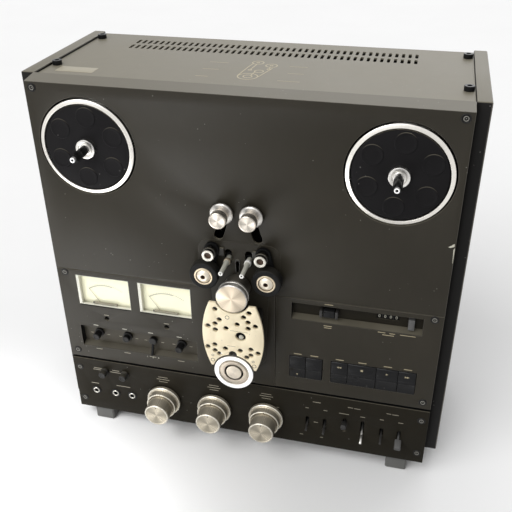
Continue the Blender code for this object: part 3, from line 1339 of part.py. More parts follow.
def reverse_roller(deck):
    """The large roller that turns the tape round, bored for its axle, with rings turned in its face."""
    bore = REVERSE_AXLE_RADIUS + CLEARANCE
    bore_end = REVERSE_AXLE_FRONT + CLEARANCE
    ring = REVERSE_FRONT - REVERSE_RING_DROP
    groove = REVERSE_FRONT - REVERSE_GROOVE_DEPTH
    profile = [
        (0, bore_end),
        (bore, bore_end),
        (bore, REVERSE_BACK),
        (REVERSE_RADIUS, REVERSE_BACK),
        (REVERSE_RADIUS, REVERSE_BACK + REVERSE_FLANGE),
        (REVERSE_TAPE_RADIUS, REVERSE_BACK + REVERSE_FLANGE),
        (REVERSE_TAPE_RADIUS, REVERSE_FRONT - REVERSE_FLANGE),
        (REVERSE_RADIUS, REVERSE_FRONT - REVERSE_FLANGE),
        (REVERSE_RADIUS, REVERSE_FRONT),
        (REVERSE_RADIUS - REVERSE_RING_WIDTH, REVERSE_FRONT),
        (REVERSE_RADIUS - REVERSE_RING_WIDTH, ring),
        (REVERSE_STEP_RADIUS, ring),
        (REVERSE_STEP_RADIUS, REVERSE_FRONT),
        (REVERSE_GROOVE_RADIUS, REVERSE_FRONT),
        (REVERSE_GROOVE_RADIUS, groove),
        (REVERSE_BOSS_RADIUS, groove),
        (REVERSE_BOSS_RADIUS, REVERSE_FRONT),
        (0, REVERSE_FRONT),
    ]
    roller = new_object("reverse_roller", turned(profile, MIDDLE_ROUND), deck, (0, REVERSE_HEIGHT))
    dress(roller, "turned_metal")


# Meters


def level_meters(deck):
    """Twin meter cases behind the panel, each with a frame in its window, a dial well and a needle pin."""
    back = CHASSIS_FRONT + CLEARANCE
    front = PANEL_BACK - CLEARANCE
    first, last = METER_WINDOWS[0][0], METER_WINDOWS[-1][1]
    middle = (METER_BOTTOM + METER_TOP) / 2
    web = rectangle(first, last, middle - METER_WEB_HALF, middle + METER_WEB_HALF)
    meters = new_object("level_meters", prism(web, METER_WEB_FRONT, back + METER_WALL), deck)
    top = METER_TOP + METER_MARGIN
    cases = [
        prism(rectangle(left - METER_MARGIN, right + METER_MARGIN, METER_CASE_BOTTOM, top), front, back)
        for left, right in METER_WINDOWS
    ]
    join(meters, cases, "cases")
    frames = [prism(frame_outline(span, CLEARANCE), 0, front - SEAT_OVERLAP) for span in METER_WINDOWS]
    join(meters, frames, "frames")
    for word, cutters in zip(("dials", "feet", "passages"), zip(*map(well_cutters, METER_WINDOWS))):
        cut(meters, cutters, word)
    extras = [meter_pin(span) for span in METER_WINDOWS] + [shield(span) for span in METER_WINDOWS]
    join(meters, extras, "pins_and_shields")
    dress(meters, "dial")


def frame_outline(span, inset):
    return rectangle(span[0] + inset, span[1] - inset, METER_BOTTOM + inset, METER_TOP - inset)


def well_cutters(span):
    """The dial's opening inside the frame, and the room below it, behind the panel, for the needle's foot."""
    inset = CLEARANCE + METER_WALL
    left, right = span[0] + inset, span[1] - inset
    floor = METER_CASE_BOTTOM + METER_WALL
    behind_frame = PANEL_BACK - CLEARANCE * 2
    dial = prism(frame_outline(span, inset), OVERRUN, METER_FLOOR_OUT)
    foot = prism(rectangle(left, right, floor, METER_BOTTOM), OVERRUN, METER_FLOOR_OUT)
    passage = rectangle(left, right, floor + METER_WALL / 2, METER_BOTTOM + inset + METER_WALL)
    return dial, foot, prism(passage, behind_frame, METER_FLOOR_OUT + CLEARANCE)


def needle_pivot(span):
    return ((span[0] + span[1]) / 2, NEEDLE_PIVOT_HEIGHT)


def meter_pin(span):
    outline = circle(needle_pivot(span), NEEDLE_PIN_RADIUS, HOLE_ROUND)
    return prism(outline, NEEDLE_OUT + NEEDLE_THICKNESS, METER_FLOOR_OUT - METER_WALL)


def shield(span):
    """The small bar that hides where the needle comes up from behind the panel."""
    middle = (span[0] + span[1]) / 2
    bottom = METER_BOTTOM + CLEARANCE + METER_WALL / 2
    outline = rectangle(middle - SHIELD_HALF, middle + SHIELD_HALF, bottom, SHIELD_TOP)
    return prism(outline, SHIELD_FRONT, PANEL_BACK)


def meter_needle(deck, name, span):
    """A hub on the meter's pin and a slim blade, lying over to the left at rest."""
    half = NEEDLE_THICKNESS / 2
    hub = prism(circle((0, 0), NEEDLE_HUB_RADIUS, HOLE_ROUND), NEEDLE_OUT + half, NEEDLE_OUT - half)
    needle = new_object(name, hub, deck, needle_pivot(span))
    lean = math.pi / 2 - NEEDLE_REST
    root = NEEDLE_HUB_RADIUS - NEEDLE_WIDTH
    start = (root * math.cos(lean), root * math.sin(lean))
    end = (NEEDLE_LENGTH * math.cos(lean), NEEDLE_LENGTH * math.sin(lean))
    blade = link(start, NEEDLE_WIDTH / 2, end, NEEDLE_WIDTH / 3, CORNER_STEPS)
    quarter = half / 2
    join(needle, [prism(blade, NEEDLE_OUT + quarter, NEEDLE_OUT - quarter)], "blade")
    bore = circle((0, 0), NEEDLE_PIN_RADIUS + CLEARANCE, HOLE_ROUND)
    cut(needle, [prism(bore, NEEDLE_OUT + OVERRUN, NEEDLE_OUT - OVERRUN)], "bore")
    dress(needle, "black_plastic")


# Knobs, buttons and switches


def recess_knob(deck, name, x, length):
    """A collar against the recess floor, a grip in front of it and a shaft through the floor."""
    base = RECESS_FLOOR + CLEARANCE
    grip = base + RECESS_COLLAR_LENGTH
    front = RECESS_FLOOR + length
    tail = RECESS_FLOOR - KNOB_SHAFT_LENGTH
    profile = [
        (0, tail),
        (KNOB_SHAFT_RADIUS, tail),
        (KNOB_SHAFT_RADIUS, base),
        (RECESS_KNOB_COLLAR, base),
        (RECESS_KNOB_COLLAR, grip - KNOB_CHAMFER),
        (RECESS_KNOB_COLLAR - KNOB_CHAMFER, grip),
        (RECESS_KNOB_RADIUS, grip),
        (RECESS_KNOB_RADIUS, front - KNOB_CHAMFER),
        (RECESS_KNOB_RADIUS - KNOB_CHAMFER, front),
        (0, front),
    ]
    knob = new_object(name, turned(profile, SMALL_ROUND), deck, (x, RECESS_KNOB_HEIGHT))
    dress(knob, "black_plastic")


def speed_lever(deck):
    """A round hub with a pointer that reaches down and past the recess's sloping wall."""
    base = RECESS_FLOOR + CLEARANCE
    front = base + POINTER_THICKNESS
    tail = RECESS_FLOOR - KNOB_SHAFT_LENGTH
    profile = [
        (0, tail),
        (KNOB_SHAFT_RADIUS, tail),
        (KNOB_SHAFT_RADIUS, base),
        (POINTER_HUB_RADIUS, base),
        (POINTER_HUB_RADIUS, front - KNOB_CHAMFER),
        (POINTER_HUB_RADIUS - KNOB_CHAMFER, front),
        (0, front),
    ]
    lever = new_object("speed_lever", turned(profile, SMALL_ROUND), deck, (SPEED_X, RECESS_KNOB_HEIGHT))
    half = POINTER_WIDTH / 2
    reach = 0 - POINTER_HUB_RADIUS / 2
    blade_back = (base + front) / 2
    profile = [
        (front - KNOB_CHAMFER, reach),
        (blade_back, reach),
        (blade_back, -POINTER_HEEL),
        (front, -POINTER_KNEE),
        (front + POINTER_RISE, -POINTER_LENGTH),
        (front + POINTER_RISE + POINTER_WIDTH, -POINTER_LENGTH),
        (front + POINTER_RISE, -POINTER_KNEE),
    ]
    join(lever, [bar(profile, -half, half)], "pointer")
    dress(lever, "black_plastic")


def selector_knob(deck, name, x):
    front = SELECTOR_LENGTH
    base = CLEARANCE
    tail = PANEL_BACK - KNOB_SHAFT_LENGTH / 2
    profile = [
        (0, tail),
        (KNOB_SHAFT_RADIUS, tail),
        (KNOB_SHAFT_RADIUS, base),
        (SELECTOR_RADIUS + KNOB_CHAMFER, base),
        (SELECTOR_RADIUS, base + KNOB_CHAMFER * 2),
        (SELECTOR_RADIUS, front - KNOB_CHAMFER),
        (SELECTOR_RADIUS - KNOB_CHAMFER, front),
        (0, front),
    ]
    knob = new_object(name, turned(profile, SMALL_ROUND), deck, (x, SELECTOR_HEIGHT))
    dress(knob, "black_plastic")


def cue_lever(deck):
    """A rocker between two posts, pressed down about a cross axis in the recess floor."""
    middle = sum(CUE_POST_XS) / 2
    half = CUE_LEVER_WIDTH / 2
    face = CUE_LEVER_FRONT - RECESS_FLOOR
    rise = CUE_LEVER_HALF_HEIGHT
    profile = [
        (-CUE_PIVOT_RADIUS, -CUE_PIVOT_RADIUS),
        (-CUE_PIVOT_RADIUS, CUE_PIVOT_RADIUS),
        (0, rise),
        (face, CUE_LEVER_TIP_HALF),
        (face - CUE_LEVER_DISH, 0),
        (face, -CUE_LEVER_TIP_HALF),
        (0, -rise),
    ]
    lever = new_object("cue_lever", bar(profile, -half, half), deck, (middle, CUE_LEVER_Z), RECESS_FLOOR)
    dress(lever, "black_plastic")


def counter_reset(deck):
    middle_x, middle_z = (RESET_LEFT + RESET_RIGHT) / 2, (RESET_BOTTOM + RESET_TOP) / 2
    half, rise = (RESET_RIGHT - RESET_LEFT) / 2, (RESET_TOP - RESET_BOTTOM) / 2
    profile = [
        (RESET_FRONT - KNOB_CHAMFER, -rise),
        (RESET_FRONT, -rise + KNOB_CHAMFER),
        (RESET_FRONT, rise - KNOB_CHAMFER),
        (RESET_FRONT - KNOB_CHAMFER, rise),
        (RECESS_FLOOR - RESET_STEM_LENGTH, rise),
        (RECESS_FLOOR - RESET_STEM_LENGTH, -rise),
    ]
    button = new_object("counter_reset", bar(profile, -half, half), deck, (middle_x, middle_z))
    dress(button, "grey_plastic")


def transport_button(deck, name, span):
    """A key with a raised ridge across its middle and a square stem through the chassis plate."""
    middle_x, middle_z = (span[0] + span[1]) / 2, (BUTTON_BOTTOM + BUTTON_TOP) / 2
    half = (span[1] - span[0]) / 2 - BUTTON_GAP / 2
    rise = (BUTTON_TOP - BUTTON_BOTTOM) / 2
    back = BUTTON_OUT - BUTTON_DEPTH
    profile = [
        (back, -rise),
        (BUTTON_OUT - KNOB_CHAMFER, -rise),
        (BUTTON_OUT, -rise + KNOB_CHAMFER),
        (BUTTON_OUT, -RIDGE_HALF),
        (BUTTON_RIDGE, RIDGE_HALF / 2),
        (BUTTON_OUT, RIDGE_HALF),
        (BUTTON_OUT, rise - KNOB_CHAMFER),
        (BUTTON_OUT - KNOB_CHAMFER, rise),
        (back, rise),
    ]
    button = new_object(name, bar(profile, -half, half), deck, (middle_x, middle_z))
    stem = rectangle(-BUTTON_STEM, BUTTON_STEM, -BUTTON_STEM, BUTTON_STEM)
    join(button, [prism(stem, back + SEAT_OVERLAP, BUTTON_OUT - STEM_REACH)], "stem")
    dress(button, "black_plastic")


def level_ring(deck, name, x):
    """The rear half of a dual control: a wide rim, a narrower grip and a hollow shaft."""
    bore = LEVEL_SHAFT_RADIUS + CLEARANCE
    profile = [
        (bore, LEVEL_RING_FRONT),
        (bore, PANEL_BACK - LEVEL_SHAFT_LENGTH / 2),
        (LEVEL_SLEEVE_RADIUS, PANEL_BACK - LEVEL_SHAFT_LENGTH / 2),
        (LEVEL_SLEEVE_RADIUS, LEVEL_RING_BACK),
        (LEVEL_RING_RADIUS, LEVEL_RING_BACK),
        (LEVEL_RING_RADIUS, LEVEL_RING_RIM - LEVEL_CHAMFER),
        (LEVEL_RING_RADIUS - LEVEL_CHAMFER, LEVEL_RING_RIM),
        (LEVEL_RING_STEP_RADIUS, LEVEL_RING_RIM),
        (LEVEL_RING_STEP_RADIUS, LEVEL_RING_FRONT - LEVEL_CHAMFER),
        (LEVEL_RING_STEP_RADIUS - LEVEL_CHAMFER, LEVEL_RING_FRONT),
    ]
    ring = new_object(name, turned(profile, MIDDLE_ROUND, bored=True), deck, (x, LEVEL_HEIGHT))
    dress(ring, "champagne")


def level_knob(deck, name, x):
    """The front half: a slightly tapered cap on a shaft through the ring."""
    base = LEVEL_RING_FRONT + CLEARANCE
    tail = PANEL_BACK - LEVEL_SHAFT_LENGTH
    profile = [
        (0, tail),
        (LEVEL_SHAFT_RADIUS, tail),
        (LEVEL_SHAFT_RADIUS, base),
        (LEVEL_KNOB_RADIUS, base),
        (LEVEL_KNOB_TIP_RADIUS, LEVEL_KNOB_FRONT - LEVEL_CHAMFER),
        (LEVEL_KNOB_TIP_RADIUS - LEVEL_CHAMFER, LEVEL_KNOB_FRONT),
        (0, LEVEL_KNOB_FRONT),
    ]
    knob = new_object(name, turned(profile, MIDDLE_ROUND), deck, (x, LEVEL_HEIGHT))
    dress(knob, "champagne")


def jack_block(deck):
    """Three phone sockets on one plate, their barrels showing through the panel."""
    front = JACK_FRONT - JACK_DEPTH
    back = CHASSIS_FRONT + CLEARANCE
    left, right = min(JACK_XS) - JACK_PLATE_MARGIN, max(JACK_XS) + JACK_PLATE_MARGIN
    outline = rectangle(left, right, JACK_HEIGHT - JACK_PLATE_MARGIN, JACK_HEIGHT + JACK_PLATE_MARGIN)
    block = new_object("jack_block", prism(outline, front, back), deck)
    rounds = [circle((x, JACK_HEIGHT), JACK_RADIUS, SMALL_ROUND) for x in JACK_XS]
    join(block, [prism(outline, JACK_FRONT, front - SEAT_OVERLAP) for outline in rounds], "barrels")
    bores = [prism(circle((x, JACK_HEIGHT), JACK_BORE_RADIUS, HOLE_ROUND), OVERRUN, front) for x in JACK_XS]
    cut(block, bores, "bores")
    dress(block, "plated_steel")


def lever_switch(deck, name, switch):
    """A lever: a hub across the switch frame, a stem through the slot and a grip on its end."""
    x, z, _, tilt, grip_half, grip_rise, start, end = switch
    hub = bmesh.new()
    half = SWITCH_HUB_WIDTH / 2
    ring = circle((0, 0), SWITCH_HUB_RADIUS, HOLE_ROUND)
    near = [hub.verts.new((-half, y, z)) for y, z in ring]
    far = [hub.verts.new((half, y, z)) for y, z in ring]
    face_loop(hub, near, far)
    lever = new_object(name, hub, deck, (x, z), SWITCH_PIVOT_OUT, -tilt)
    thin = SWITCH_STEM_HALF
    stem = prism(rectangle(-thin, thin, -thin, thin), start + SEAT_OVERLAP, 0)
    join(lever, [stem], "stem")
    join(lever, [prism(rectangle(-grip_half, grip_half, -grip_rise, grip_rise), end, start)], "grip")
    dress(lever, "grey_plastic")


def main():
    clear_scene()
    deck = bpy.data.objects.new("deck_origin", None)
    bpy.context.scene.collection.objects.link(deck)
    deck.location = (0, PANEL_Y, FOOT_HEIGHT)

    sides = (("left", -1), ("right", 1))
    for word, side in sides:
        side_panel(deck, f"{word}_side_panel", side)
    top_cover(deck)
    rear_panel(deck)
    bottom_plate(deck)
    deck_panel(deck)
    meter_panel(deck)
    control_panel(deck)
    amplifier_panel(deck)
    chassis_plate(deck)
    head_base(deck)
    head_cover(deck)
    level_meters(deck)
    jack_block(deck)

    for word, side in sides:
        place = (side * REEL_SPREAD, REEL_HEIGHT)
        nose = -REEL_BACK - CLEARANCE
        motor(deck, f"{word}_reel_motor", place, REEL_MOTOR, REEL_SHAFT_RADIUS, nose)
        table = reel_table(deck, f"{word}_reel_table", side)
        reel_lock(table, f"{word}_reel_lock")
        arm = tension_arm(deck, f"{word}_tension_arm", side)
        tension_roller(arm, f"{word}_tension_roller", side)
        lever = pinch_arm(deck, f"{word}_pinch_arm", side)
        pinch_roller(lever, f"{word}_pinch_roller", side)
    capstan_nose = BASE_BACK - LIFTER_PLATE_THICKNESS - CLEARANCE * 2
    motor(deck, "capstan_motor", (0, CAPSTAN_HEIGHT), CAPSTAN_MOTOR, CAPSTAN_SHAFT_RADIUS, capstan_nose)
    capstan(deck)
    tape_lifter(deck)
    reverse_roller(deck)

    for (word, side), span in zip(sides, METER_WINDOWS):
        meter_needle(deck, f"{word}_meter_needle", span)
    recess_knob(deck, "bias_knob", BIAS_X, BIAS_LENGTH)
    recess_knob(deck, "equalizer_knob", EQUALIZER_X, EQUALIZER_LENGTH)
    recess_knob(deck, "pitch_knob", PITCH_X, PITCH_LENGTH)
    speed_lever(deck)
    cue_lever(deck)
    counter_reset(deck)
    for name, span in button_spans().items():
        transport_button(deck, name, span)
    for name, x in zip(LEVEL_NAMES, LEVEL_XS):
        level_ring(deck, f"{name}_ring", x)
        level_knob(deck, f"{name}_knob", x)
    for name, x in zip(SELECTOR_NAMES, SELECTOR_XS):
        selector_knob(deck, f"{name}_knob", x)
    for number, switch in enumerate(SWITCHES, start=1):
        lever_switch(deck, f"lever_switch_{number}", switch)


main()
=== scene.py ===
"""Looks of the reel-to-reel tape deck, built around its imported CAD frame.

Lengths are metres. Shapes are drawn in the panel frame: X to the right, Z up from the bottom edge of the front
panels, and "out" towards the viewer from their face. Places that the CAD already holds are read from its nodes.
"""

import math

import bmesh
import bpy
from mathutils import Matrix, Vector


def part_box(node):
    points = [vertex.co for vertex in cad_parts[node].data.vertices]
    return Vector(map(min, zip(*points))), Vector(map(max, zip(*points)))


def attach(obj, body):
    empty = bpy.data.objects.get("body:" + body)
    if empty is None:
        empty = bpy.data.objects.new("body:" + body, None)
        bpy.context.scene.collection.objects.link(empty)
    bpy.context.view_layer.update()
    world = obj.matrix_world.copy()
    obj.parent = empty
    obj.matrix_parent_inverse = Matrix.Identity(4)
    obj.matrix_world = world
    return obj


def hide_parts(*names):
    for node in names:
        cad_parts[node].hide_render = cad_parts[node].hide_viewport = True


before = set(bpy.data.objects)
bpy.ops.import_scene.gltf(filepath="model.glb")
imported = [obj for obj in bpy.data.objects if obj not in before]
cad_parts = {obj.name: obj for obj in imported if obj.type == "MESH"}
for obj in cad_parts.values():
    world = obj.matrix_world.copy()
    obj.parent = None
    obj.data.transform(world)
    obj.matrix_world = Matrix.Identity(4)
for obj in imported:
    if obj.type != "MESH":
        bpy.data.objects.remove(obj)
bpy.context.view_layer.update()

bl_info = {
    "name": "Reel-to-reel tape deck",
    "version": (1, 0, 0),
    "blender": (4, 5, 0),
    "location": "3D View > Sidebar > Tape Deck",
    "description": "Adds the dressed pieces of a reel-to-reel tape deck to its CAD frame",
    "category": "Add Mesh",
}

FACE_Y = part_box("deck_panel")[0].y
BASE_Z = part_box("amplifier_panel")[0].z
SIDES = (("left", -1), ("right", 1))

# Steps round a turned shape
FULL_ROUND = 96
ROUND = 72
SMALL_ROUND = 40
TINY_ROUND = 20
# Usual rounding of an edge, the height of a print, and the gap or overlap of two parts
SOFT = 0.0004
FINE = 0.0002
OVERLAP = 0.0003
SHARP_ANGLE = math.radians(35)


class DeckSizes(bpy.types.PropertyGroup):
    """Sizes that a user might change without touching the CAD frame"""

    panel_edge: bpy.props.FloatProperty(
        name="Panel edge", description="Rounding of the panels' edges", default=0.0004, unit="LENGTH"
    )
    screw_radius: bpy.props.FloatProperty(
        name="Screw radius", description="Radius of a panel screw's head", default=0.0031, unit="LENGTH"
    )
    rib_count: bpy.props.IntProperty(
        name="Knob ribs", description="Ribs round a small black knob", default=20, min=6, max=60
    )
    scale_ticks: bpy.props.IntProperty(
        name="Scale ticks", description="Ticks along a meter's scale", default=21, min=5, max=60
    )
    mark_height: bpy.props.FloatProperty(
        name="Mark height", description="Height of the printed numbers", default=0.0022, unit="LENGTH"
    )


class DeckColours(bpy.types.PropertyGroup):
    """Base colours of the deck's main finishes"""

    panel: bpy.props.FloatVectorProperty(
        name="Panels", description="Front panels' paint", default=(0.0207, 0.0178, 0.0122), subtype="COLOR"
    )
    # The case colour is far lighter than the panels' paint: it stands for the top cover's dark paint with a painted
    # sheen
    case: bpy.props.FloatVectorProperty(
        name="Case", description="Top cover's and rear panel's paint", default=(0.150, 0.136, 0.102), subtype="COLOR"
    )
    side: bpy.props.FloatVectorProperty(
        name="Sides", description="Side panels' paint", default=(0.0065, 0.0060, 0.0055), subtype="COLOR"
    )
    mat: bpy.props.FloatVectorProperty(
        name="Mats", description="Reel table mats", default=(0.0085, 0.0080, 0.0085), subtype="COLOR"
    )
    metal: bpy.props.FloatVectorProperty(
        name="Bright metal", description="Rollers, rims and the capstan", default=(0.80, 0.77, 0.72), subtype="COLOR"
    )
    champagne: bpy.props.FloatVectorProperty(
        name="Level knobs", description="Anodised level controls", default=(0.69, 0.62, 0.49), subtype="COLOR"
    )
    cream: bpy.props.FloatVectorProperty(
        name="Head cover", description="Head cover's finish", default=(0.715, 0.625, 0.445), subtype="COLOR"
    )
    dial: bpy.props.FloatVectorProperty(
        name="Dials", description="Meter dials", default=(0.92, 0.90, 0.68), subtype="COLOR"
    )


def sizes():
    return bpy.context.scene.deck_sizes


# Places that the CAD holds


def span(node):
    """A node's left, right, bottom and top in the panel frame."""
    low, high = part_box(node)
    return low.x, high.x, low.z - BASE_Z, high.z - BASE_Z


def reach(node):
    """A node's back and front as distances out from the panels' face."""
    low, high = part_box(node)
    return FACE_Y - high.y, FACE_Y - low.y


def middle(node):
    left, right, bottom, top = span(node)
    return (left + right) / 2, (bottom + top) / 2


def half_width(node):
    left, right, _, _ = span(node)
    return (right - left) / 2


def facing(u, v, w):
    """Panel X, panel Z and out, as a point of the frame."""
    return Vector((u, FACE_Y - w, BASE_Z + v))


def along_x(u, v, w):
    """Out, panel Z and X, as a point of the frame."""
    return Vector((w, FACE_Y - u, BASE_Z + v))


def upright(u, v, w):
    """Panel X, out and Z, as a point of the frame."""
    return Vector((u, FACE_Y - v, BASE_Z + w))


# Outlines


def arc(centre, radius, start, end, steps):
    turn = (end - start) / steps
    angles = [start + turn * i for i in range(steps + 1)]
    return [(centre[0] + radius * math.cos(angle), centre[1] + radius * math.sin(angle)) for angle in angles]


def circle(centre, radius, steps=SMALL_ROUND):
    return arc(centre, radius, 0, math.tau, steps)[:-1]


def rectangle(left, right, bottom, top):
    return [(left, bottom), (right, bottom), (right, top), (left, top)]


def block(x, z, half, rise):
    """A rectangle about its middle."""
    return rectangle(x - half, x + half, z - rise, z + rise)


def roomy(box, across, up=None):
    """A rectangle that is larger than a box all round."""
    left, right, bottom, top = box
    up = across if up is None else up
    return rectangle(left - across, right + across, bottom - up, top + up)


def at_out(base, *points):
    """A (radius, out) profile whose outs are counted from a base."""
    return [(radius, base + out) for radius, out in points]


def fillet(points, radius, steps=3, closed=True):
    """Rounds the corners of a line of points; each corner takes at most 0.45 of its shorter side."""
    count = len(points)
    rounded = []
    for i, point in enumerate(points):
        here = Vector(point)
        before, after = Vector(points[i - 1]) - here, Vector(points[(i + 1) % count]) - here
        reach_back, reach_on = min(radius, before.length * 0.45), min(radius, after.length * 0.45)
        at_end = not closed and i in (0, count - 1)
        if at_end or min(reach_back, reach_on) < 1e-6 or abs(before.normalized().cross(after.normalized())) < 0.05:
            rounded.append(point)
            continue
        start, end = here + before.normalized() * reach_back, here + after.normalized() * reach_on
        for step in range(steps + 1):
            t = step / steps
            spot = start * (1 - t) ** 2 + here * 2 * t * (1 - t) + end * t**2
            rounded.append((spot.x, spot.y))
    return rounded


def link(first, first_radius, second, second_radius, steps=12):
    """The outline of a lever: two round ends and the flanks that touch both."""
    across, up = second[0] - first[0], second[1] - first[1]
    heading = math.atan2(up, across)
    lean = math.acos((first_radius - second_radius) / math.hypot(across, up))
    near = arc(first, first_radius, heading + lean, heading + math.tau - lean, steps)
    return near + arc(second, second_radius, heading - lean, heading + lean, steps)


def signed_area(outline):
    pairs = zip(outline, outline[1:] + outline[:1])
    return sum(a[0] * b[1] - b[0] * a[1] for a, b in pairs) / 2


def shifted(outline, distance):
    """The outline moved to its left by a small distance, with mitred corners."""
    count = len(outline)
    moved = []
    for i, point in enumerate(outline):
        here = Vector(point)
        before = (here - Vector(outline[i - 1])).normalized()
        after = (Vector(outline[(i + 1) % count]) - here).normalized()
        normal = Vector((-before.y - after.y, before.x + after.x))
        if normal.length < 1e-9:
            moved.append(point)
            continue
        normal.normalize()
        stretch = max(0.35, normal.dot(Vector((-before.y, before.x))))
        spot = here + normal * distance / stretch
        moved.append((spot.x, spot.y))
    return moved


# Shapes, as bmeshes


def slab(outlines, low, high, edge=SOFT, to_frame=facing, both=False):
    """A plate with holes and a rounded rim: the first outline is its edge, the others are holes."""
    shape = bmesh.new()
    ordered = []
    for i, outline in enumerate(outlines):
        anticlockwise = signed_area(outline) > 0
        ordered.append(outline if anticlockwise == (i == 0) else outline[::-1])
    front_steps = ((0.0, edge), (edge * 0.3, edge * 0.3), (edge, 0.0)) if edge else ((0.0, 0.0),)
    back_steps = front_steps if both else ((0.0, 0.0),)
    caps = ([], [])
    rims = []
    for outline in ordered:
        rings = [(shifted(outline, inset), low + drop) for inset, drop in reversed(back_steps)]
        rings += [(shifted(outline, inset), high - drop) for inset, drop in front_steps]
        made = [[shape.verts.new(to_frame(u, v, w)) for u, v in ring] for ring, w in rings]
        for step, (near, far) in enumerate(zip(made, made[1:])):
            for i in range(len(near)):
                after = (i + 1) % len(near)
                face = shape.faces.new((near[i], near[after], far[after], far[i]))
                face.smooth = True
                if step >= len(back_steps):
                    rims.append(face)
        for cap, ring in zip(caps, (made[0], made[-1])):
            cap += [shape.edges.get((ring[i - 1], ring[i])) for i in range(len(ring))]
    for cap in caps:
        bmesh.ops.triangle_fill(shape, use_beauty=True, use_dissolve=False, edges=cap)
    # Rim faces take a lighter rim paint: part wear, part painted edge highlight
    for face in rims:
        face.material_index = 1
    bmesh.ops.recalc_face_normals(shape, faces=shape.faces[:])
    return shape


def plate(looks, outlines, low, high, edge=0.0, to_frame=facing, both=False):
    """A slab and its finish; a lone outline needs no list round it."""
    outlines = [outlines] if isinstance(outlines[0], tuple) else outlines
    return slab(outlines, low, high, edge, to_frame, both), looks


def printing(looks, outlines, out=0.0, height=FINE / 4, to_frame=facing):
    """A print that stands out from a face by less than a hair."""
    return plate(looks, outlines, out - FINE, out + height, 0.0, to_frame)


def lathe(profile, centre, steps=ROUND, soft=SOFT):
    """(radius, out) points turned about the out axis; a profile that starts off the axis leaves a bore.

    Its UV map runs round in u and along the profile in v.
    """
    bored = profile[0][0] > 0
    points = fillet(profile, soft, 3, closed=bored)
    shape = bmesh.new()
    uv = shape.loops.layers.uv.new("turned")
    rings, lengths = [], [0.0]
    for radius, out in points:
        ring = [facing(x, z, out) for x, z in circle(centre, radius, steps)] if radius else [facing(*centre, out)]
        rings.append([shape.verts.new(spot) for spot in ring])
    for first, second in zip(points, points[1:]):
        lengths.append(lengths[-1] + math.dist(first, second))
    order = list(range(len(rings))) + ([0] if bored else [])
    for a, b in zip(order, order[1:]):
        for i in range(steps):
            verts, places = [], []
            for ring, turn in ((a, i), (a, i + 1), (b, i + 1), (b, i)):
                vert = rings[ring][turn % len(rings[ring])]
                if vert not in verts:
                    verts.append(vert)
                    places.append((turn / steps, lengths[ring]))
            if len(verts) < 3:
                continue
            face = shape.faces.new(verts)
            face.smooth = True
            for loop, place in zip(face.loops, places):
                loop[uv].uv = place
    bmesh.ops.recalc_face_normals(shape, faces=shape.faces[:])
    return shape


def turned(looks, profile, centre, steps=ROUND, soft=SOFT):
    """A lathe shape and its finish."""
    return lathe(profile, centre, steps, soft), looks


def placed(shape, to_frame):
    """A shape's local x, y, z put in the frame by a mapping."""
    for vert in shape.verts:
        vert.co = to_frame(*vert.co)
    bmesh.ops.recalc_face_normals(shape, faces=shape.faces[:])
    return shape


def add_object(name, data):
    obj = bpy.data.objects.new(name, data)
    bpy.context.scene.collection.objects.link(obj)
    return obj


def evaluated_shape(obj):
    """The mesh that an object's modifiers or its font make, as a bmesh."""
    made = bpy.data.meshes.new_from_object(obj.evaluated_get(bpy.context.evaluated_depsgraph_get()))
    shape = bmesh.new()
    shape.from_mesh(made)
    bpy.data.meshes.remove(made)
    return shape


# Lighter paint on the rounded rim of a painted slab: part wear, part a painted highlight where the rim catches the
# light
WORN_AND_LIT_RIMS = {"panel_paint": "worn_panel", "side_paint": "worn_side"}


def piece(name, body, parts, replaces=()):
    """One object made of (shape, finish) parts, that rides on a body and may stand for CAD nodes."""
    whole = bmesh.new()
    materials = []
    for shape, material in parts:
        # A rim face takes the lighter rim paint: part wear, part painted highlight
        looks = (material, WORN_AND_LIT_RIMS.get(material, material))
        materials += [look for look in dict.fromkeys(looks) if look not in materials]
        for face in shape.faces:
            face.material_index = materials.index(looks[face.material_index == 1])
        if "turned" not in shape.loops.layers.uv:
            shape.loops.layers.uv.new("turned")
        mesh = bpy.data.meshes.new("part")
        shape.to_mesh(mesh)
        shape.free()
        whole.from_mesh(mesh)
        bpy.data.meshes.remove(mesh)
    mesh = bpy.data.meshes.new(name)
    whole.to_mesh(mesh)
    whole.free()
    mesh.set_sharp_from_angle(angle=SHARP_ANGLE)
    for material in materials:
        mesh.materials.append(finish(material))
    obj = add_object(name, mesh)
    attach(obj, body)
    if replaces:
        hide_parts(*replaces)
    return obj


# Node helpers

SOCKET_KINDS = {int: "NodeSocketInt", float: "NodeSocketFloat", tuple: "NodeSocketVector"}


def feed(tree, node, inputs):
    """Gives a node's inputs their values, or links from sockets or from other nodes' first outputs."""
    for key, value in inputs.items():
        for one in value if isinstance(value, list) else [value]:
            if isinstance(one, bpy.types.Node):
                one = one.outputs[0]
            if isinstance(one, bpy.types.NodeSocket):
                tree.links.new(one, node.inputs[key])
            else:
                node.inputs[key].default_value = one


def add_node(tree, kind, inputs=None, **settings):
    node = tree.nodes.new(kind)
    for key, value in settings.items():
        setattr(node, key, value)
    feed(tree, node, inputs or {})
    return node


def math_node(tree, operation, *values, clamp=False):
    inputs = dict(enumerate(values))
    return add_node(tree, "ShaderNodeMath", inputs, operation=operation, use_clamp=clamp).outputs[0]


def mix_colours(tree, factor, first, second):
    ends = [end if isinstance(end, bpy.types.NodeSocket) else (*end[:3], 1.0) for end in (first, second)]
    return add_node(tree, "ShaderNodeMix", {0: factor, 6: ends[0], 7: ends[1]}, data_type="RGBA").outputs[2]


def noise_node(tree, vector, scale, detail=3.0, roughness=0.6):
    inputs = {"Vector": vector, "Scale": scale, "Detail": detail, "Roughness": roughness}
    return add_node(tree, "ShaderNodeTexNoise", inputs).outputs["Fac"]


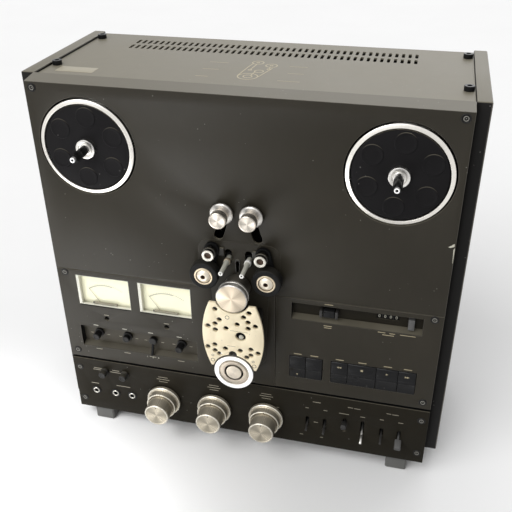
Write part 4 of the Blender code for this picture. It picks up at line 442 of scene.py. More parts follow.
def new_group(name, kind, sockets):
    """An empty node group and its inputs; each socket is a name, a way, and a kind or a default value."""
    tree = bpy.data.node_groups.new(name, kind)
    for label, way, value in sockets:
        named = isinstance(value, str)
        socket_type = f"NodeSocket{value}" if named else SOCKET_KINDS[type(value)]
        socket = tree.interface.new_socket(name=label, in_out=way, socket_type=socket_type)
        if not named:
            socket.default_value = value
    return tree, tree.nodes.new("NodeGroupInput").outputs


def shader_group(name, inputs, outputs):
    sockets = [(label, "INPUT", value) for label, value in inputs.items()]
    return new_group(name, "ShaderNodeTree", sockets + [(label, "OUTPUT", "Float") for label in outputs])


def paint_grain():
    """Fine speckle, slow cloudiness, sparse dust, a lighter tone on what faces up that is part dust and part painted
    sheen, and smears of a painted sheet.
    """
    if "paint_grain" in bpy.data.node_groups:
        return bpy.data.node_groups["paint_grain"]
    inputs = {"Coordinates": (0.0, 0.0, 0.0), "Grain Scale": 2500.0, "Cloud Scale": 9.0, "Dust": 0.5, "Settled": 0.0}
    tree, given = shader_group("paint_grain", inputs, ("Grain", "Cloud", "Dust", "Settled", "Smear"))
    place = {"Vector": given["Coordinates"]}
    grain = add_node(tree, "ShaderNodeTexNoise", {**place, "Scale": given["Grain Scale"]})
    cloud = add_node(tree, "ShaderNodeTexNoise", {**place, "Scale": given["Cloud Scale"], "Detail": 4.0})
    specks = add_node(tree, "ShaderNodeTexVoronoi", {**place, "Scale": 140.0})
    patches = add_node(tree, "ShaderNodeTexNoise", {**place, "Scale": 22.0})
    near = math_node(tree, "LESS_THAN", specks, 0.075)
    gate = math_node(tree, "GREATER_THAN", patches, 0.56)
    dust = math_node(tree, "MULTIPLY", math_node(tree, "MULTIPLY", near, gate), given["Dust"])
    normal = add_node(tree, "ShaderNodeSeparateXYZ", {0: add_node(tree, "ShaderNodeTexCoord").outputs["Normal"]})
    # What faces up turns lighter: part dust lying on it, part a painted sheen of light from above
    upward = math_node(tree, "MULTIPLY_ADD", normal.outputs["Z"], 2.2, -0.8, clamp=True)
    uneven = math_node(tree, "MULTIPLY_ADD", patches, 1.2, 0.4)
    dust_and_sheen = math_node(tree, "MULTIPLY", math_node(tree, "MULTIPLY", upward, uneven), given["Settled"], clamp=True)
    stretch = add_node(tree, "ShaderNodeMapping", {**place, "Scale": (1.0, 1.0, 0.35)})
    smear = noise_node(tree, stretch, 75.0, 5.0, 0.65)
    outputs = {"Grain": grain, "Cloud": cloud, "Dust": dust, "Settled": dust_and_sheen, "Smear": smear}
    add_node(tree, "NodeGroupOutput", outputs)
    return tree


def turned_face():
    """Broad light and dark sectors that are painted highlights, fine radial streaks and fine rings, from a turned
    piece's UV map.
    """
    if "turned_face" in bpy.data.node_groups:
        return bpy.data.node_groups["turned_face"]
    inputs = {"Turned": (0.0, 0.0, 0.0), "Sectors": 2.0, "Phase": 0.0, "Ring Pitch": 0.0006}
    tree, given = shader_group("turned_face", inputs, ("Shade", "Rings"))
    parts = add_node(tree, "ShaderNodeSeparateXYZ", {0: given["Turned"]})
    angle = math_node(tree, "MULTIPLY", parts.outputs["X"], math.tau)
    lobes = math_node(tree, "MULTIPLY", angle, given["Sectors"])
    wave = math_node(tree, "COSINE", math_node(tree, "ADD", lobes, given["Phase"]))
    round_x = math_node(tree, "MULTIPLY", math_node(tree, "COSINE", angle), 7.0)
    round_y = math_node(tree, "MULTIPLY", math_node(tree, "SINE", angle), 7.0)
    spot = add_node(tree, "ShaderNodeCombineXYZ", {0: round_x, 1: round_y})
    # The broad sectors are painted highlights, fixed on the piece
    broad = math_node(tree, "MULTIPLY_ADD", wave, 0.22, 0.5)
    fine = math_node(tree, "MULTIPLY_ADD", noise_node(tree, spot, 3.0, 5.0, 0.7), 0.7, -0.35)
    shade = math_node(tree, "ADD", broad, fine, clamp=True)
    turns = math_node(tree, "DIVIDE", parts.outputs["Y"], given["Ring Pitch"])
    rings = math_node(tree, "SINE", math_node(tree, "MULTIPLY", turns, math.tau))
    add_node(tree, "NodeGroupOutput", {"Shade": shade, "Rings": rings})
    return tree


# Finishes


def new_material(name, **values):
    material = bpy.data.materials.new(name)
    material.use_nodes = True
    tree = material.node_tree
    shader = tree.nodes["Principled BSDF"]
    feed(tree, shader, {key.replace("_", " "): value for key, value in values.items()})
    return material, tree, shader


def add_bump(tree, shader, height, strength, distance):
    bump = add_node(tree, "ShaderNodeBump", {"Height": height, "Strength": strength, "Distance": distance})
    feed(tree, shader, {"Normal": bump})


# The tone that what faces up turns to: part dust, part painted sheen
UPWARD_DUST_AND_SHEEN = (0.150, 0.136, 0.102)
LOOSE_DUST = (0.30, 0.29, 0.27)


def painted(
    name, colour, roughness, cloudiness=0.10, dust=0.35, shine=0.5, dust_and_sheen=0.0, grain_scale=2500.0, bump=0.05
):
    """A painted or moulded finish: slow cloudiness, smears, fine grain, and on what faces up a lighter tone that is
    part dust and part painted sheen.
    """
    material, tree, shader = new_material(name, Metallic=0.0, Specular_IOR_Level=shine)
    inputs = {"Coordinates": add_node(tree, "ShaderNodeTexCoord").outputs["Object"]}
    inputs.update({"Grain Scale": grain_scale, "Dust": dust, "Settled": dust_and_sheen})
    grain = add_node(tree, "ShaderNodeGroup", inputs, node_tree=paint_grain()).outputs
    dark = [c * (1 - cloudiness) for c in colour]
    light = [min(1.0, c * (1 + cloudiness * 1.6) + 0.002) for c in colour]
    base = mix_colours(tree, grain["Cloud"], dark, light)
    smear = math_node(tree, "MULTIPLY", grain["Smear"], cloudiness)
    smeared = mix_colours(tree, smear, base, [c * 2.2 + 0.004 for c in colour])
    # What faces up is mixed towards a lighter tone: dust and painted sheen
    under = mix_colours(tree, grain["Settled"], smeared, UPWARD_DUST_AND_SHEEN)
    dusty = mix_colours(tree, grain["Dust"], under, LOOSE_DUST)
    uneven = math_node(tree, "MULTIPLY_ADD", grain["Cloud"], 0.16, roughness - 0.08)
    feed(tree, shader, {"Base Color": dusty, "Roughness": uneven})
    add_bump(tree, shader, grain["Grain"], bump, 0.0002)
    return material


def turned_metal(
    name, colour, roughness, sectors=2.0, phase=0.0, contrast=0.45, metallic=1.0, pitch=0.0006, bump=0.12
):
    """Metal turned on a lathe: painted highlight sectors, streaks and fine rings. Worn metal scatters: it is less
    metallic.
    """
    material, tree, shader = new_material(name, Metallic=metallic)
    inputs = {"Turned": add_node(tree, "ShaderNodeUVMap", uv_map="turned")}
    inputs.update({"Sectors": sectors, "Phase": phase, "Ring Pitch": pitch})
    face = add_node(tree, "ShaderNodeGroup", inputs, node_tree=turned_face()).outputs
    dark, light = [c * (1 - contrast) for c in colour], [min(1.0, c * 1.12) for c in colour]
    uneven = math_node(tree, "MULTIPLY_ADD", face["Shade"], -0.12, roughness + 0.06)
    feed(tree, shader, {"Base Color": mix_colours(tree, face["Shade"], dark, light), "Roughness": uneven})
    add_bump(tree, shader, face["Rings"], bump, 0.00002)
    return material


def brushed_metal(name, colour, roughness):
    """Sheet or bar metal with fine lines across its height."""
    material, tree, shader = new_material(name, Roughness=roughness, Metallic=1.0)
    coordinates = add_node(tree, "ShaderNodeTexCoord").outputs["Object"]
    mapping = add_node(tree, "ShaderNodeMapping", {"Vector": coordinates, "Scale": (1.0, 1.0, 40.0)})
    lines = noise_node(tree, mapping, 120.0, 4.0, 0.7)
    stains = math_node(tree, "MULTIPLY", noise_node(tree, coordinates, 60.0), 0.25)
    base = mix_colours(tree, lines, [c * 0.72 for c in colour], colour)
    feed(tree, shader, {"Base Color": mix_colours(tree, stains, base, [c * 0.55 for c in colour])})
    add_bump(tree, shader, lines, 0.08, 0.0001)
    return material


def printed(name, colour):
    """Screen print: flat ink, a little thin in places."""
    material, tree, shader = new_material(name, Roughness=0.55, Metallic=0.0)
    thin = noise_node(tree, add_node(tree, "ShaderNodeTexCoord").outputs["Object"], 900.0)
    feed(tree, shader, {"Base Color": mix_colours(tree, thin, [c * 0.75 for c in colour], colour)})
    return material


# Each finish: a colour, or one of the chosen colours and a share of it, then its maker's other values in their order
# The last value of a paint, where it is given, lightens what faces up: part dust, part painted sheen
PAINTS = {
    "panel_paint": (("panel", 1), 0.46, 0.22, 0.5, 0.20, 0.7),
    # Rim paint of the panels: part wear, part painted highlight of lit edges
    "worn_panel": ((0.042, 0.038, 0.030), 0.45, 0.8, 1.0, 0.2, 0.30),
    "slope_paint": (("panel", 1), 0.5, 1.2, 1.0, 0.2, 0.34),
    # Amplifier panel and right recess: the panel colour darkened as painted shade, where the panel would mirror a dark
    # ground
    "lower_paint": (("panel", 0.66), 0.46, 0.25, 0.6, 0.06, 0.6),
    # Recess floors: the panel colour made nearly twice as light to lift the shade in the recess, painted light
    "recess_paint": (("panel", 1.9), 0.5, 0.1, 0.6, 0.2),
    # Top cover: the case colour, which stands for the dark paint with a painted sheen
    "case_paint": (("case", 1), 0.50, 0.12, 0.5, 0.30),
    # Bezel top wall: the case colour darkened a little, lighter than the panel as painted light from above
    "bezel_paint": (("case", 0.76), 0.46, 0.08, 0.5, 0.3),
    "side_paint": (("side", 1), 0.42, 0.15, 0.5, 0.15, 1.3),
    # Rim paint of the sides: part wear, part painted highlight of lit edges
    "worn_side": ((0.06, 0.055, 0.045), 0.45, 0.7, 1.0, 0.3, 1.3),
    "cream_cover": (("cream", 1), 0.36, 0.18, 0.7, 0.4, 0.0, 1100.0, 0.14),
    # Black for grooves, gaps, seams, hole bottoms and sheets behind openings: painted shade where shade falls
    "groove_black": ((0.003, 0.003, 0.003), 0.7, 0.2, 0.1, 0.05),
    "foot_rubber": ((0.105, 0.105, 0.10), 0.6, 0.25, 0.5, 0.2, 0.0, 900.0, 0.2),
    "mat_rubber": (("mat", 1), 0.55, 0.15, 0.5, 0.06, 0.8, 1500.0, 0.15),
    "tyre_rubber": ((0.007, 0.007, 0.007), 0.50, 0.2, 0.6, 0.10, 0.1, 1200.0, 0.12),
    "black_gloss": ((0.0075, 0.0075, 0.008), 0.28, 0.1, 0.4, 0.16, 0.0, 1500.0, 0.03),
    "black_satin": ((0.010, 0.0095, 0.009), 0.42, 0.15, 0.4, 0.18, 0.0, 1500.0, 0.08),
    "spindle_black": ((0.005, 0.005, 0.005), 0.4, 0.15, 0.4, 0.14, 0.0, 1500.0, 0.08),
    "knob_grey": ((0.011, 0.0107, 0.010), 0.4, 0.3, 0.6, 0.2, 0.3, 1500.0, 0.08),
    "lever_grey": ((0.080, 0.079, 0.077), 0.5, 0.2, 0.4, 0.3, 0.0, 1500.0, 0.08),
    "lever_dark": ((0.022, 0.021, 0.020), 0.4, 0.2, 0.4, 0.3, 0.0, 1500.0, 0.08),
    # Dark arms and plates; where they show through slots and openings, their darkness is painted shade
    "arm_dark": ((0.005, 0.005, 0.005), 0.5, 0.2, 0.4, 0.06),
    # Heads, posts and shield behind the head cover, darkened to painted shade seen through its holes
    "head_dark": ((0.010, 0.009, 0.008), 0.35, 0.2, 0.2, 0.2),
    "bracket_grey": ((0.045, 0.043, 0.039), 0.4, 0.2, 0.3, 0.3, 0.9),
    "guide_bore": ((0.050, 0.028, 0.016), 0.4, 0.2, 0.1, 0.2),
    "pin_plastic": ((0.44, 0.43, 0.37), 0.35, 0.12, 0.2, 0.4, 0.0, 1500.0, 0.03),
    "pin_tip": ((0.85, 0.84, 0.80), 0.35, 0.05, 0.1, 0.4),
    "ring_grey": ((0.17, 0.165, 0.145), 0.35, 0.12, 0.2, 0.4),
    "dial_face": (("dial", 1), 0.5, 0.03, 0.05, 0.3, 0.0, 1500.0, 0.01),
    "dial_frame": ((0.62, 0.61, 0.53), 0.35, 0.08, 0.2, 0.5, 0.0, 1500.0, 0.02),
    "shield_grey": ((0.22, 0.205, 0.155), 0.45, 0.2, 0.3, 0.3),
    "label_foil": ((0.30, 0.27, 0.20), 0.4, 0.06, 0.3, 0.3),
}
# Turned metals: colour, roughness, then sectors, phase and contrast of the painted highlight sectors, metallic, ring
# pitch and bump
TURNED_METALS = {
    "turned_bright": (("metal", 1), 0.28, 4.0, 0.9, 0.85, 0.7),
    "turned_dark": ((0.34, 0.31, 0.26), 0.32, 4.0, 0.2, 0.8, 0.8, 0.0012, 0.3),
    "turned_cap": ((0.62, 0.53, 0.41), 0.32, 4.0, 0.6, 0.62, 0.85),
    "turned_pink": ((0.56, 0.49, 0.40), 0.36, 2.0, 0.4, 0.4, 0.7, 0.0016, 0.5),
    "turned_rim": ((0.86, 0.83, 0.77), 0.28, 2.0, 0.9, 0.30),
    "turned_hub": ((0.84, 0.82, 0.78), 0.30, 2.0, 1.5, 0.45),
    "turned_boss": ((0.64, 0.57, 0.47), 0.34, 2.0, 0.8, 0.30, 0.7),
    "turned_neck": ((0.82, 0.74, 0.64), 0.32, 3.0, 0.0, 0.6, 0.45),
    "white_ring": ((0.97, 0.96, 0.94), 0.42, 2.0, 0.0, 0.06),
    "guide_ring": ((0.50, 0.48, 0.43), 0.40, 2.0, 0.6, 0.20),
    "guide_dark": ((0.075, 0.070, 0.065), 0.35, 2.0, 0.0, 0.3),
    "chrome": ((0.86, 0.79, 0.69), 0.22, 3.0, 0.3, 0.88, 0.8),
    "brass_hub": ((0.66, 0.56, 0.41), 0.34, 2.0, 1.0, 0.4, 0.7),
    "hub_cone": ((0.88, 0.80, 0.66), 0.34, 2.0, 2.2, 0.4, 0.5),
    "champagne": (("champagne", 1), 0.30, 3.0, 2.0, 0.80, 0.6),
    "champagne_rim": ((0.74, 0.70, 0.60), 0.28, 3.0, 2.0, 0.45, 0.7),
    "jack_ring": ((0.66, 0.64, 0.58), 0.28, 2.0, 2.6, 0.6),
}
BRUSHED_METALS = {
    "plated_steel": ((0.30, 0.29, 0.27), 0.36),
    "motor_case": ((0.50, 0.50, 0.49), 0.42),
    "bare_metal": ((0.78, 0.76, 0.72), 0.28),
}
INKS = {
    "dial_print": ((0.52, 0.50, 0.36),),
    "needle_paint": ((0.50, 0.47, 0.34),),
    "print_white": ((0.62, 0.60, 0.50),),
    "print_tan": ((0.44, 0.38, 0.25),),
    "print_grey": ((0.34, 0.31, 0.24),),
    "print_black": ((0.05, 0.04, 0.03),),
    "cover_line": ((0.42, 0.36, 0.24),),
}


def finish(name):
    """The named finish, made the first time it is asked for."""
    label = f"deck_{name}"
    if label in bpy.data.materials:
        return bpy.data.materials[label]
    makers = ((painted, PAINTS), (turned_metal, TURNED_METALS), (brushed_metal, BRUSHED_METALS), (printed, INKS))
    make, (colour, *values) = next((make, table[name]) for make, table in makers if name in table)
    if isinstance(colour[0], str):
        chosen, share = colour
        colour = [c * share for c in getattr(bpy.context.scene.deck_colours, chosen)]
    return make(label, colour, *values)


def dress_node(node, material):
    """Gives a CAD node that stays in view a detailed finish."""
    for slot in bpy.data.objects[node].material_slots:
        slot.material = finish(material)


# Geometry Nodes trees for what repeats


def geometry_tree(name, inputs, seeded=False):
    """An empty tree with named inputs; a seeded one also takes the seed's points, as its first input."""
    sockets = [("Geometry", "INPUT", "Geometry")] if seeded else []
    sockets += [(label, "INPUT", value) for label, value in inputs.items()]
    sockets += [("Finish", "INPUT", "Material"), ("Geometry", "OUTPUT", "Geometry")]
    return new_group(name, "GeometryNodeTree", sockets)


def end_tree(tree, given, shape):
    """Ends a tree with plain geometry in its finish."""
    real = add_node(tree, "GeometryNodeRealizeInstances", {0: shape})
    coloured = add_node(tree, "GeometryNodeSetMaterial", {"Geometry": real, "Material": given["Finish"]})
    add_node(tree, "NodeGroupOutput", {0: coloured})
    return tree


def grown(tree, values, points=()):
    """The plain mesh that a Geometry Nodes tree makes, as a bmesh; a modifier input is set by its identifier."""
    mesh = bpy.data.meshes.new("seed")
    mesh.from_pydata([tuple(point) for point in points], [], [])
    seed = add_object("seed", mesh)
    modifier = seed.modifiers.new("grow", "NODES")
    modifier.node_group = tree
    for item in tree.interface.items_tree:
        if item.in_out == "INPUT" and item.name in values:
            modifier[item.identifier] = values[item.name]
    shape = evaluated_shape(seed)
    for face in shape.faces:
        face.smooth, face.material_index = True, 0
    seed.modifiers.remove(modifier)
    bpy.data.objects.remove(seed)
    bpy.data.meshes.remove(mesh)
    bmesh.ops.recalc_face_normals(shape, faces=shape.faces[:])
    return shape


VENT_COLUMNS = 46
VENT_PITCH = 0.0070
VENT_LEFT = -0.1612
VENT_SIZE = (0.0034, 0.0150)
VENT_ROW_OUTS = (-0.1450, -0.1665)
COVER_SHEET = 0.0015


def vent_tree():
    """A sheet with rows of rounded slots: outer edge and slots as curves, filled, then given the sheet's depth."""
    inputs = {"Width": 0.4, "Depth": 0.17, "Columns": VENT_COLUMNS, "Column Pitch": VENT_PITCH, "Row Pitch": 0.015}
    inputs.update({"Slot Width": VENT_SIZE[0], "Slot Length": VENT_SIZE[1]})
    inputs.update({"First Slot": (0.0, 0.0, 0.0), "Thickness": COVER_SHEET})
    tree, given = geometry_tree("vent_sheet", inputs)
    steps = math_node(tree, "SUBTRACT", given["Columns"], 1.0)
    size = {"Size X": math_node(tree, "MULTIPLY", steps, given["Column Pitch"]), "Size Y": given["Row Pitch"]}
    count = {"Vertices X": given["Columns"], "Vertices Y": len(VENT_ROW_OUTS)}
    rows = add_node(tree, "GeometryNodeMeshGrid", {**size, **count})
    moved = add_node(tree, "GeometryNodeTransform", {"Geometry": rows, "Translation": given["First Slot"]})
    sides = {"Width": given["Slot Width"], "Height": given["Slot Length"]}
    slot = add_node(tree, "GeometryNodeCurvePrimitiveQuadrilateral", sides)
    corners = {"Curve": slot, "Radius": given["Slot Width"], "Count": 4, "Limit Radius": True}
    rounded = add_node(tree, "GeometryNodeFilletCurve", corners, mode="POLY")
    slots = add_node(tree, "GeometryNodeInstanceOnPoints", {"Points": moved, "Instance": rounded})
    real = add_node(tree, "GeometryNodeRealizeInstances", {0: slots})
    sides = {"Width": given["Width"], "Height": given["Depth"]}
    edge = add_node(tree, "GeometryNodeCurvePrimitiveQuadrilateral", sides)
    both = add_node(tree, "GeometryNodeJoinGeometry", {0: [edge, real]})
    filled = add_node(tree, "GeometryNodeFillCurve", {0: both})
    rise = {"Mesh": filled, "Offset Scale": given["Thickness"], "Individual": False}
    raised = add_node(tree, "GeometryNodeExtrudeMesh", rise)
    under = add_node(tree, "GeometryNodeFlipFaces", {0: filled})
    whole = add_node(tree, "GeometryNodeJoinGeometry", {0: [raised, under]})
    return end_tree(tree, given, add_node(tree, "GeometryNodeMergeByDistance", {0: whole, "Distance": 0.00001}))


def screw_tree():
    """The round rim of a socket screw, placed on every point of the seed."""
    tree, given = geometry_tree("socket_screws", {"Radius": 0.0022, "Bulge": 0.0006}, seeded=True)
    path = add_node(tree, "GeometryNodeCurvePrimitiveCircle", {"Radius": given["Radius"], "Resolution": 32})
    section = add_node(tree, "GeometryNodeCurvePrimitiveCircle", {"Radius": given["Bulge"], "Resolution": 10})
    rim = add_node(tree, "GeometryNodeCurveToMesh", {"Curve": path, "Profile Curve": section})
    rims = add_node(tree, "GeometryNodeInstanceOnPoints", {"Points": given["Geometry"], "Instance": rim})
    return end_tree(tree, given, rims)


SCALE_RADIUS = 0.0350
SCALE_SWEEP = math.radians(72)


def tick_tree():
    """Ticks along an arc: a line of points bent round a centre, each carrying a thin bar."""
    inputs = {"Count": 21, "Radius": SCALE_RADIUS, "Sweep": SCALE_SWEEP, "Length": 0.0018, "Width": 0.00025}
    tree, given = geometry_tree("scale_ticks", {**inputs, "Thickness": 0.0001})
    count = {"Count": given["Count"], "Offset": (0.001, 0.0, 0.0)}
    line = add_node(tree, "GeometryNodeMeshLine", count, mode="OFFSET")
    last = math_node(tree, "SUBTRACT", given["Count"], 1.0)
    share = math_node(tree, "DIVIDE", add_node(tree, "GeometryNodeInputIndex"), last)
    angle = math_node(tree, "MULTIPLY", math_node(tree, "SUBTRACT", share, 0.5), given["Sweep"])
    across, up = [
        math_node(tree, "MULTIPLY", math_node(tree, part, angle), given["Radius"]) for part in ("SINE", "COSINE")
    ]
    spot = add_node(tree, "ShaderNodeCombineXYZ", {0: across, 1: up})
    turn = add_node(tree, "ShaderNodeCombineXYZ", {2: math_node(tree, "MULTIPLY", angle, -1.0)})
    bent = add_node(tree, "GeometryNodeSetPosition", {"Geometry": line, "Position": spot})
    sides = dict(enumerate(given[side] for side in ("Width", "Length", "Thickness")))
    bar = add_node(tree, "GeometryNodeMeshCube", {"Size": add_node(tree, "ShaderNodeCombineXYZ", sides)})
    carried = {"Points": bent, "Instance": bar, "Rotation": turn}
    return end_tree(tree, given, add_node(tree, "GeometryNodeInstanceOnPoints", carried))


def rib_tree():
    """Ribs round a knob: a circle of points, each carrying a slim upright bar."""
    inputs = {"Count": 20, "Radius": 0.004, "Rib Width": 0.0006, "Length": 0.006}
    tree, given = geometry_tree("knob_ribs", inputs)
    ring = add_node(tree, "GeometryNodeMeshCircle", {"Vertices": given["Count"], "Radius": given["Radius"]})
    thick = math_node(tree, "MULTIPLY", given["Rib Width"], 0.5)
    rib = add_node(tree, "GeometryNodeMeshCylinder", {"Vertices": 8, "Radius": thick, "Depth": given["Length"]})
    ribs = add_node(tree, "GeometryNodeInstanceOnPoints", {"Points": ring, "Instance": rib})
    return end_tree(tree, given, ribs)


# Casing

# Sizes of the sheet metal, which the CAD's boxes don't tell apart
PLATE = 0.003
FLANGE = 0.0025
UPPER_SEAM = span("meter_panel")[3]
HALF = span("deck_panel")[1]
PANEL_BOTTOM, PANEL_TOP = span("deck_panel")[2], span("top_cover")[3] - 0.006
BEZEL_TOP = span("deck_panel")[3]
FLANGE_BACK = reach("deck_panel")[0]
CAPSTAN_Z = middle("capstan")[1]
ROLLER_Z = middle("reverse_roller")[1]

SIDE_CORNER = 0.0015
SIDE_EDGE = 0.0012
COVER_LIP = 0.010
COVER_GAP = 0.0014
BUMPER_PLACES = ((-0.208, -0.060), (-0.208, -0.172), (0.208, -0.060), (0.208, -0.172))
BUMPER_RADIUS = 0.005
BUMPER_HEIGHT = 0.0048
SEAM_NOTCH = (-0.0111, 0.0063, 0.0012)
BARE_LABEL = (-0.200, -0.159, -0.055, -0.038)


def side_panels():
    for word, _ in SIDES:
        node = f"{word}_side_panel"
        left, right, bottom, top = span(node)
        outline = fillet(rectangle(*reach(node), bottom, top), SIDE_CORNER, 4)
        side = plate("side_paint", outline, left, right, SIDE_EDGE, along_x, both=True)
        piece(f"{word}_side", "deck", [side], [node])


def upright_lathe(profile, x, out):
    """(radius, height) points turned about an upright axis."""
    shape = lathe(profile, (0, 0), SMALL_ROUND)
    return placed(shape, lambda a, b, c: upright(x + a, out - (c - BASE_Z), FACE_Y - b))


def top_cover():
    left, right, _, _ = span("top_cover")
    back, front = reach("top_cover")[0], FLANGE_BACK - COVER_GAP
    centre = (front + back) / 2
    columns_middle = VENT_LEFT + VENT_PITCH * (VENT_COLUMNS - 1) / 2 + VENT_SIZE[0] / 2
    values = {"Width": right - left, "Depth": front - back, "Columns": VENT_COLUMNS, "Column Pitch": VENT_PITCH}
    values.update({"Row Pitch": VENT_ROW_OUTS[0] - VENT_ROW_OUTS[1], "Thickness": COVER_SHEET})
    values.update({"Slot Width": VENT_SIZE[0], "Slot Length": VENT_SIZE[1], "Finish": finish("case_paint")})
    values["First Slot"] = (columns_middle, centre - sum(VENT_ROW_OUTS) / 2, 0.0)
    under = PANEL_TOP - COVER_SHEET
    sheet = placed(grown(vent_tree(), values), lambda x, y, z: upright(x, centre - y, under + z))
    lip = rectangle(back, back + COVER_SHEET, PANEL_TOP - COVER_LIP, under)
    gap = rectangle(left, right, front - COVER_GAP, FLANGE_BACK)
    notch_left, notch_right, notch_depth = SEAM_NOTCH
    notch = rectangle(notch_left, notch_right, FLANGE_BACK - COVER_GAP, FLANGE_BACK + notch_depth)
    parts = [
        (sheet, "case_paint"),
        plate("case_paint", lip, left, right, 0.0, along_x),
        # A black strip under the gap in front of the cover and a black notch mark: painted shade
        plate("groove_black", gap, PANEL_TOP - 0.004, PANEL_TOP - 0.003, 0.0, upright),
        printing("groove_black", notch, PANEL_TOP, FINE, upright),
    ]
    foot, dish = PANEL_TOP - COVER_SHEET / 2, PANEL_TOP + BUMPER_HEIGHT * 0.5
    wall, hollow = BUMPER_RADIUS, BUMPER_RADIUS * 0.45
    cap = [(0, foot), (wall, foot), (wall, PANEL_TOP + BUMPER_HEIGHT), (hollow, PANEL_TOP + BUMPER_HEIGHT)]
    cap += [(hollow, dish), (0, dish)]
    parts += [(upright_lathe(cap, *place), "black_gloss") for place in BUMPER_PLACES]
    piece("cover", "deck", parts, ["top_cover"])
    outline = fillet(rectangle(*BARE_LABEL), 0.0015)
    label = plate("label_foil", outline, PANEL_TOP - FINE, PANEL_TOP + FINE, FINE / 2, upright)
    piece("bare_label", "deck", [label])


def rear_and_bottom():
    dress_node("rear_panel", "side_paint")
    dress_node("bottom_plate", "foot_rubber")
    # The chassis is darkened to painted shade where it shows through the openings
    dress_node("chassis_plate", "arm_dark")
    for node in ("left_reel_motor", "right_reel_motor", "capstan_motor"):
        dress_node(node, "motor_case")


# Front panels

COLUMN = (-0.0300, 0.0394)
SEAM_LIP = 0.009
SEAM_EXTRA = 0.0007
DECK_SEAM_RISE = 0.0006
SLOT_RADIUS = 0.005
TENSION_PIVOT = (0.0853, 0.2986)
TENSION_ARM = 0.070
TENSION_SWING = math.radians(22.9)
REEL_OPENING = 0.0519
BASE_CORNER = 0.012
BASE_STEP = 0.210
BASE_WAIST = 0.0285


def tension_slot(side):
    """The curved slot along which a tension roller's pin swings."""
    pivot = (side * TENSION_PIVOT[0], TENSION_PIVOT[1])
    top = math.pi if side > 0 else 0
    bottom, half_turn = top + side * TENSION_SWING, side * math.pi
    outer = arc(pivot, TENSION_ARM + SLOT_RADIUS, top, bottom, 16)
    inner = arc(pivot, TENSION_ARM - SLOT_RADIUS, bottom, top, 16)
    low, high = [arc(pivot, TENSION_ARM, angle, angle, 1)[0] for angle in (bottom, top)]
    low_cap = arc(low, SLOT_RADIUS, bottom, bottom + half_turn, 16)[1:-1]
    high_cap = arc(high, SLOT_RADIUS, top + math.pi, top + math.pi + half_turn, 16)[1:-1]
    return outer + low_cap + inner + high_cap


def base_outline(grow):
    """The head base: wide shoulders round the pinch rollers and a narrow waist behind the heads."""
    _, right, low, top = span("head_base")
    shoulder, waist = right + grow - BASE_CORNER, BASE_WAIST + grow - BASE_CORNER
    step, low, top = BASE_STEP - grow + BASE_CORNER, low - grow + BASE_CORNER, top + grow - BASE_CORNER
    quarter = math.pi / 2
    half = []
    for x, z, start in ((waist, low, -quarter), (shoulder, step, -quarter), (shoulder, top, 0)):
        half += arc((x, z), BASE_CORNER, start, start + quarter, 8)
    return half + [(-x, z) for x, z in reversed(half)]


def side_flange(side, looks, bottom, top):
    outline = rectangle(*sorted((side * HALF, side * (HALF - FLANGE))), bottom, top)
    return plate(looks, outline, FLANGE_BACK, -PLATE + OVERLAP)


def seam_lip(left, right, z, up):
    """A black lip that closes the groove between two panels: a dark sheet standing for the shade in the seam, so
    painted shade.
    """
    return plate("groove_black", rectangle(left, right, min(z, z + up), max(z, z + up)), -SEAM_LIP, -PLATE * 0.4)


def front_plate(name, node, outlines, parts):
    """A front panel: its plate with openings, then its other parts."""
    edge = sizes().panel_edge
    # The amplifier panel takes a darker paint: painted shade where it would mirror a dark ground
    looks = "lower_paint" if node == "amplifier_panel" else "panel_paint"
    piece(name, "deck", [plate(looks, outlines, -PLATE, 0, edge), *parts], [node])


def deck_plate():
    edge = sizes().panel_edge
    seam = UPPER_SEAM + DECK_SEAM_RISE
    left, right = COLUMN
    outline = [(-HALF, seam), (left, seam), (left, PANEL_BOTTOM), (right, PANEL_BOTTOM)]
    outline += [(right, seam), (HALF, seam), (HALF, PANEL_TOP), (-HALF, PANEL_TOP)]
    holes = [circle(middle(f"{word}_reel_table"), REEL_OPENING, FULL_ROUND) for word, _ in SIDES]
    holes += [tension_slot(side) for _, side in SIDES] + [base_outline(FINE / 4)]
    wall = [(-edge * 0.2, PANEL_TOP - edge * 0.2), (FLANGE_BACK, BEZEL_TOP)]
    wall += [(FLANGE_BACK, BEZEL_TOP - FLANGE), (-PLATE + OVERLAP, PANEL_TOP - FLANGE)]
    # The bezel's top wall is painted lighter than the panel: painted light where it faces up
    parts = [plate("bezel_paint", wall, -HALF, HALF, FINE, along_x, both=True)]
    parts += [side_flange(side, "panel_paint", seam, PANEL_TOP) for _, side in SIDES]
    parts.append(seam_lip(*COLUMN, PANEL_BOTTOM, FLANGE))
    front_plate("deck_plate", "deck_panel", [outline] + holes, parts)


RECESS_DEPTH = 0.008
RECESS_SLOPE = 0.0032
TUB_WALL = 0.002
LEFT_RECESS = (-0.196, -0.052, 0.0993, 0.1285)
RIGHT_RECESS = (0.057, 0.194, 0.179, 0.200)


def recess(box, holes, floor_paint="recess_paint", slope_paint="slope_paint"):
    """Walls, floor and sloping lower wall of a recess behind an opening. The default floor paint is lightened to lift
    the shade in the recess: painted light.
    """
    left, right, bottom, _ = box
    inside, floor = rectangle(*box), -RECESS_DEPTH
    wedge = [(floor, bottom + RECESS_SLOPE), (floor, bottom - OVERLAP), (-FINE, bottom - OVERLAP), (-FINE * 3, bottom)]
    return [
        plate("black_satin", [roomy(box, TUB_WALL), inside], floor - TUB_WALL, -FINE),
        plate(floor_paint, [inside] + holes, floor - TUB_WALL * 0.9, floor),
        plate(slope_paint, wedge, left - OVERLAP, right + OVERLAP, 0.0, along_x),
    ]


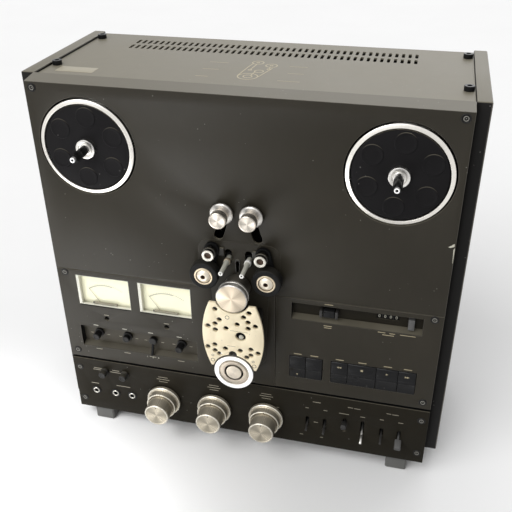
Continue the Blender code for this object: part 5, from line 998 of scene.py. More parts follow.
TRIM_HOLE_RADIUS = 0.0031
TRIM_HOLE_Z = 0.143
METER_WINDOWS = ((-0.1925, -0.1285), (-0.1180, -0.0560))
METER_Z = (0.1595, 0.1990)
RECESS_CONTROLS = ("bias_knob", "equalizer_knob", "speed_lever", "pitch_knob")
SHAFT_HOLE = 0.0028


def meter_plate():
    left, right, bottom, top = span("meter_panel")
    openings = [rectangle(*window, *METER_Z) for window in METER_WINDOWS] + [rectangle(*LEFT_RECESS)]
    trims = [(sum(window) / 2, TRIM_HOLE_Z) for window in METER_WINDOWS]
    openings[2:2] = [circle(spot, TRIM_HOLE_RADIUS, TINY_ROUND) for spot in trims]
    heights = middle("bias_knob")[1]
    shafts = [circle((middle(node)[0], heights), SHAFT_HOLE, TINY_ROUND) for node in RECESS_CONTROLS]
    parts = [side_flange(-1, "panel_paint", bottom, top), *recess(LEFT_RECESS, shafts)]
    # Black discs behind the trim holes: painted shade inside them
    discs = [circle(spot, TRIM_HOLE_RADIUS * 1.2, TINY_ROUND) for spot in trims]
    parts += [plate("groove_black", disc, -PLATE * 1.5, -PLATE + FINE) for disc in discs]
    parts.append(seam_lip(left, right, bottom, FLANGE))
    outline = rectangle(left, right, bottom + SEAM_EXTRA, top)
    front_plate("meter_plate", "meter_panel", [outline] + openings, parts)


BUTTON_NAMES = ("record", "pause", "rewind", "stop", "play", "forward")
BUTTON_GAP = 0.0004
COUNTER = (0.146, 0.1695, 0.1885, 0.1945)
COUNTER_POCKET = 0.001
CUE_POSTS = (0.0885, 0.1050)
CUE_POST_HALF = (0.0015, 0.0045)
CUE_POST_FRONT = -0.0005


def control_plate():
    left, right, bottom, top = span("control_panel")
    openings = [rectangle(*RIGHT_RECESS)]
    for first, last in (("record_button", "pause_button"), ("rewind_button", "forward_button")):
        start, _, low, high = span(first)
        openings.append(roomy((start, span(last)[1], low, high), BUTTON_GAP * 1.5, BUTTON_GAP))
    holes = [roomy(span("counter_reset"), OVERLAP), roomy(span("cue_lever"), OVERLAP, OVERLAP * 4), rectangle(*COUNTER)]
    floor = -RECESS_DEPTH - COUNTER_POCKET
    parts = [side_flange(1, "panel_paint", bottom, top)]
    # The right recess's floor and lower wall take the darker paint: painted shade
    parts += recess(RIGHT_RECESS, holes, "lower_paint", "lower_paint")
    parts.append(plate("groove_black", roomy(COUNTER, OVERLAP), floor - TUB_WALL / 4, floor))
    z = middle("cue_lever")[1]
    posts = [fillet(block(x, z, *CUE_POST_HALF), 0.001) for x in CUE_POSTS]
    parts += [plate("lever_dark", post, -RECESS_DEPTH - OVERLAP, CUE_POST_FRONT, SOFT) for post in posts]
    parts.append(seam_lip(left, right, bottom, FLANGE))
    outline = rectangle(left, right, bottom + SEAM_EXTRA, top)
    front_plate("control_plate", "control_panel", [outline] + openings, parts)


LEVEL_HOLE = 0.0053
# Each lever: X, Z, half its slot, tilt, half its grip across and up, where the grip starts and ends, and its finish
SWITCH_TABLE = (
    (0.0784, 0.0360, 0.0065, -14, 0.0012, 0.0013, 0.0190, 0.0275, "lever_dark"),
    (0.0986, 0.0360, 0.0065, -14, 0.0014, 0.0015, 0.0200, 0.0285, "lever_dark"),
    (0.1215, 0.0385, 0.0100, 16, 0.0032, 0.0030, 0.0205, 0.0320, "lever_dark"),
    (0.1420, 0.0385, 0.0100, -22, 0.0014, 0.0014, 0.0215, 0.0325, "bare_metal"),
    (0.1638, 0.0360, 0.0065, -14, 0.0012, 0.0013, 0.0190, 0.0290, "lever_dark"),
    (0.1835, 0.0360, 0.0065, -14, 0.0037, 0.0028, 0.0200, 0.0320, "lever_grey"),
)
SWITCH_PIVOT = -0.0170
SWITCH_HUB = 0.0030
SWITCH_STEM = 0.0011
SWITCH_CHEEK = (0.0033, 0.0053, 0.0035)
SLOT_HALF = 0.0020
LEVELS = ("mic_level", "line_level", "output_level")
SELECTORS = ("left_selector_knob", "right_selector_knob")
JACK_XS = (-0.1881, -0.1624, -0.1406)
JACK_Z = 0.030
JACK_HOLE = 0.0052


def amplifier_plate():
    left, right, bottom, top = span("amplifier_panel")
    holes = [circle(middle(f"{name}_ring"), LEVEL_HOLE) for name in LEVELS]
    holes += [circle(middle(name), SHAFT_HOLE, TINY_ROUND) for name in SELECTORS]
    holes += [circle((x, JACK_Z), JACK_HOLE) for x in JACK_XS]
    near, far, rise = SWITCH_CHEEK
    parts = []
    for x, z, half, *_ in SWITCH_TABLE:
        holes.append(fillet(block(x, z, SLOT_HALF, half), SLOT_HALF * 0.8))
        cheeks = [sorted((x + side * near, x + side * far)) for side in (-1, 1)]
        outlines = [rectangle(*cheek, z - rise, z + rise) for cheek in cheeks]
        parts += [plate("arm_dark", outline, SWITCH_PIVOT - rise, -PLATE + OVERLAP) for outline in outlines]
    parts += [side_flange(side, "lower_paint", bottom, top) for _, side in SIDES]
    parts.append(plate("lower_paint", rectangle(left, right, 0, FLANGE), FLANGE_BACK, -PLATE + OVERLAP))
    parts.append(seam_lip(left, right, top, -FLANGE))
    outline = rectangle(left, right, bottom, top - SEAM_EXTRA)
    front_plate("amplifier_plate", "amplifier_panel", [outline] + holes, parts)


SCREW_HEIGHTS = ((0.2060, 0.4140), (0.2045, 0.2013), (0.2045, 0.0907), (0.2060, 0.0637), (0.2060, 0.0143))
SCREW_PLACES = [(side * x, z) for _, side in SIDES for x, z in SCREW_HEIGHTS]


def panel_screws():
    """Socket screws in black cup washers: a rim round a dark socket with a painted highlight, a small light disc, at
    its bottom.
    """
    radius = sizes().screw_radius
    values = {"Radius": radius * 0.68, "Bulge": radius * 0.15, "Finish": finish("ring_grey")}
    rims = grown(screw_tree(), values, [(*place, 0.0006) for place in SCREW_PLACES])
    cup = [(0, -FINE), (radius * 1.45, -FINE), (radius * 1.45, 0.0002), (radius * 1.32, 0.0006)]
    cup += [(radius * 1.18, 0.0006), (radius * 0.95, FINE / 2), (0, FINE / 2)]
    painted_glint = [(0, FINE / 2), (radius * 0.20, FINE / 2), (radius * 0.16, FINE * 2), (0, FINE * 2)]
    parts = [(placed(rims, facing), "ring_grey")]
    for place in SCREW_PLACES:
        parts.append(turned("black_satin", cup, place, SMALL_ROUND, FINE / 4))
        parts.append(turned("ring_grey", painted_glint, place, TINY_ROUND, FINE / 4))
    piece("panel_screws", "deck", parts)


# Reels

RIM_WIDTH = 0.0045
RIM_FRONT = 0.002
RIM_FALL = 0.0014
MAT_DROP = 0.001
MAT_PAD = (0.0320, 0.0106, 0.0007)
PAD_TURN = math.radians(25)
HUB = (0.010, 0.0055)
SPLIT = 0.0165
SPINDLE = (0.0034, 0.0047, 0.0026)
SPINDLE_TIP = (0.0026, 0.0035)


def spindle_outline(centre):
    """A round core with three lobes that key the reel."""
    core, lobe, width = SPINDLE
    half, root = math.asin(width / 2 / lobe), math.asin(width / 2 / core)
    points = []
    for i in range(3):
        heading = math.pi / 2 + math.tau / 3 * i
        points += arc(centre, lobe, heading - half, heading + half, 6)
        points += arc(centre, core, heading + root, heading + math.tau / 3 - root, 10)
    return points


def reels():
    for word, _ in SIDES:
        table, lock = f"{word}_reel_table", f"{word}_reel_lock"
        centre, radius = middle(table), half_width(table)
        inner, mat, front = radius - RIM_WIDTH, RIM_FRONT - MAT_DROP, reach(lock)[1]
        rim = [(inner, -0.0075), (radius - 0.0006, -0.0075), (radius, -0.0068), (radius, RIM_FRONT - RIM_FALL)]
        rim += [(radius - 0.0010, RIM_FRONT - RIM_FALL * 0.7), (inner + 0.0006, RIM_FRONT), (inner, mat - 0.0005)]
        base = [(0, -0.008), (radius - 0.001, -0.008), (radius - 0.001, -0.006), (inner - 0.0005, mat - 0.0016)]
        base.append((0, mat - 0.0016))
        ring, pad, height = MAT_PAD
        spots = [arc(centre, ring, PAD_TURN + math.tau * i / 6, 0, 1)[0] for i in range(6)]
        felt = [circle(centre, inner - 0.0009, FULL_ROUND), circle(centre, HUB[0] - 0.0005)]
        shape = at_out(
            mat, (0, -0.0010), (pad, -0.0010), (pad, height * 0.2), (pad - 0.0009, height),
            (pad - 0.0018, height * 0.7), (pad - 0.0034, height * 0.2), (0, height * 0.1),
        )
        wide, high = HUB
        hub = [(0, 0), (wide, 0), (wide, high), (wide - 0.0028, high), (wide - 0.0034, high - 0.0009)]
        hub += [(0.0052, high - 0.0009), (0.0052, high + 0.0004), (0, high + 0.0004)]
        parts = [
            turned("turned_rim", rim, centre, FULL_ROUND, 0.0003),
            turned("groove_black", base, centre),
            plate("mat_rubber", felt, mat - 0.0016, mat, 0.0003),
            *[turned("mat_rubber", shape, spot, SMALL_ROUND, 0.0005) for spot in spots],
            turned("turned_hub", hub, centre, ROUND, 0.0003),
            plate("spindle_black", spindle_outline(centre), high - 0.001, SPLIT, FINE),
        ]
        piece(f"{word}_table", table, parts, [table])
        thick, long = SPINDLE_TIP
        shoulder = front - long
        tip = [(0, shoulder - 0.001), (thick, shoulder - 0.001), (thick, front), (0.0013, front)]
        tip += [(0.0013, front - 0.0012), (0, front - 0.0012)]
        parts = [
            plate("spindle_black", spindle_outline(centre), SPLIT + OVERLAP, shoulder, SOFT, both=True),
            turned("white_ring", tip, centre, SMALL_ROUND),
            turned("groove_black", rectangle(0, 0.0012, front - 0.0015, front - 0.0009), centre, TINY_ROUND, 0.0001),
        ]
        piece(f"{word}_lock", lock, parts, [lock])


# Tape path


def tension_rollers():
    neck, barrel, start = 0.0074, 0.0089, 0.0122
    for word, _ in SIDES:
        name = f"{word}_tension_roller"
        centre, wide = middle(name), half_width(name)
        back, front = reach(name)
        flange = at_out(
            back, (0.0028, 0), (wide, 0), (wide, 0.0022), (wide - 0.0012, 0.0030), (neck, 0.0034), (0.0028, 0.0034)
        )
        stem = [(0.0028, back + 0.003)]
        for i in range(5):
            at = back + 0.0036 + i * 0.0012
            stem += at_out(at, (neck, 0), (neck, 0.0008), (neck - 0.0007, 0.0009), (neck - 0.0007, 0.0011))
        stem += at_out(start, (neck, -0.0030), (neck + 0.0009, -0.0006), (neck + 0.0009, 0.0005), (0.0028, 0.0005))
        body = [(0, start), (barrel - 0.0004, start), (barrel, start + 0.0006), (barrel, front - 0.0006)]
        body += at_out(front, (barrel - 0.0008, 0), (barrel - 0.0022, 0), (barrel - 0.0025, -0.0003), (0, -0.0003))
        parts = [
            turned("turned_bright", flange, centre, ROUND, 0.0003),
            turned("turned_neck", stem, centre, SMALL_ROUND, FINE / 4),
            turned("chrome", body, centre, ROUND, 0.0003),
        ]
        piece(f"{word}_tape_roller", name, parts, [name])
        # The tension arms are darkened to painted shade where they show through the slots
        dress_node(f"{word}_tension_arm", "arm_dark")


PINCH_PIVOT = (0.0274, 0.2565)
PINCH_TYRE = 0.0155
PINCH_HUB = 0.0100


def pinch_assemblies():
    tyre, hub = PINCH_TYRE, PINCH_HUB
    for word, side in SIDES:
        arm, roller = f"{word}_pinch_arm", f"{word}_pinch_roller"
        pivot, end = (side * PINCH_PIVOT[0], PINCH_PIVOT[1]), middle(roller)
        outline = [link(pivot, 0.008, end, 0.0075, 20), circle(pivot, 0.0050)]
        back, front = reach(arm)[0], reach(arm)[0] + 0.0038
        pin = rectangle(0, 0.0030, front - 0.001, reach(roller)[1] - 0.0045)
        parts = [plate("arm_dark", outline, back, front, 0.0006), turned("groove_black", pin, end, TINY_ROUND)]
        piece(f"{word}_pinch_lever", arm, parts, [arm])
        back, front = reach(roller)
        rubber = at_out(back, (hub - 0.0005, 0), (tyre - 0.0006, 0), (tyre, 0.0008))
        rubber += at_out(front, (tyre, -0.0014), (tyre - 0.0009, -0.0006), (hub - 0.0005, -0.0006))
        dish = [(0.0034, back), (hub, back)]
        dish += at_out(
            front, (hub, -0.0004), (hub - 0.0006, 0), (hub - 0.0018, 0), (hub - 0.0019, -0.0030),
            (hub - 0.0036, -0.0030), (0.0034, -0.0034),
        )
        groove = rectangle(0.0070, hub - 0.0014, front - 0.0026, front - 0.0012)
        cone = at_out(
            front, (0.0024, -0.0044), (0.0074, -0.0044), (0.0074, -0.0006), (0.0050, 0.0010), (0.0036, 0.0014),
            (0.0026, 0.0014), (0.0024, 0.0008),
        )
        bore = at_out(front, (0.0019, -0.0042), (0.0024, -0.0042), (0.0024, 0.0007), (0.0019, 0.0004))
        parts = [
            turned("tyre_rubber", rubber, end),
            turned("brass_hub", dish, end, ROUND, 0.0003),
            turned("guide_bore", groove, end, ROUND, 0.0001),
            turned("hub_cone", cone, end, ROUND, 0.0003),
            turned("guide_bore", bore, end, TINY_ROUND, 0.0001),
        ]
        piece(f"{word}_pinch_wheel", roller, parts, [roller])


def capstan():
    centre, cap = middle("capstan"), half_width("capstan")
    back, front = reach("capstan")
    under = front - 0.0105
    shaft = [(0, back), (0.006, back), (0.006, 0.005), (0.0140, 0.005), (0.0140, under - 0.0018), (0, under - 0.0018)]
    rim = at_out(
        under, (0.005, 0), (cap - 0.0005, 0), (cap, 0.0005), (cap, 0.0030), (cap - 0.0005, 0.0034),
        (cap - 0.0005, 0.0044), (cap, 0.0048),
    )
    rim += at_out(front, (cap, -0.0009), (cap - 0.0009, -FINE / 2), (0.005, -0.001))
    parts = [
        turned("turned_dark", shaft, centre),
        turned("turned_dark", rectangle(0.005, 0.0152, under - 0.0018, under + OVERLAP), centre, ROUND, 0.0003),
        turned("turned_bright", rim, centre, ROUND, 0.0003),
        turned("turned_cap", rectangle(0, cap - 0.0009, front - 0.002, front), centre, FULL_ROUND, 0.0002),
    ]
    piece("capstan_cap", "capstan", parts, ["capstan"])


PIN_X = 0.011
PIN_RISE = 0.0083
PIN_SLOT = 0.0040


def lifter():
    box, z = span("tape_lifter"), middle("tape_lifter")[1]
    back, front = reach("tape_lifter")
    # The carriage is darkened to painted shade where it shows through the pin slots
    parts = [plate("arm_dark", fillet(rectangle(*box), 0.0025), back, back + 0.004, SOFT)]
    pin = [(0, back + 0.003), (0.0031, back + 0.003), (0.0031, 0.0070), (0.0024, 0.0120), (0.0021, front - 0.0012)]
    pin.append((0, front - 0.0012))
    tip = at_out(front, (0.0009, -0.0014), (0.0023, -0.0014), (0.0023, 0), (0.0011, 0), (0.0009, -0.0004))
    for _, side in SIDES:
        place = (side * PIN_X, z)
        collar = "brass_hub" if side < 0 else "pin_tip"
        parts += [
            turned("pin_plastic", pin, place, SMALL_ROUND, 0.0003),
            turned("pin_tip", tip, place, SMALL_ROUND, 0.0002),
            turned("groove_black", rectangle(0, 0.0010, front - 0.0013, front - 0.0008), place, TINY_ROUND, 0.0001),
            turned(collar, rectangle(0.0030, 0.0037, 0.0022, 0.0062), place, SMALL_ROUND, 0.0003),
        ]
    piece("lifter_pins", "tape_lifter", parts, ["tape_lifter"])


BED_FRONT, BED_BACK = 0.0001, -0.004
BED_POSTS = ((-0.036, 0.220), (0.036, 0.220), (-0.020, 0.128), (0.020, 0.128))
COVER_POSTS = ((0.0, 0.186), (0.0, 0.156))
BRACKETS = ((-0.0240, -0.0152, 0.2480, 0.2575), (0.0152, 0.0240, 0.2490, 0.2575))
ROLLER_SHIELD = (-0.0145, -0.0035, 0.1408, 0.1465)
HEAD_SPREAD = 0.0195
HEAD_ZS = (0.180, 0.150)
HEAD_HALF = (0.0065, 0.0075)
GUIDE_FRONT = 0.0188


def head_base():
    lifter_z = middle("tape_lifter")[1]
    key = link((-0.001, 0.229), 0.0012, (-0.001, 0.2415), 0.0018, 8)
    outlines = [base_outline(0), circle((0, CAPSTAN_Z), 0.0066), key]
    for _, side in SIDES:
        ends = [(side * PIN_X, z) for z in (lifter_z, lifter_z + PIN_RISE)]
        outlines.append(link(ends[0], PIN_SLOT, ends[1], PIN_SLOT + 1e-7, 10))
    parts = [plate("panel_paint", outlines, BED_BACK, BED_FRONT)]
    brackets = [fillet(rectangle(*box), 0.0012) for box in BRACKETS]
    parts += [plate("bracket_grey", outline, BED_FRONT - OVERLAP, 0.0022, 0.0006) for outline in brackets]
    lip = [link((-0.001, 0.228), 0.0024, (-0.001, 0.2425), 0.0030, 10), key]
    parts.append(plate("bracket_grey", lip, BED_FRONT - FINE, BED_FRONT + 0.0008, SOFT))
    post = rectangle(0, 0.005, reach("chassis_plate")[1] + OVERLAP, BED_BACK + OVERLAP)
    parts += [turned("plated_steel", post, place, TINY_ROUND) for place in BED_POSTS]
    front = GUIDE_FRONT
    barrel = [(0, 0.001), (0.0047, 0.001), (0.0047, 0.0064), (0.0060, 0.0064)]
    barrel += at_out(front, (0.0060, -0.0014), (0.0035, -0.0014), (0.0035, -0.0035), (0, -0.0035))
    ring = at_out(front, (0.0034, -0.0016), (0.0063, -0.0016), (0.0063, 0), (0.0038, 0), (0.0034, -0.0006))
    bore = at_out(front, (0, -0.0030), (0.0037, -0.0030), (0.0037, -0.0017), (0, -0.0026))
    disc = rectangle(0.0050, 0.0068, front - 0.0060, front - 0.0046)
    wide, tall = HEAD_HALF
    for _, side in SIDES:
        pivot = (side * PINCH_PIVOT[0], PINCH_PIVOT[1])
        parts += [
            turned("guide_dark", barrel, pivot, SMALL_ROUND, 0.0003),
            turned("guide_ring", ring, pivot, SMALL_ROUND, 0.0003),
            turned("guide_bore", bore, pivot, SMALL_ROUND, 0.0002),
            turned("bracket_grey", disc, pivot, SMALL_ROUND, 0.0003),
        ]
        for z in HEAD_ZS:
            place = (side * HEAD_SPREAD, z)
            case = fillet(block(*place, wide, tall), 0.003, 5)
            core = fillet(block(*place, wide * 0.6, tall * 0.7), 0.002)
            # Head cases are darkened to painted shade seen through the cover's holes
            parts.append(plate("head_dark", case, BED_FRONT - OVERLAP, 0.0230, 0.0008))
            parts.append(plate("guide_dark", core, 0.0225, 0.0236, 0.0004))
    # Cover posts and the roller shield, darkened to painted shade behind the cover
    post = rectangle(0, 0.003, 0.001, 0.0267)
    parts += [turned("head_dark", post, place, TINY_ROUND) for place in COVER_POSTS]
    shield = fillet(rectangle(*ROLLER_SHIELD), 0.001)
    parts.append(plate("head_dark", shield, BED_FRONT - OVERLAP, 0.0236, FINE))
    parts.append(turned("plated_steel", rectangle(0, 0.004, 0.001, 0.022), (0, ROLLER_Z), TINY_ROUND))
    piece("tape_bed", "deck", parts, ["head_base"])


COVER_FLANK = 0.0337
COVER_ENDS = (0.0236, 0.0266)
COVER_TOP_RADIUS = 0.0193
COVER_Z = (0.1246, 0.208)
HEAD_SCREW_HOLE = 0.0029
HEAD_SCREW_REACH = 0.0079
HEAD_SCREW_SHARES = ((1, 0), (0, 0.5), (0, -0.5), (-1.5, -0.05))
INNER_SHARES = ((-0.6, 1.25), (-0.6, 0.95))
# How far each head's group of holes lies from its head, left then right, upper then lower
GROUP_SHIFTS = (((0.0004, -0.0030), (-0.0009, -0.0010)), ((-0.0025, 0.0039), (0.0001, -0.0011)))
WINDOW_HOLE = ((0.0085, 0.1682), 0.0057)
CORNER_HOLES = ((-0.0186, 0.1998), (0.0181, 0.1998))
# A round bite out of the lower edge: its centre, radius and where its arc starts and ends
ROLLER_BITE = ((-0.0006, 0.1429), 0.0045, math.radians(-14), math.radians(197))


def hollow_arc(centre_z, radius, edge_z):
    """The arc of a hollow end, from its right corner to its left one."""
    lean = math.asin((edge_z - centre_z) / radius)
    return arc((0, centre_z), radius, lean, (math.pi if edge_z > centre_z else -math.pi) - lean, 28)


def cover_outline():
    """Flanks are arcs through the widest point; the ends are arcs about the capstan and the roller."""
    bottom, top = COVER_Z
    half_height, end_half = (top - bottom) / 2, sum(COVER_ENDS) / 2
    sagitta = COVER_FLANK - end_half
    radius = (half_height**2 + sagitta**2) / (2 * sagitta)
    swing = math.asin(half_height / radius)
    flank = arc((COVER_FLANK - radius, (top + bottom) / 2), radius, -swing, swing, 28)
    upper = hollow_arc(CAPSTAN_Z, COVER_TOP_RADIUS, top)
    lower = hollow_arc(ROLLER_Z, half_width("reverse_roller") + 0.0015, bottom)
    spot, size, start, end = ROLLER_BITE
    kept = [point for point in lower if math.dist(point, spot) > size * 1.05]
    cut = sum(point[0] > spot[0] for point in kept)
    lower = kept[:cut] + arc(spot, size, start, end, 16) + kept[cut:]
    return flank + upper + [(-x, z) for x, z in reversed(flank)] + lower[::-1]


def head_cover():
    back, front = reach("head_cover")
    places = list(CORNER_HOLES)
    for (_, side), shifts in zip(SIDES, GROUP_SHIFTS):
        for z, flip, (dx, dz), inner in zip(HEAD_ZS, (1, -1), shifts, INNER_SHARES):
            for across, up in (*HEAD_SCREW_SHARES, inner):
                x = side * (HEAD_SPREAD + across * HEAD_SCREW_REACH) + dx
                places.append((x, z + flip * up * HEAD_SCREW_REACH + dz))
    holes = [circle(place, HEAD_SCREW_HOLE, TINY_ROUND) for place in places] + [circle(*WINDOW_HOLE)]
    (x, z), radius = WINDOW_HOLE
    insert = [(0, back - 0.0008), (0.0026, back - 0.0008), (0.0026, back + 0.0012), (0, back + 0.0016)]
    parts = [
        plate("cream_cover", [fillet(cover_outline(), 0.0006, 2)] + holes, back, front, 0.00025, both=True),
        # A black disc behind the window hole: painted shade inside it
        plate("groove_black", circle((x, z), radius + OVERLAP), back - 0.0012, back - FINE),
        turned("pin_plastic", insert, (x, z - 0.0022), TINY_ROUND, 0.0006),
    ]
    piece("cover_plate", "deck", parts, ["head_cover"])


def reverse_roller():
    centre, radius = middle("reverse_roller"), half_width("reverse_roller")
    back, front = reach("reverse_roller")
    flange, tape = 0.0025, 0.0205
    body = at_out(back, (0.0045, 0), (radius, 0), (radius, flange), (tape, flange + 0.0004))
    body += at_out(
        front, (tape, -flange - 0.0004), (radius, -flange), (radius, -0.0004), (radius - 0.0004, -0.0014),
        (0.0108, -0.0028), (0.0106, -0.0036), (0.0045, -0.0036),
    )
    outer = at_out(
        front, (radius - 0.0052, -0.0022), (radius - 0.0003, -0.0022), (radius - 0.0003, 0), (radius - 0.0049, 0)
    )
    inner = at_out(front, (0.0106, -0.0022), (0.0148, -0.0022), (0.0148, -OVERLAP), (0.0108, -OVERLAP))
    boss = at_out(front, (0, -0.0038), (0.0086, -0.0038), (0.0086, -0.0004), (0.0082, 0), (0, 0))
    band = rectangle(0.0146, radius - 0.0046, front - 0.0024, front - 0.0012)
    line = rectangle(0.0158, 0.0164, front - 0.0018, front - 0.0009)
    # A black ring in the groove on the roller's face: painted shade in the groove
    groove = rectangle(0.0080, 0.0112, front - 0.0040, front - 0.0034)
    parts = [
        turned("turned_bright", body, centre, FULL_ROUND, 0.0003),
        turned("white_ring", outer, centre, FULL_ROUND, 0.0003),
        turned("turned_pink", band, centre, FULL_ROUND, 0.0002),
        turned("turned_pink", inner, centre, FULL_ROUND, 0.0003),
        turned("turned_dark", line, centre, FULL_ROUND, 0.0001),
        turned("groove_black", groove, centre, ROUND, 0.0002),
        turned("turned_boss", boss, centre, ROUND, 0.0002),
    ]
    piece("return_roller", "reverse_roller", parts, ["reverse_roller"])


# Meters

METER_FLOOR = -0.0058
FRAME_WIDTH = 0.0007
NEEDLE_Z = 0.1505
NEEDLE_OUT = -0.0046
NEEDLE_REST = math.radians(-34)
NEEDLE_ENDS = (0.0016, 0.0350)
CASE_BOTTOM = 0.1463
RIM_BOTTOMS = (0.1470, 0.1482)
BEVEL_RIGHT = 0.0036
SHIELD = (0.0142, 0.1632, -0.0020)


def band_outline(centre, inner, outer, start, end, steps=40):
    return arc(centre, outer, start, end, steps) + arc(centre, inner, end, start, steps)


def meters():
    tree, back, floor = tick_tree(), reach("level_meters")[0], METER_FLOOR
    bottom, top = METER_Z
    half, shield_top, shield_front = SHIELD
    start, end = math.pi / 2 + SCALE_SWEEP / 2, math.pi / 2 - SCALE_SWEEP / 2
    parts = []
    for left, right in METER_WINDOWS:
        x = (left + right) / 2
        pivot = (x, NEEDLE_Z)
        window = roomy((left, right, bottom, top), -OVERLAP)
        inner = rectangle(left + BEVEL_RIGHT, right - FRAME_WIDTH, bottom + 0.0010, top - FRAME_WIDTH)
        case = rectangle(left - 0.0015, right + 0.0015, CASE_BOTTOM, top + 0.0015)
        rim = [rectangle(left - 0.0012, right + 0.0012, RIM_BOTTOMS[0], top + 0.0012)]
        rim.append(rectangle(left + FRAME_WIDTH, right - FRAME_WIDTH, RIM_BOTTOMS[1], top - FRAME_WIDTH))
        bevel = [(left + BEVEL_RIGHT, floor), (left + 0.0018, -0.0006), (left + 0.0016, floor)]
        band = band_outline(pivot, SCALE_RADIUS - 0.0003, SCALE_RADIUS, start, end)
        broad = band_outline(pivot, SCALE_RADIUS - 0.0012, SCALE_RADIUS - 0.0003, end + SCALE_SWEEP * 0.3, start, 24)
        ticks = grown(tree, {"Count": sizes().scale_ticks, "Finish": finish("dial_print")})
        shield = fillet(rectangle(x - half, x + half, bottom + 0.0010, shield_top), 0.0006)
        shield_end = rectangle(x - half - 0.0015, x - half + 0.0008, bottom + 0.0012, shield_top - 0.0004)
        sill = rectangle(left + FRAME_WIDTH, right - FRAME_WIDTH, bottom - 0.0009, bottom - 0.0001)
        parts += [
            plate("dial_face", case, back, floor),
            plate("dial_frame", rim, floor - OVERLAP, -PLATE - OVERLAP),
            plate("dial_frame", [window, inner], -PLATE - OVERLAP * 2, -0.0004, 0.0001),
            plate("dial_frame", bevel, bottom + 0.0014, top - 0.0010, 0.0, upright),
            printing("dial_print", band, floor),
            printing("dial_print", broad, floor),
            (placed(ticks, lambda a, b, c: facing(x + a, NEEDLE_Z + b + 0.0008, floor + c)), "dial_print"),
            plate("shield_grey", shield, -PLATE * 1.3, shield_front, SOFT),
            plate("lever_dark", shield_end, -PLATE * 1.3, shield_front - OVERLAP, SOFT),
            printing("groove_black", sill, 0.0, FINE / 2),
            turned(
                "plated_steel", rectangle(0, 0.0008, floor - OVERLAP, NEEDLE_OUT + 0.0008), pivot, TINY_ROUND, FINE / 2
            ),
        ]
    piece("meter_pair", "deck", parts, ["level_meters"])
    for (word, _), window in zip(SIDES, METER_WINDOWS):
        needle = f"{word}_meter_needle"
        pivot, lean = (sum(window) / 2, NEEDLE_Z), math.pi / 2 - NEEDLE_REST
        ends = [arc(pivot, length, lean, lean, 1)[0] for length in NEEDLE_ENDS]
        hub = rectangle(0.0011, 0.0024, NEEDLE_OUT - 0.0004, NEEDLE_OUT + 0.0004)
        blade = link(ends[0], 0.0004, ends[1], 0.00022, 6)
        parts = [
            plate("needle_paint", blade, NEEDLE_OUT - FINE / 2, NEEDLE_OUT + FINE / 2),
            turned("needle_paint", hub, pivot, TINY_ROUND, FINE / 2),
        ]
        piece(f"{word}_needle", needle, parts, [needle])


# Knobs, buttons and switches


def ribbed_knob(tree, node, collar, radius, grip_start, looks="black_gloss", core_looks="black_satin"):
    """A knob: shaft, collar, ribbed grip and a shallow dish in its end."""
    centre, (back, front) = middle(node), reach(node)
    base, core = grip_start - 0.003, radius - 0.0003
    profile = [(0, back), (0.0025, back), (0.0025, base), (collar, base), (collar, grip_start - 0.0004)]
    profile += [(collar - 0.0006, grip_start), (core, grip_start)]
    profile += at_out(
        front, (core, -0.0003), (core - 0.0006, 0), (core - 0.0014, 0), (core - 0.0018, -0.0004), (0, -0.0004)
    )
    length = front - grip_start - 0.0012
    values = {"Count": sizes().rib_count, "Radius": radius - 0.00035, "Rib Width": 0.0007, "Length": length}
    mid = grip_start + length / 2 + 0.0004
    ribs = grown(tree, {**values, "Finish": finish(looks)})
    ribs = placed(ribs, lambda x, y, z: facing(centre[0] + x, centre[1] + y, mid + z))
    parts = [turned(core_looks, profile, centre, SMALL_ROUND, 0.0002), (ribs, looks)]
    piece(node.replace("_knob", "_grip"), node, parts, [node])


def recess_controls():
    tree = rib_tree()
    base = -RECESS_DEPTH + OVERLAP
    for node in ("bias_knob", "equalizer_knob", "pitch_knob"):
        ribbed_knob(tree, node, 0.0056, 0.0043, base + 0.003)
    for node in SELECTORS:
        ribbed_knob(tree, node, 0.0049, 0.0044, OVERLAP + 0.003, "knob_grey", "knob_grey")
    x, z = middle("speed_lever")[0], middle("bias_knob")[1]
    back, front = reach("speed_lever")[0], base + 0.005
    hub = [(0, back), (0.0025, back), (0.0025, base), (0.0046, base), (0.0046, front), (0, front)]
    profile = [(front - 0.0004, z - 0.0023), (base + 0.0025, z - 0.0023), (base + 0.0025, z - 0.0069)]
    profile += [(front, z - 0.0124), (front + 0.0036, z - 0.0165), (front + 0.0060, z - 0.0165)]
    profile.append((front + 0.0036, z - 0.0124))
    parts = [
        turned("black_satin", hub, (x, z), SMALL_ROUND, 0.0005),
        plate("black_gloss", fillet(profile, 0.0008), x - 0.0012, x + 0.0012, 0.0003, along_x, both=True),
    ]
    piece("speed_pointer", "speed_lever", parts, ["speed_lever"])


COUNTER_FIGURE = 0.0036


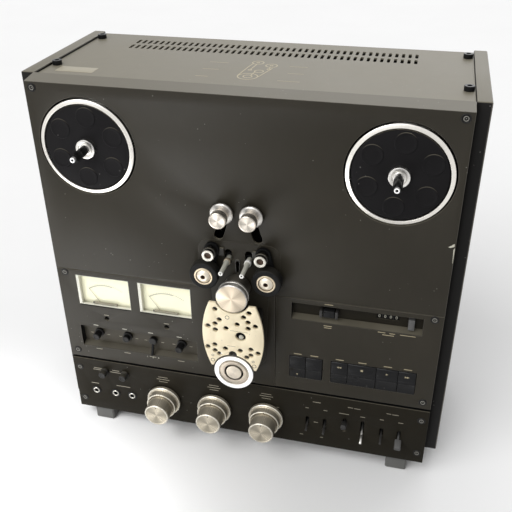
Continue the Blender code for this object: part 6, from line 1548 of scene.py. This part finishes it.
def counter_and_cue():
    z, (left, right, _, _) = middle("cue_lever")[1], span("cue_lever")
    floor, face = -RECESS_DEPTH, reach("cue_lever")[1]
    rise, tip, pivot = 0.0065, 0.0039, 0.0025
    profile = [(floor - pivot, z - pivot), (floor - pivot, z + pivot), (floor, z + rise), (face, z + tip)]
    profile += [(face - 0.0010, z + tip * 0.5), (face - 0.0014, z), (face - 0.0010, z - tip * 0.5)]
    profile += [(face, z - tip), (floor, z - rise)]
    body = plate("black_gloss", fillet(profile, 0.0005), left, right, 0.0004, along_x, both=True)
    piece("cue_rocker", "cue_lever", [body], ["cue_lever"])
    box, (back, front) = span("counter_reset"), reach("counter_reset")
    dish = fillet(roomy(box, -0.0012, -0.002), 0.001)
    parts = [
        plate("lever_grey", fillet(rectangle(*box), 0.0006), back, front, 0.0006),
        plate("lever_grey", dish, front - FINE, front + FINE / 4, FINE / 4),
    ]
    piece("reset_key", "counter_reset", parts, ["counter_reset"])
    left, right, low, high = COUNTER
    cell, floor = (right - left) / 4, -RECESS_DEPTH - COUNTER_POCKET
    parts = []
    for i in range(4):
        x = left + cell * (i + 0.5)
        parts.append((digit("0", (x, (low + high) / 2), COUNTER_FIGURE, floor), "print_white"))
        if i:
            bar = rectangle(x - cell / 2 - 0.0002, x - cell / 2 + 0.0002, low, high)
            parts.append(plate("lever_dark", bar, floor - OVERLAP, floor + OVERLAP))
    piece("counter_digits", "deck", parts)


def digit(text, centre, height, out, depth=FINE / 2):
    """Plain figures made from Blender's own font as a mesh."""
    curve = bpy.data.curves.new("figure", "FONT")
    curve.body, curve.size, curve.extrude = text, height / 0.72, depth
    curve.align_x, curve.align_y = "CENTER", "CENTER"
    curve.resolution_u = 3
    obj = add_object("figure", curve)
    shape = evaluated_shape(obj)
    bpy.data.objects.remove(obj)
    bpy.data.curves.remove(curve)
    bmesh.ops.remove_doubles(shape, verts=shape.verts, dist=1e-6)
    xs, ys = [[vert.co[axis] for vert in shape.verts] for axis in (0, 1)]
    x, z = centre[0] - (min(xs) + max(xs)) / 2, centre[1] - (min(ys) + max(ys)) / 2
    return placed(shape, lambda a, b, c: facing(x + a, z + b, out + c))


BUTTON_OUT = 0.0010
BUTTON_DEPTH = 0.009
BUTTON_RIDGE = 0.0029


def buttons():
    out, ridge = BUTTON_OUT, BUTTON_RIDGE
    for name in BUTTON_NAMES:
        node = f"{name}_button"
        left, right, bottom, top = span(node)
        (back, front), (x, z) = reach(node), middle(node)
        half, body_back = (top - bottom) / 2, out - BUTTON_DEPTH
        profile = [(body_back, z - half), (out - 0.0006, z - half), (out, z - half + 0.0006), (out, z - ridge)]
        steps = [t / 8 for t in range(1, 8)]
        profile += [(out + (front - out) * math.sin(math.pi * t), z - ridge + ridge * 2 * t) for t in steps]
        profile += [(out, z + ridge), (out, z + half - 0.0006), (out - 0.0006, z + half), (body_back, z + half)]
        parts = [
            plate("black_gloss", profile, left, right, 0.0005, along_x, both=True),
            plate("black_satin", block(x, z, 0.0035, 0.0035), back, body_back + OVERLAP),
        ]
        parts += [printing("print_tan", outline, out) for outline in button_marks(name, x, z)]
        piece(f"{name}_key", node, parts, [node])


MARK_HALF = 0.0013
# How far the arrows on a key lie from its middle, and the way they point
ARROWS = {"rewind": (-1, -0.0014, 0.0010), "play": (1, 0.0), "forward": (1, -0.0010, 0.0014)}


def button_marks(name, x, z):
    """Direction arrows near the top of a key, or a dot low on the recording one."""
    high, size = z + 0.0083, MARK_HALF
    if name == "record":
        return [circle((x, z - 0.0096), 0.0010, TINY_ROUND)]
    if name == "stop":
        return [block(x, high, size, size)]
    way, *shifts = ARROWS.get(name, (1,))
    tails = [(x + shift - way * size, x + shift + way * size) for shift in shifts]
    return [[(tail, high - size), (tip, high), (tail, high + size)] for tail, tip in tails]


LEVEL_GRIP = 0.0180
LEVEL_FOOT = 0.0010


def level_controls():
    for name in LEVELS:
        ring, knob = f"{name}_ring", f"{name}_knob"
        centre, rim, (back, front) = middle(ring), half_width(ring), reach(ring)
        grip, foot, base = LEVEL_GRIP, LEVEL_FOOT, reach(ring)[1] + OVERLAP
        x, z = centre
        profile = [(0.0033, front - 0.0004), (0.0033, back), (0.005, back), (0.005, foot), (rim - 0.0004, foot)]
        profile += [(rim, foot + 0.0005), (rim, 0.0046), (rim - 0.0010, 0.0055), (grip + 0.0006, 0.0055)]
        profile += [(grip, 0.0061), (grip - 0.0002, front - 0.0007), (grip - 0.0009, front), (grip - 0.0020, front)]
        profile += [(grip - 0.0022, front - 0.0004)]
        lip = [(rim - 0.0012, 0.0040), (rim - 0.00005, 0.0040), (rim - 0.00005, 0.0048)]
        lip += [(rim - 0.0009, 0.0056), (rim - 0.0014, 0.0056)]
        crest = at_out(
            front, (grip - 0.0011, -0.0010), (grip - 0.00005, -0.0012), (grip - 0.0001, -0.0004),
            (grip - 0.0008, 0.00005), (grip - 0.0014, 0.00005),
        )
        mark = rectangle(x - 0.0004, x + 0.0004, z + 0.0160, z + 0.0178)
        parts = [
            turned("champagne", profile, centre, FULL_ROUND, 0.0003),
            turned("champagne_rim", lip, centre, FULL_ROUND, 0.0002),
            turned("champagne_rim", crest, centre, FULL_ROUND, 0.0002),
            printing("black_satin", mark, front, FINE / 2),
        ]
        piece(f"{name}_wheel", ring, parts, [ring])
        wide, (back, front) = half_width(knob), reach(knob)
        tip = wide - 0.0005
        profile = [(0, back), (0.003, back), (0.003, base), (wide, base), (wide, base + 0.0004)]
        profile += at_out(
            front, (tip, -0.0008), (tip - 0.0007, 0), (tip - 0.0019, 0), (tip - 0.0022, -0.0004), (0, -0.0004)
        )
        crest = at_out(
            front, (tip - 0.0012, -0.0010), (tip + 0.00002, -0.0012), (tip - 0.0001, -0.0005),
            (tip - 0.0008, 0.00005), (tip - 0.0018, 0.00005),
        )
        mark = rectangle(x - 0.0004, x + 0.0004, z + tip - 0.0042, z + tip - 0.0021)
        parts = [
            turned("champagne", profile, centre, FULL_ROUND, 0.0003),
            turned("champagne_rim", crest, centre, FULL_ROUND, 0.0002),
            plate("black_satin", mark, front - 0.0006, front - 0.0003),
        ]
        piece(f"{name}_cap", knob, parts, [knob])


def jacks():
    back, front = reach("jack_block")
    plate_front = front - 0.016
    tube = rectangle(0.0022, 0.0049, plate_front - OVERLAP, 0.0010)
    rim = [(0.0026, 0.0004), (0.0042, 0.0004), (0.0042, 0.0013), (0.0036, 0.0018), (0.0029, 0.0016), (0.0026, 0.0010)]
    nut = [(0.0042, -0.0006), (0.0058, -0.0006), (0.0058, 0.0006), (0.0042, 0.0008)]
    parts = [plate("plated_steel", rectangle(*span("jack_block")), back, plate_front)]
    rings = (("black_gloss", tube, 0.0002), ("jack_ring", rim, 0.0003), ("black_satin", nut, 0.0002))
    for x in JACK_XS:
        parts += [turned(looks, profile, (x, JACK_Z), SMALL_ROUND, soft) for looks, profile, soft in rings]
    piece("jack_barrels", "deck", parts, ["jack_block"])


def lever_switches():
    for number, (x, z, _, tilt, half, rise, start, end, looks) in enumerate(SWITCH_TABLE, 1):
        cos, sin = math.cos(math.radians(tilt)), math.sin(math.radians(tilt))

        def along_lever(u, v, w):
            return facing(x + u, z + v * cos + w * sin, SWITCH_PIVOT + w * cos - v * sin)

        def across_lever(u, v, w):
            return along_lever(w, u, v)

        corner, wide = min(half, rise), half > 0.002
        hub = circle((0, 0), SWITCH_HUB)
        stem, grip = block(0, 0, SWITCH_STEM, SWITCH_STEM), fillet(block(0, 0, half, rise), corner * 0.8, 4)
        parts = [
            plate("arm_dark", hub, -SWITCH_HUB, SWITCH_HUB, FINE, across_lever, both=True),
            plate(looks, fillet(stem, 0.0004), 0, start + 0.001, 0.0, along_lever),
            plate(looks, grip, start, end, corner * (0.35 if wide else 0.5), along_lever, both=True),
        ]
        node = f"lever_switch_{number}"
        piece(f"lever_{number}", node, parts, [node])


# Prints

# Plain rules where a control has its label: X, Z and width, by ink
LEVER_RULES = (
    (0.0885, 0.0664, 0.0095), (0.0777, 0.0560, 0.0040), (0.0989, 0.0560, 0.0045), (0.0885, 0.0358, 0.0050),
    (0.0720, 0.0135, 0.0040), (0.0960, 0.0134, 0.0035), (0.1270, 0.0664, 0.0060), (0.1348, 0.0661, 0.0070),
    (0.1203, 0.0557, 0.0115), (0.1416, 0.0552, 0.0055), (0.1700, 0.0664, 0.0050), (0.1775, 0.0660, 0.0070),
    (0.1631, 0.0559, 0.0045), (0.1842, 0.0555, 0.0055),
)
RECESS_RULES = (
    (0.0965, 0.1755, 0.0090), (0.0965, 0.1730, 0.0080), (0.0965, 0.2030, 0.0090), (0.1530, 0.1770, 0.0080),
    (0.1640, 0.1768, 0.0060), (0.1600, 0.1742, 0.0120), (0.1800, 0.1768, 0.0160),
)
AMPLIFIER_RULES = (
    (-0.1815, 0.0655, 0.0120), (-0.1815, 0.0630, 0.0140), (-0.1590, 0.0655, 0.0090), (-0.1590, 0.0625, 0.0150),
    (-0.1890, 0.0405, 0.0100), (-0.1515, 0.0420, 0.0180), (0.0420, 0.0490, 0.0050), (0.0420, 0.0290, 0.0050),
)
LEVEL_RULES = ((0.0668, 0.0120), (0.0635, 0.0160), (0.0600, 0.0110))
# Heights of the rules at the keys, at the left recess and in it, and under the meters
KEY_RULE_Z = 0.1325
RECESS_RULE_ZS = (0.1315, 0.0965, 0.1135)
SIDE_RULE_SHIFT = 0.0105
METER_RULE_Z = 0.1480
# Printed rings and rules on the head cover
COVER_RINGS = (
    (-0.0055, 0.1912, 0.0024), (-0.0232, 0.1382, 0.0015), (-0.0235, 0.1318, 0.0023), (0.0219, 0.1370, 0.0015),
    (0.0231, 0.1309, 0.0023),
)
COVER_RULES = ((0.0070, 0.1748, 0.0190), (-0.0020, 0.1540, 0.0095))


def rule(ink, x, z, width, height=0.0008, out=0.0):
    """A short plain rule where a control has its label."""
    return printing(ink, fillet(block(x, z, width / 2, height / 2), height / 3), out, FINE / 3)


def printed_marks():
    parts = [rule("print_tan", *mark) for mark in RECESS_RULES]
    parts += [rule("print_grey", *mark) for mark in LEVER_RULES + AMPLIFIER_RULES]
    parts += [rule("print_tan", middle(f"{name}_button")[0], KEY_RULE_Z, 0.0088, 0.0010) for name in BUTTON_NAMES]
    over, under, beside = RECESS_RULE_ZS
    for x in [middle(node)[0] for node in RECESS_CONTROLS]:
        parts += [rule("print_white", x, over, 0.0060, 0.0007), rule("print_grey", x, under, 0.0080)]
        for side in (-1, 1):
            parts.append(rule("print_grey", x + side * SIDE_RULE_SHIFT, beside, 0.0035, 0.0007, -RECESS_DEPTH))
    parts += [rule("print_grey", sum(window) / 2, METER_RULE_Z, 0.0060) for window in METER_WINDOWS]
    for x in [middle(f"{name}_ring")[0] for name in LEVELS]:
        parts += [rule("print_grey", x, z, width, 0.0007) for z, width in LEVEL_RULES]
    x = middle("speed_lever")[0]
    for i, text in enumerate("123"):
        figure = digit(text, (x - 0.007 + 0.007 * i, 0.0958), sizes().mark_height, 0.0, FINE / 3)
        parts.append((figure, "print_white"))
    piece("panel_prints", "deck", parts)
    front = reach("head_cover")[1]
    marks = []
    for x, z, size in COVER_RINGS:
        ring = rectangle(size - 0.0005, size, front - FINE, front + FINE / 3)
        marks.append(turned("print_black", ring, (x, z), TINY_ROUND, 0.0))
    marks += [rule("cover_line", *mark, 0.0005, front) for mark in COVER_RULES]
    piece("cover_prints", "deck", marks)


# The drawing on the top cover, X and distance behind the panels: rings with their radii, and lines between points
DRAWN_RINGS = (
    (-0.003, 0.060, 0.0105), (-0.003, 0.060, 0.0050), (0.004, 0.079, 0.0050), (-0.006, 0.082, 0.0022),
    (0.012, 0.088, 0.0022), (-0.004, 0.109, 0.0065), (0.012, 0.101, 0.0065), (-0.004, 0.109, 0.0020),
    (0.012, 0.101, 0.0020),
)
DRAWN_LINES = (
    (-0.0135, 0.060, -0.0100, 0.095), (0.0075, 0.060, 0.0150, 0.092), (-0.0100, 0.095, -0.0080, 0.106),
    (-0.0008, 0.064, 0.0005, 0.076), (-0.0040, 0.103, -0.0060, 0.084), (0.0120, 0.095, 0.0120, 0.090),
)
DRAWN_RULES = (
    (-0.0443, 0.102, 0.0200), (-0.0461, 0.077, 0.0170), (-0.0480, 0.052, 0.0130), (0.0400, 0.102, 0.0190),
    (0.0416, 0.078, 0.0160), (0.0397, 0.052, 0.0220),
)


def stroke(x1, y1, x2, y2, width=0.0011):
    """A straight line of the drawing on the top cover."""
    first, last = Vector((x1, -y1)), Vector((x2, -y2))
    along = (last - first).normalized() * width / 2
    side = Vector((-along.y, along.x))
    corners = [tuple(corner) for corner in (first + side, first - side, last - side, last + side)]
    return printing("print_tan", corners, PANEL_TOP, FINE / 3, upright)


def threading_diagram():
    """A plain line drawing of the tape's way past rollers, on the cover in front of the vents."""
    parts = []
    for x, y, radius in DRAWN_RINGS:
        outlines = [circle((x, -y), radius), circle((x, -y), radius - 0.0012)]
        parts.append(printing("print_tan", outlines, PANEL_TOP, to_frame=upright))
    parts += [stroke(*line) for line in DRAWN_LINES]
    parts += [stroke(x - width / 2, y, x + width / 2, y, 0.0008) for x, y, width in DRAWN_RULES]
    piece("threading_diagram", "deck", parts)


# Chips in the paint at the right edge of the reel panel: corner points as X and Z
CHIPS = (
    [(0.2125, 0.2910), (0.2100, 0.2890), (0.2068, 0.2868), (0.2090, 0.2862), (0.2125, 0.2878)],
    [(0.2131, 0.2865), (0.2120, 0.2845), (0.2128, 0.2700), (0.2131, 0.2690)],
)


def paint_chips():
    piece("paint_chips", "deck", [printing("print_white", chip, 0.0, FINE / 3) for chip in CHIPS])


# Stage

EYE = (0.172470, -0.703046, 0.645983)
FORWARD = (-0.210547, 0.832417, -0.512594)
UP = (-0.114973, 0.499624, 0.858579)
LENS = 49.87
FLOOR_HALF = 6.0
SKY = 0.48
# Each lamp: where it shines towards, its strength and how many degrees wide it is
LAMPS = {"key": ((0.55, 0.85, -0.95), 1.85, 50), "back": ((-0.1, -0.9, -0.75), 1.1, 60)}
# A lamp close over the floor at the front left: its place, size, power and how far it spreads
FLOOR_LAMP = ((-0.34, -0.44, 0.40), 0.3, 3.0, 90)
# Left, right, near and far edges of the ground that throws hardly any light up at the deck
DARK_GROUND = (0.03, 0.62, -0.44, -0.129)


def seen_directly(tree):
    """1 for a ray that comes from the camera, straight or through a reflection or glass."""
    path = add_node(tree, "ShaderNodeLightPath").outputs
    first = math_node(tree, "MAXIMUM", path["Is Camera Ray"], path["Is Glossy Ray"])
    return math_node(tree, "MAXIMUM", first, path["Is Transmission Ray"])


def inside_box(tree, coordinates, box):
    """1 where the place on the floor lies inside the box."""
    split = add_node(tree, "ShaderNodeSeparateXYZ", {0: coordinates})
    inside = 1.0
    for axis, (low, high) in enumerate((box[:2], box[2:])):
        for operation, limit in (("GREATER_THAN", low), ("LESS_THAN", high)):
            inside = math_node(tree, "MULTIPLY", math_node(tree, operation, split.outputs[axis], limit), inside)
    return inside


def pale_floor():
    material, tree, shader = new_material("pale_floor", Roughness=0.9, Specular_IOR_Level=0.0)
    coordinates = add_node(tree, "ShaderNodeTexCoord").outputs["Object"]
    pale = mix_colours(tree, noise_node(tree, coordinates, 3.0), (0.84, 0.84, 0.84), (0.88, 0.88, 0.88))
    bounce = mix_colours(tree, inside_box(tree, coordinates, DARK_GROUND), (0.62, 0.62, 0.62), (0.01, 0.01, 0.01))
    feed(tree, shader, {"Base Color": mix_colours(tree, seen_directly(tree), bounce, pale)})
    mesh = bpy.data.meshes.new("floor")
    corners = [(x, y, 0) for x, y in block(0, 0, FLOOR_HALF, FLOOR_HALF)]
    mesh.from_pydata(corners, [], [(0, 1, 2, 3)])
    mesh.materials.append(material)
    floor = add_object("floor", mesh)


def add_lamps():
    for name, (towards, strength, spread) in LAMPS.items():
        lamp = bpy.data.lights.new(name, "SUN")
        lamp.energy, lamp.angle = strength, math.radians(spread)
        add_object(name, lamp).rotation_euler = Vector(towards).to_track_quat("-Z", "Y").to_euler()
    place, size, power, spread = FLOOR_LAMP
    lamp = bpy.data.lights.new("floor_lamp", "AREA")
    lamp.shape, lamp.size, lamp.energy, lamp.spread = "DISK", size, power, math.radians(spread)
    add_object("floor_lamp", lamp).location = place


def add_background():
    world = bpy.data.worlds.new("studio")
    world.use_nodes = True
    tree = world.node_tree
    white = (1, 1, 1, 1)
    feed(tree, tree.nodes["Background"], {"Color": white, "Strength": SKY})
    bright = add_node(tree, "ShaderNodeBackground", {"Color": white, "Strength": 1.0})
    shaders = {0: seen_directly(tree), 1: tree.nodes["Background"], 2: bright}
    feed(tree, tree.nodes["World Output"], {"Surface": add_node(tree, "ShaderNodeMixShader", shaders)})
    bpy.context.scene.world = world


def add_camera():
    view = bpy.data.cameras.new("view")
    view.lens = LENS
    camera = add_object("view", view)
    forward, up = Vector(FORWARD).normalized(), Vector(UP).normalized()
    right = forward.cross(up).normalized()
    turn = Matrix((right, right.cross(forward), -forward)).transposed()
    camera.matrix_world = Matrix.Translation(EYE) @ turn.to_4x4()
    bpy.context.scene.camera = camera
    bpy.context.scene.view_settings.view_transform = "Standard"


# Operators, panel and registration


class DECK_OT_casing(bpy.types.Operator):
    """Adds the side panels, the vented top cover, the rear panel and the feet"""

    bl_idname = "deck.casing"
    bl_label = "Casing"

    def execute(self, context):
        side_panels()
        top_cover()
        rear_and_bottom()
        return {"FINISHED"}


class DECK_OT_panels(bpy.types.Operator):
    """Adds the four front panels with their openings"""

    bl_idname = "deck.panels"
    bl_label = "Front panels"

    def execute(self, context):
        deck_plate()
        meter_plate()
        control_plate()
        amplifier_plate()
        return {"FINISHED"}


class DECK_OT_screws(bpy.types.Operator):
    """Adds the socket screws at the panels' corners"""

    bl_idname = "deck.screws"
    bl_label = "Panel screws"

    def execute(self, context):
        panel_screws()
        return {"FINISHED"}


class DECK_OT_reels(bpy.types.Operator):
    """Adds the rims, mats, hubs and locking spindles"""

    bl_idname = "deck.reels"
    bl_label = "Reel tables"

    def execute(self, context):
        reels()
        return {"FINISHED"}


class DECK_OT_tension(bpy.types.Operator):
    """Adds the flanged rollers on the tension arms"""

    bl_idname = "deck.tension"
    bl_label = "Tension rollers"

    def execute(self, context):
        tension_rollers()
        return {"FINISHED"}


class DECK_OT_pinch(bpy.types.Operator):
    """Adds the pinch levers and their dished wheels"""

    bl_idname = "deck.pinch"
    bl_label = "Pinch rollers"

    def execute(self, context):
        pinch_assemblies()
        return {"FINISHED"}


class DECK_OT_capstan(bpy.types.Operator):
    """Adds the wide stepped drive spindle"""

    bl_idname = "deck.capstan"
    bl_label = "Capstan"

    def execute(self, context):
        capstan()
        return {"FINISHED"}


class DECK_OT_lifter(bpy.types.Operator):
    """Adds two pins on a carriage"""

    bl_idname = "deck.lifter"
    bl_label = "Tape lifter"

    def execute(self, context):
        lifter()
        return {"FINISHED"}


class DECK_OT_bed(bpy.types.Operator):
    """Adds the base plate, the guides and the heads"""

    bl_idname = "deck.bed"
    bl_label = "Head base"

    def execute(self, context):
        head_base()
        return {"FINISHED"}


class DECK_OT_cover(bpy.types.Operator):
    """Adds the cream perforated cover"""

    bl_idname = "deck.cover"
    bl_label = "Head cover"

    def execute(self, context):
        head_cover()
        return {"FINISHED"}


class DECK_OT_roller(bpy.types.Operator):
    """Adds the large roller that turns the tape round"""

    bl_idname = "deck.roller"
    bl_label = "Return roller"

    def execute(self, context):
        reverse_roller()
        return {"FINISHED"}


class DECK_OT_meters(bpy.types.Operator):
    """Adds the twin level meters and their needles"""

    bl_idname = "deck.meters"
    bl_label = "Meters"

    def execute(self, context):
        meters()
        return {"FINISHED"}


class DECK_OT_knobs(bpy.types.Operator):
    """Adds the ribbed knobs and the speed pointer"""

    bl_idname = "deck.knobs"
    bl_label = "Small knobs"

    def execute(self, context):
        recess_controls()
        return {"FINISHED"}


class DECK_OT_counter(bpy.types.Operator):
    """Adds the counter digits, the reset key and the cue rocker"""

    bl_idname = "deck.counter"
    bl_label = "Counter and cue"

    def execute(self, context):
        counter_and_cue()
        return {"FINISHED"}


class DECK_OT_keys(bpy.types.Operator):
    """Adds six keys with a raised ridge"""

    bl_idname = "deck.keys"
    bl_label = "Transport keys"

    def execute(self, context):
        buttons()
        return {"FINISHED"}


class DECK_OT_levels(bpy.types.Operator):
    """Adds three dual level controls"""

    bl_idname = "deck.levels"
    bl_label = "Level controls"

    def execute(self, context):
        level_controls()
        return {"FINISHED"}


class DECK_OT_jacks(bpy.types.Operator):
    """Adds three phone jacks"""

    bl_idname = "deck.jacks"
    bl_label = "Jacks"

    def execute(self, context):
        jacks()
        return {"FINISHED"}


class DECK_OT_levers(bpy.types.Operator):
    """Adds six lever switches"""

    bl_idname = "deck.levers"
    bl_label = "Lever switches"

    def execute(self, context):
        lever_switches()
        return {"FINISHED"}


class DECK_OT_prints(bpy.types.Operator):
    """Adds the plain marks on the panels and covers"""

    bl_idname = "deck.prints"
    bl_label = "Prints"

    def execute(self, context):
        printed_marks()
        threading_diagram()
        paint_chips()
        return {"FINISHED"}


class DECK_OT_stage(bpy.types.Operator):
    """Adds the floor, the lamps, the background and the camera"""

    bl_idname = "deck.stage"
    bl_label = "Stage"

    def execute(self, context):
        pale_floor()
        add_lamps()
        add_background()
        add_camera()
        return {"FINISHED"}


OPERATORS = (
    DECK_OT_casing, DECK_OT_panels, DECK_OT_screws, DECK_OT_reels, DECK_OT_tension, DECK_OT_pinch, DECK_OT_capstan,
    DECK_OT_lifter, DECK_OT_bed, DECK_OT_cover, DECK_OT_roller, DECK_OT_meters, DECK_OT_knobs, DECK_OT_counter,
    DECK_OT_keys, DECK_OT_levels, DECK_OT_jacks, DECK_OT_levers, DECK_OT_prints, DECK_OT_stage,
)


class DECK_PT_sidebar(bpy.types.Panel):
    """Lists the deck's sizes, colours and builders"""

    bl_idname = "DECK_PT_sidebar"
    bl_label = "Tape deck"
    bl_space_type = "VIEW_3D"
    bl_region_type = "UI"
    bl_category = "Tape Deck"

    def draw(self, context):
        layout = self.layout
        for group in (context.scene.deck_sizes, context.scene.deck_colours):
            for key in group.bl_rna.properties.keys():
                if key not in ("rna_type", "name"):
                    layout.prop(group, key)
        for kind in OPERATORS:
            layout.operator(kind.bl_idname)


CLASSES = (DeckSizes, DeckColours, *OPERATORS, DECK_PT_sidebar)


def register():
    for kind in CLASSES:
        bpy.utils.register_class(kind)
    bpy.types.Scene.deck_sizes = bpy.props.PointerProperty(type=DeckSizes)
    bpy.types.Scene.deck_colours = bpy.props.PointerProperty(type=DeckColours)


def unregister():
    del bpy.types.Scene.deck_colours
    del bpy.types.Scene.deck_sizes
    for kind in reversed(CLASSES):
        bpy.utils.unregister_class(kind)


def main():
    register()
    for kind in OPERATORS:
        group, name = kind.bl_idname.split(".")
        getattr(getattr(bpy.ops, group), name)()


if __name__ == "__main__":
    main()
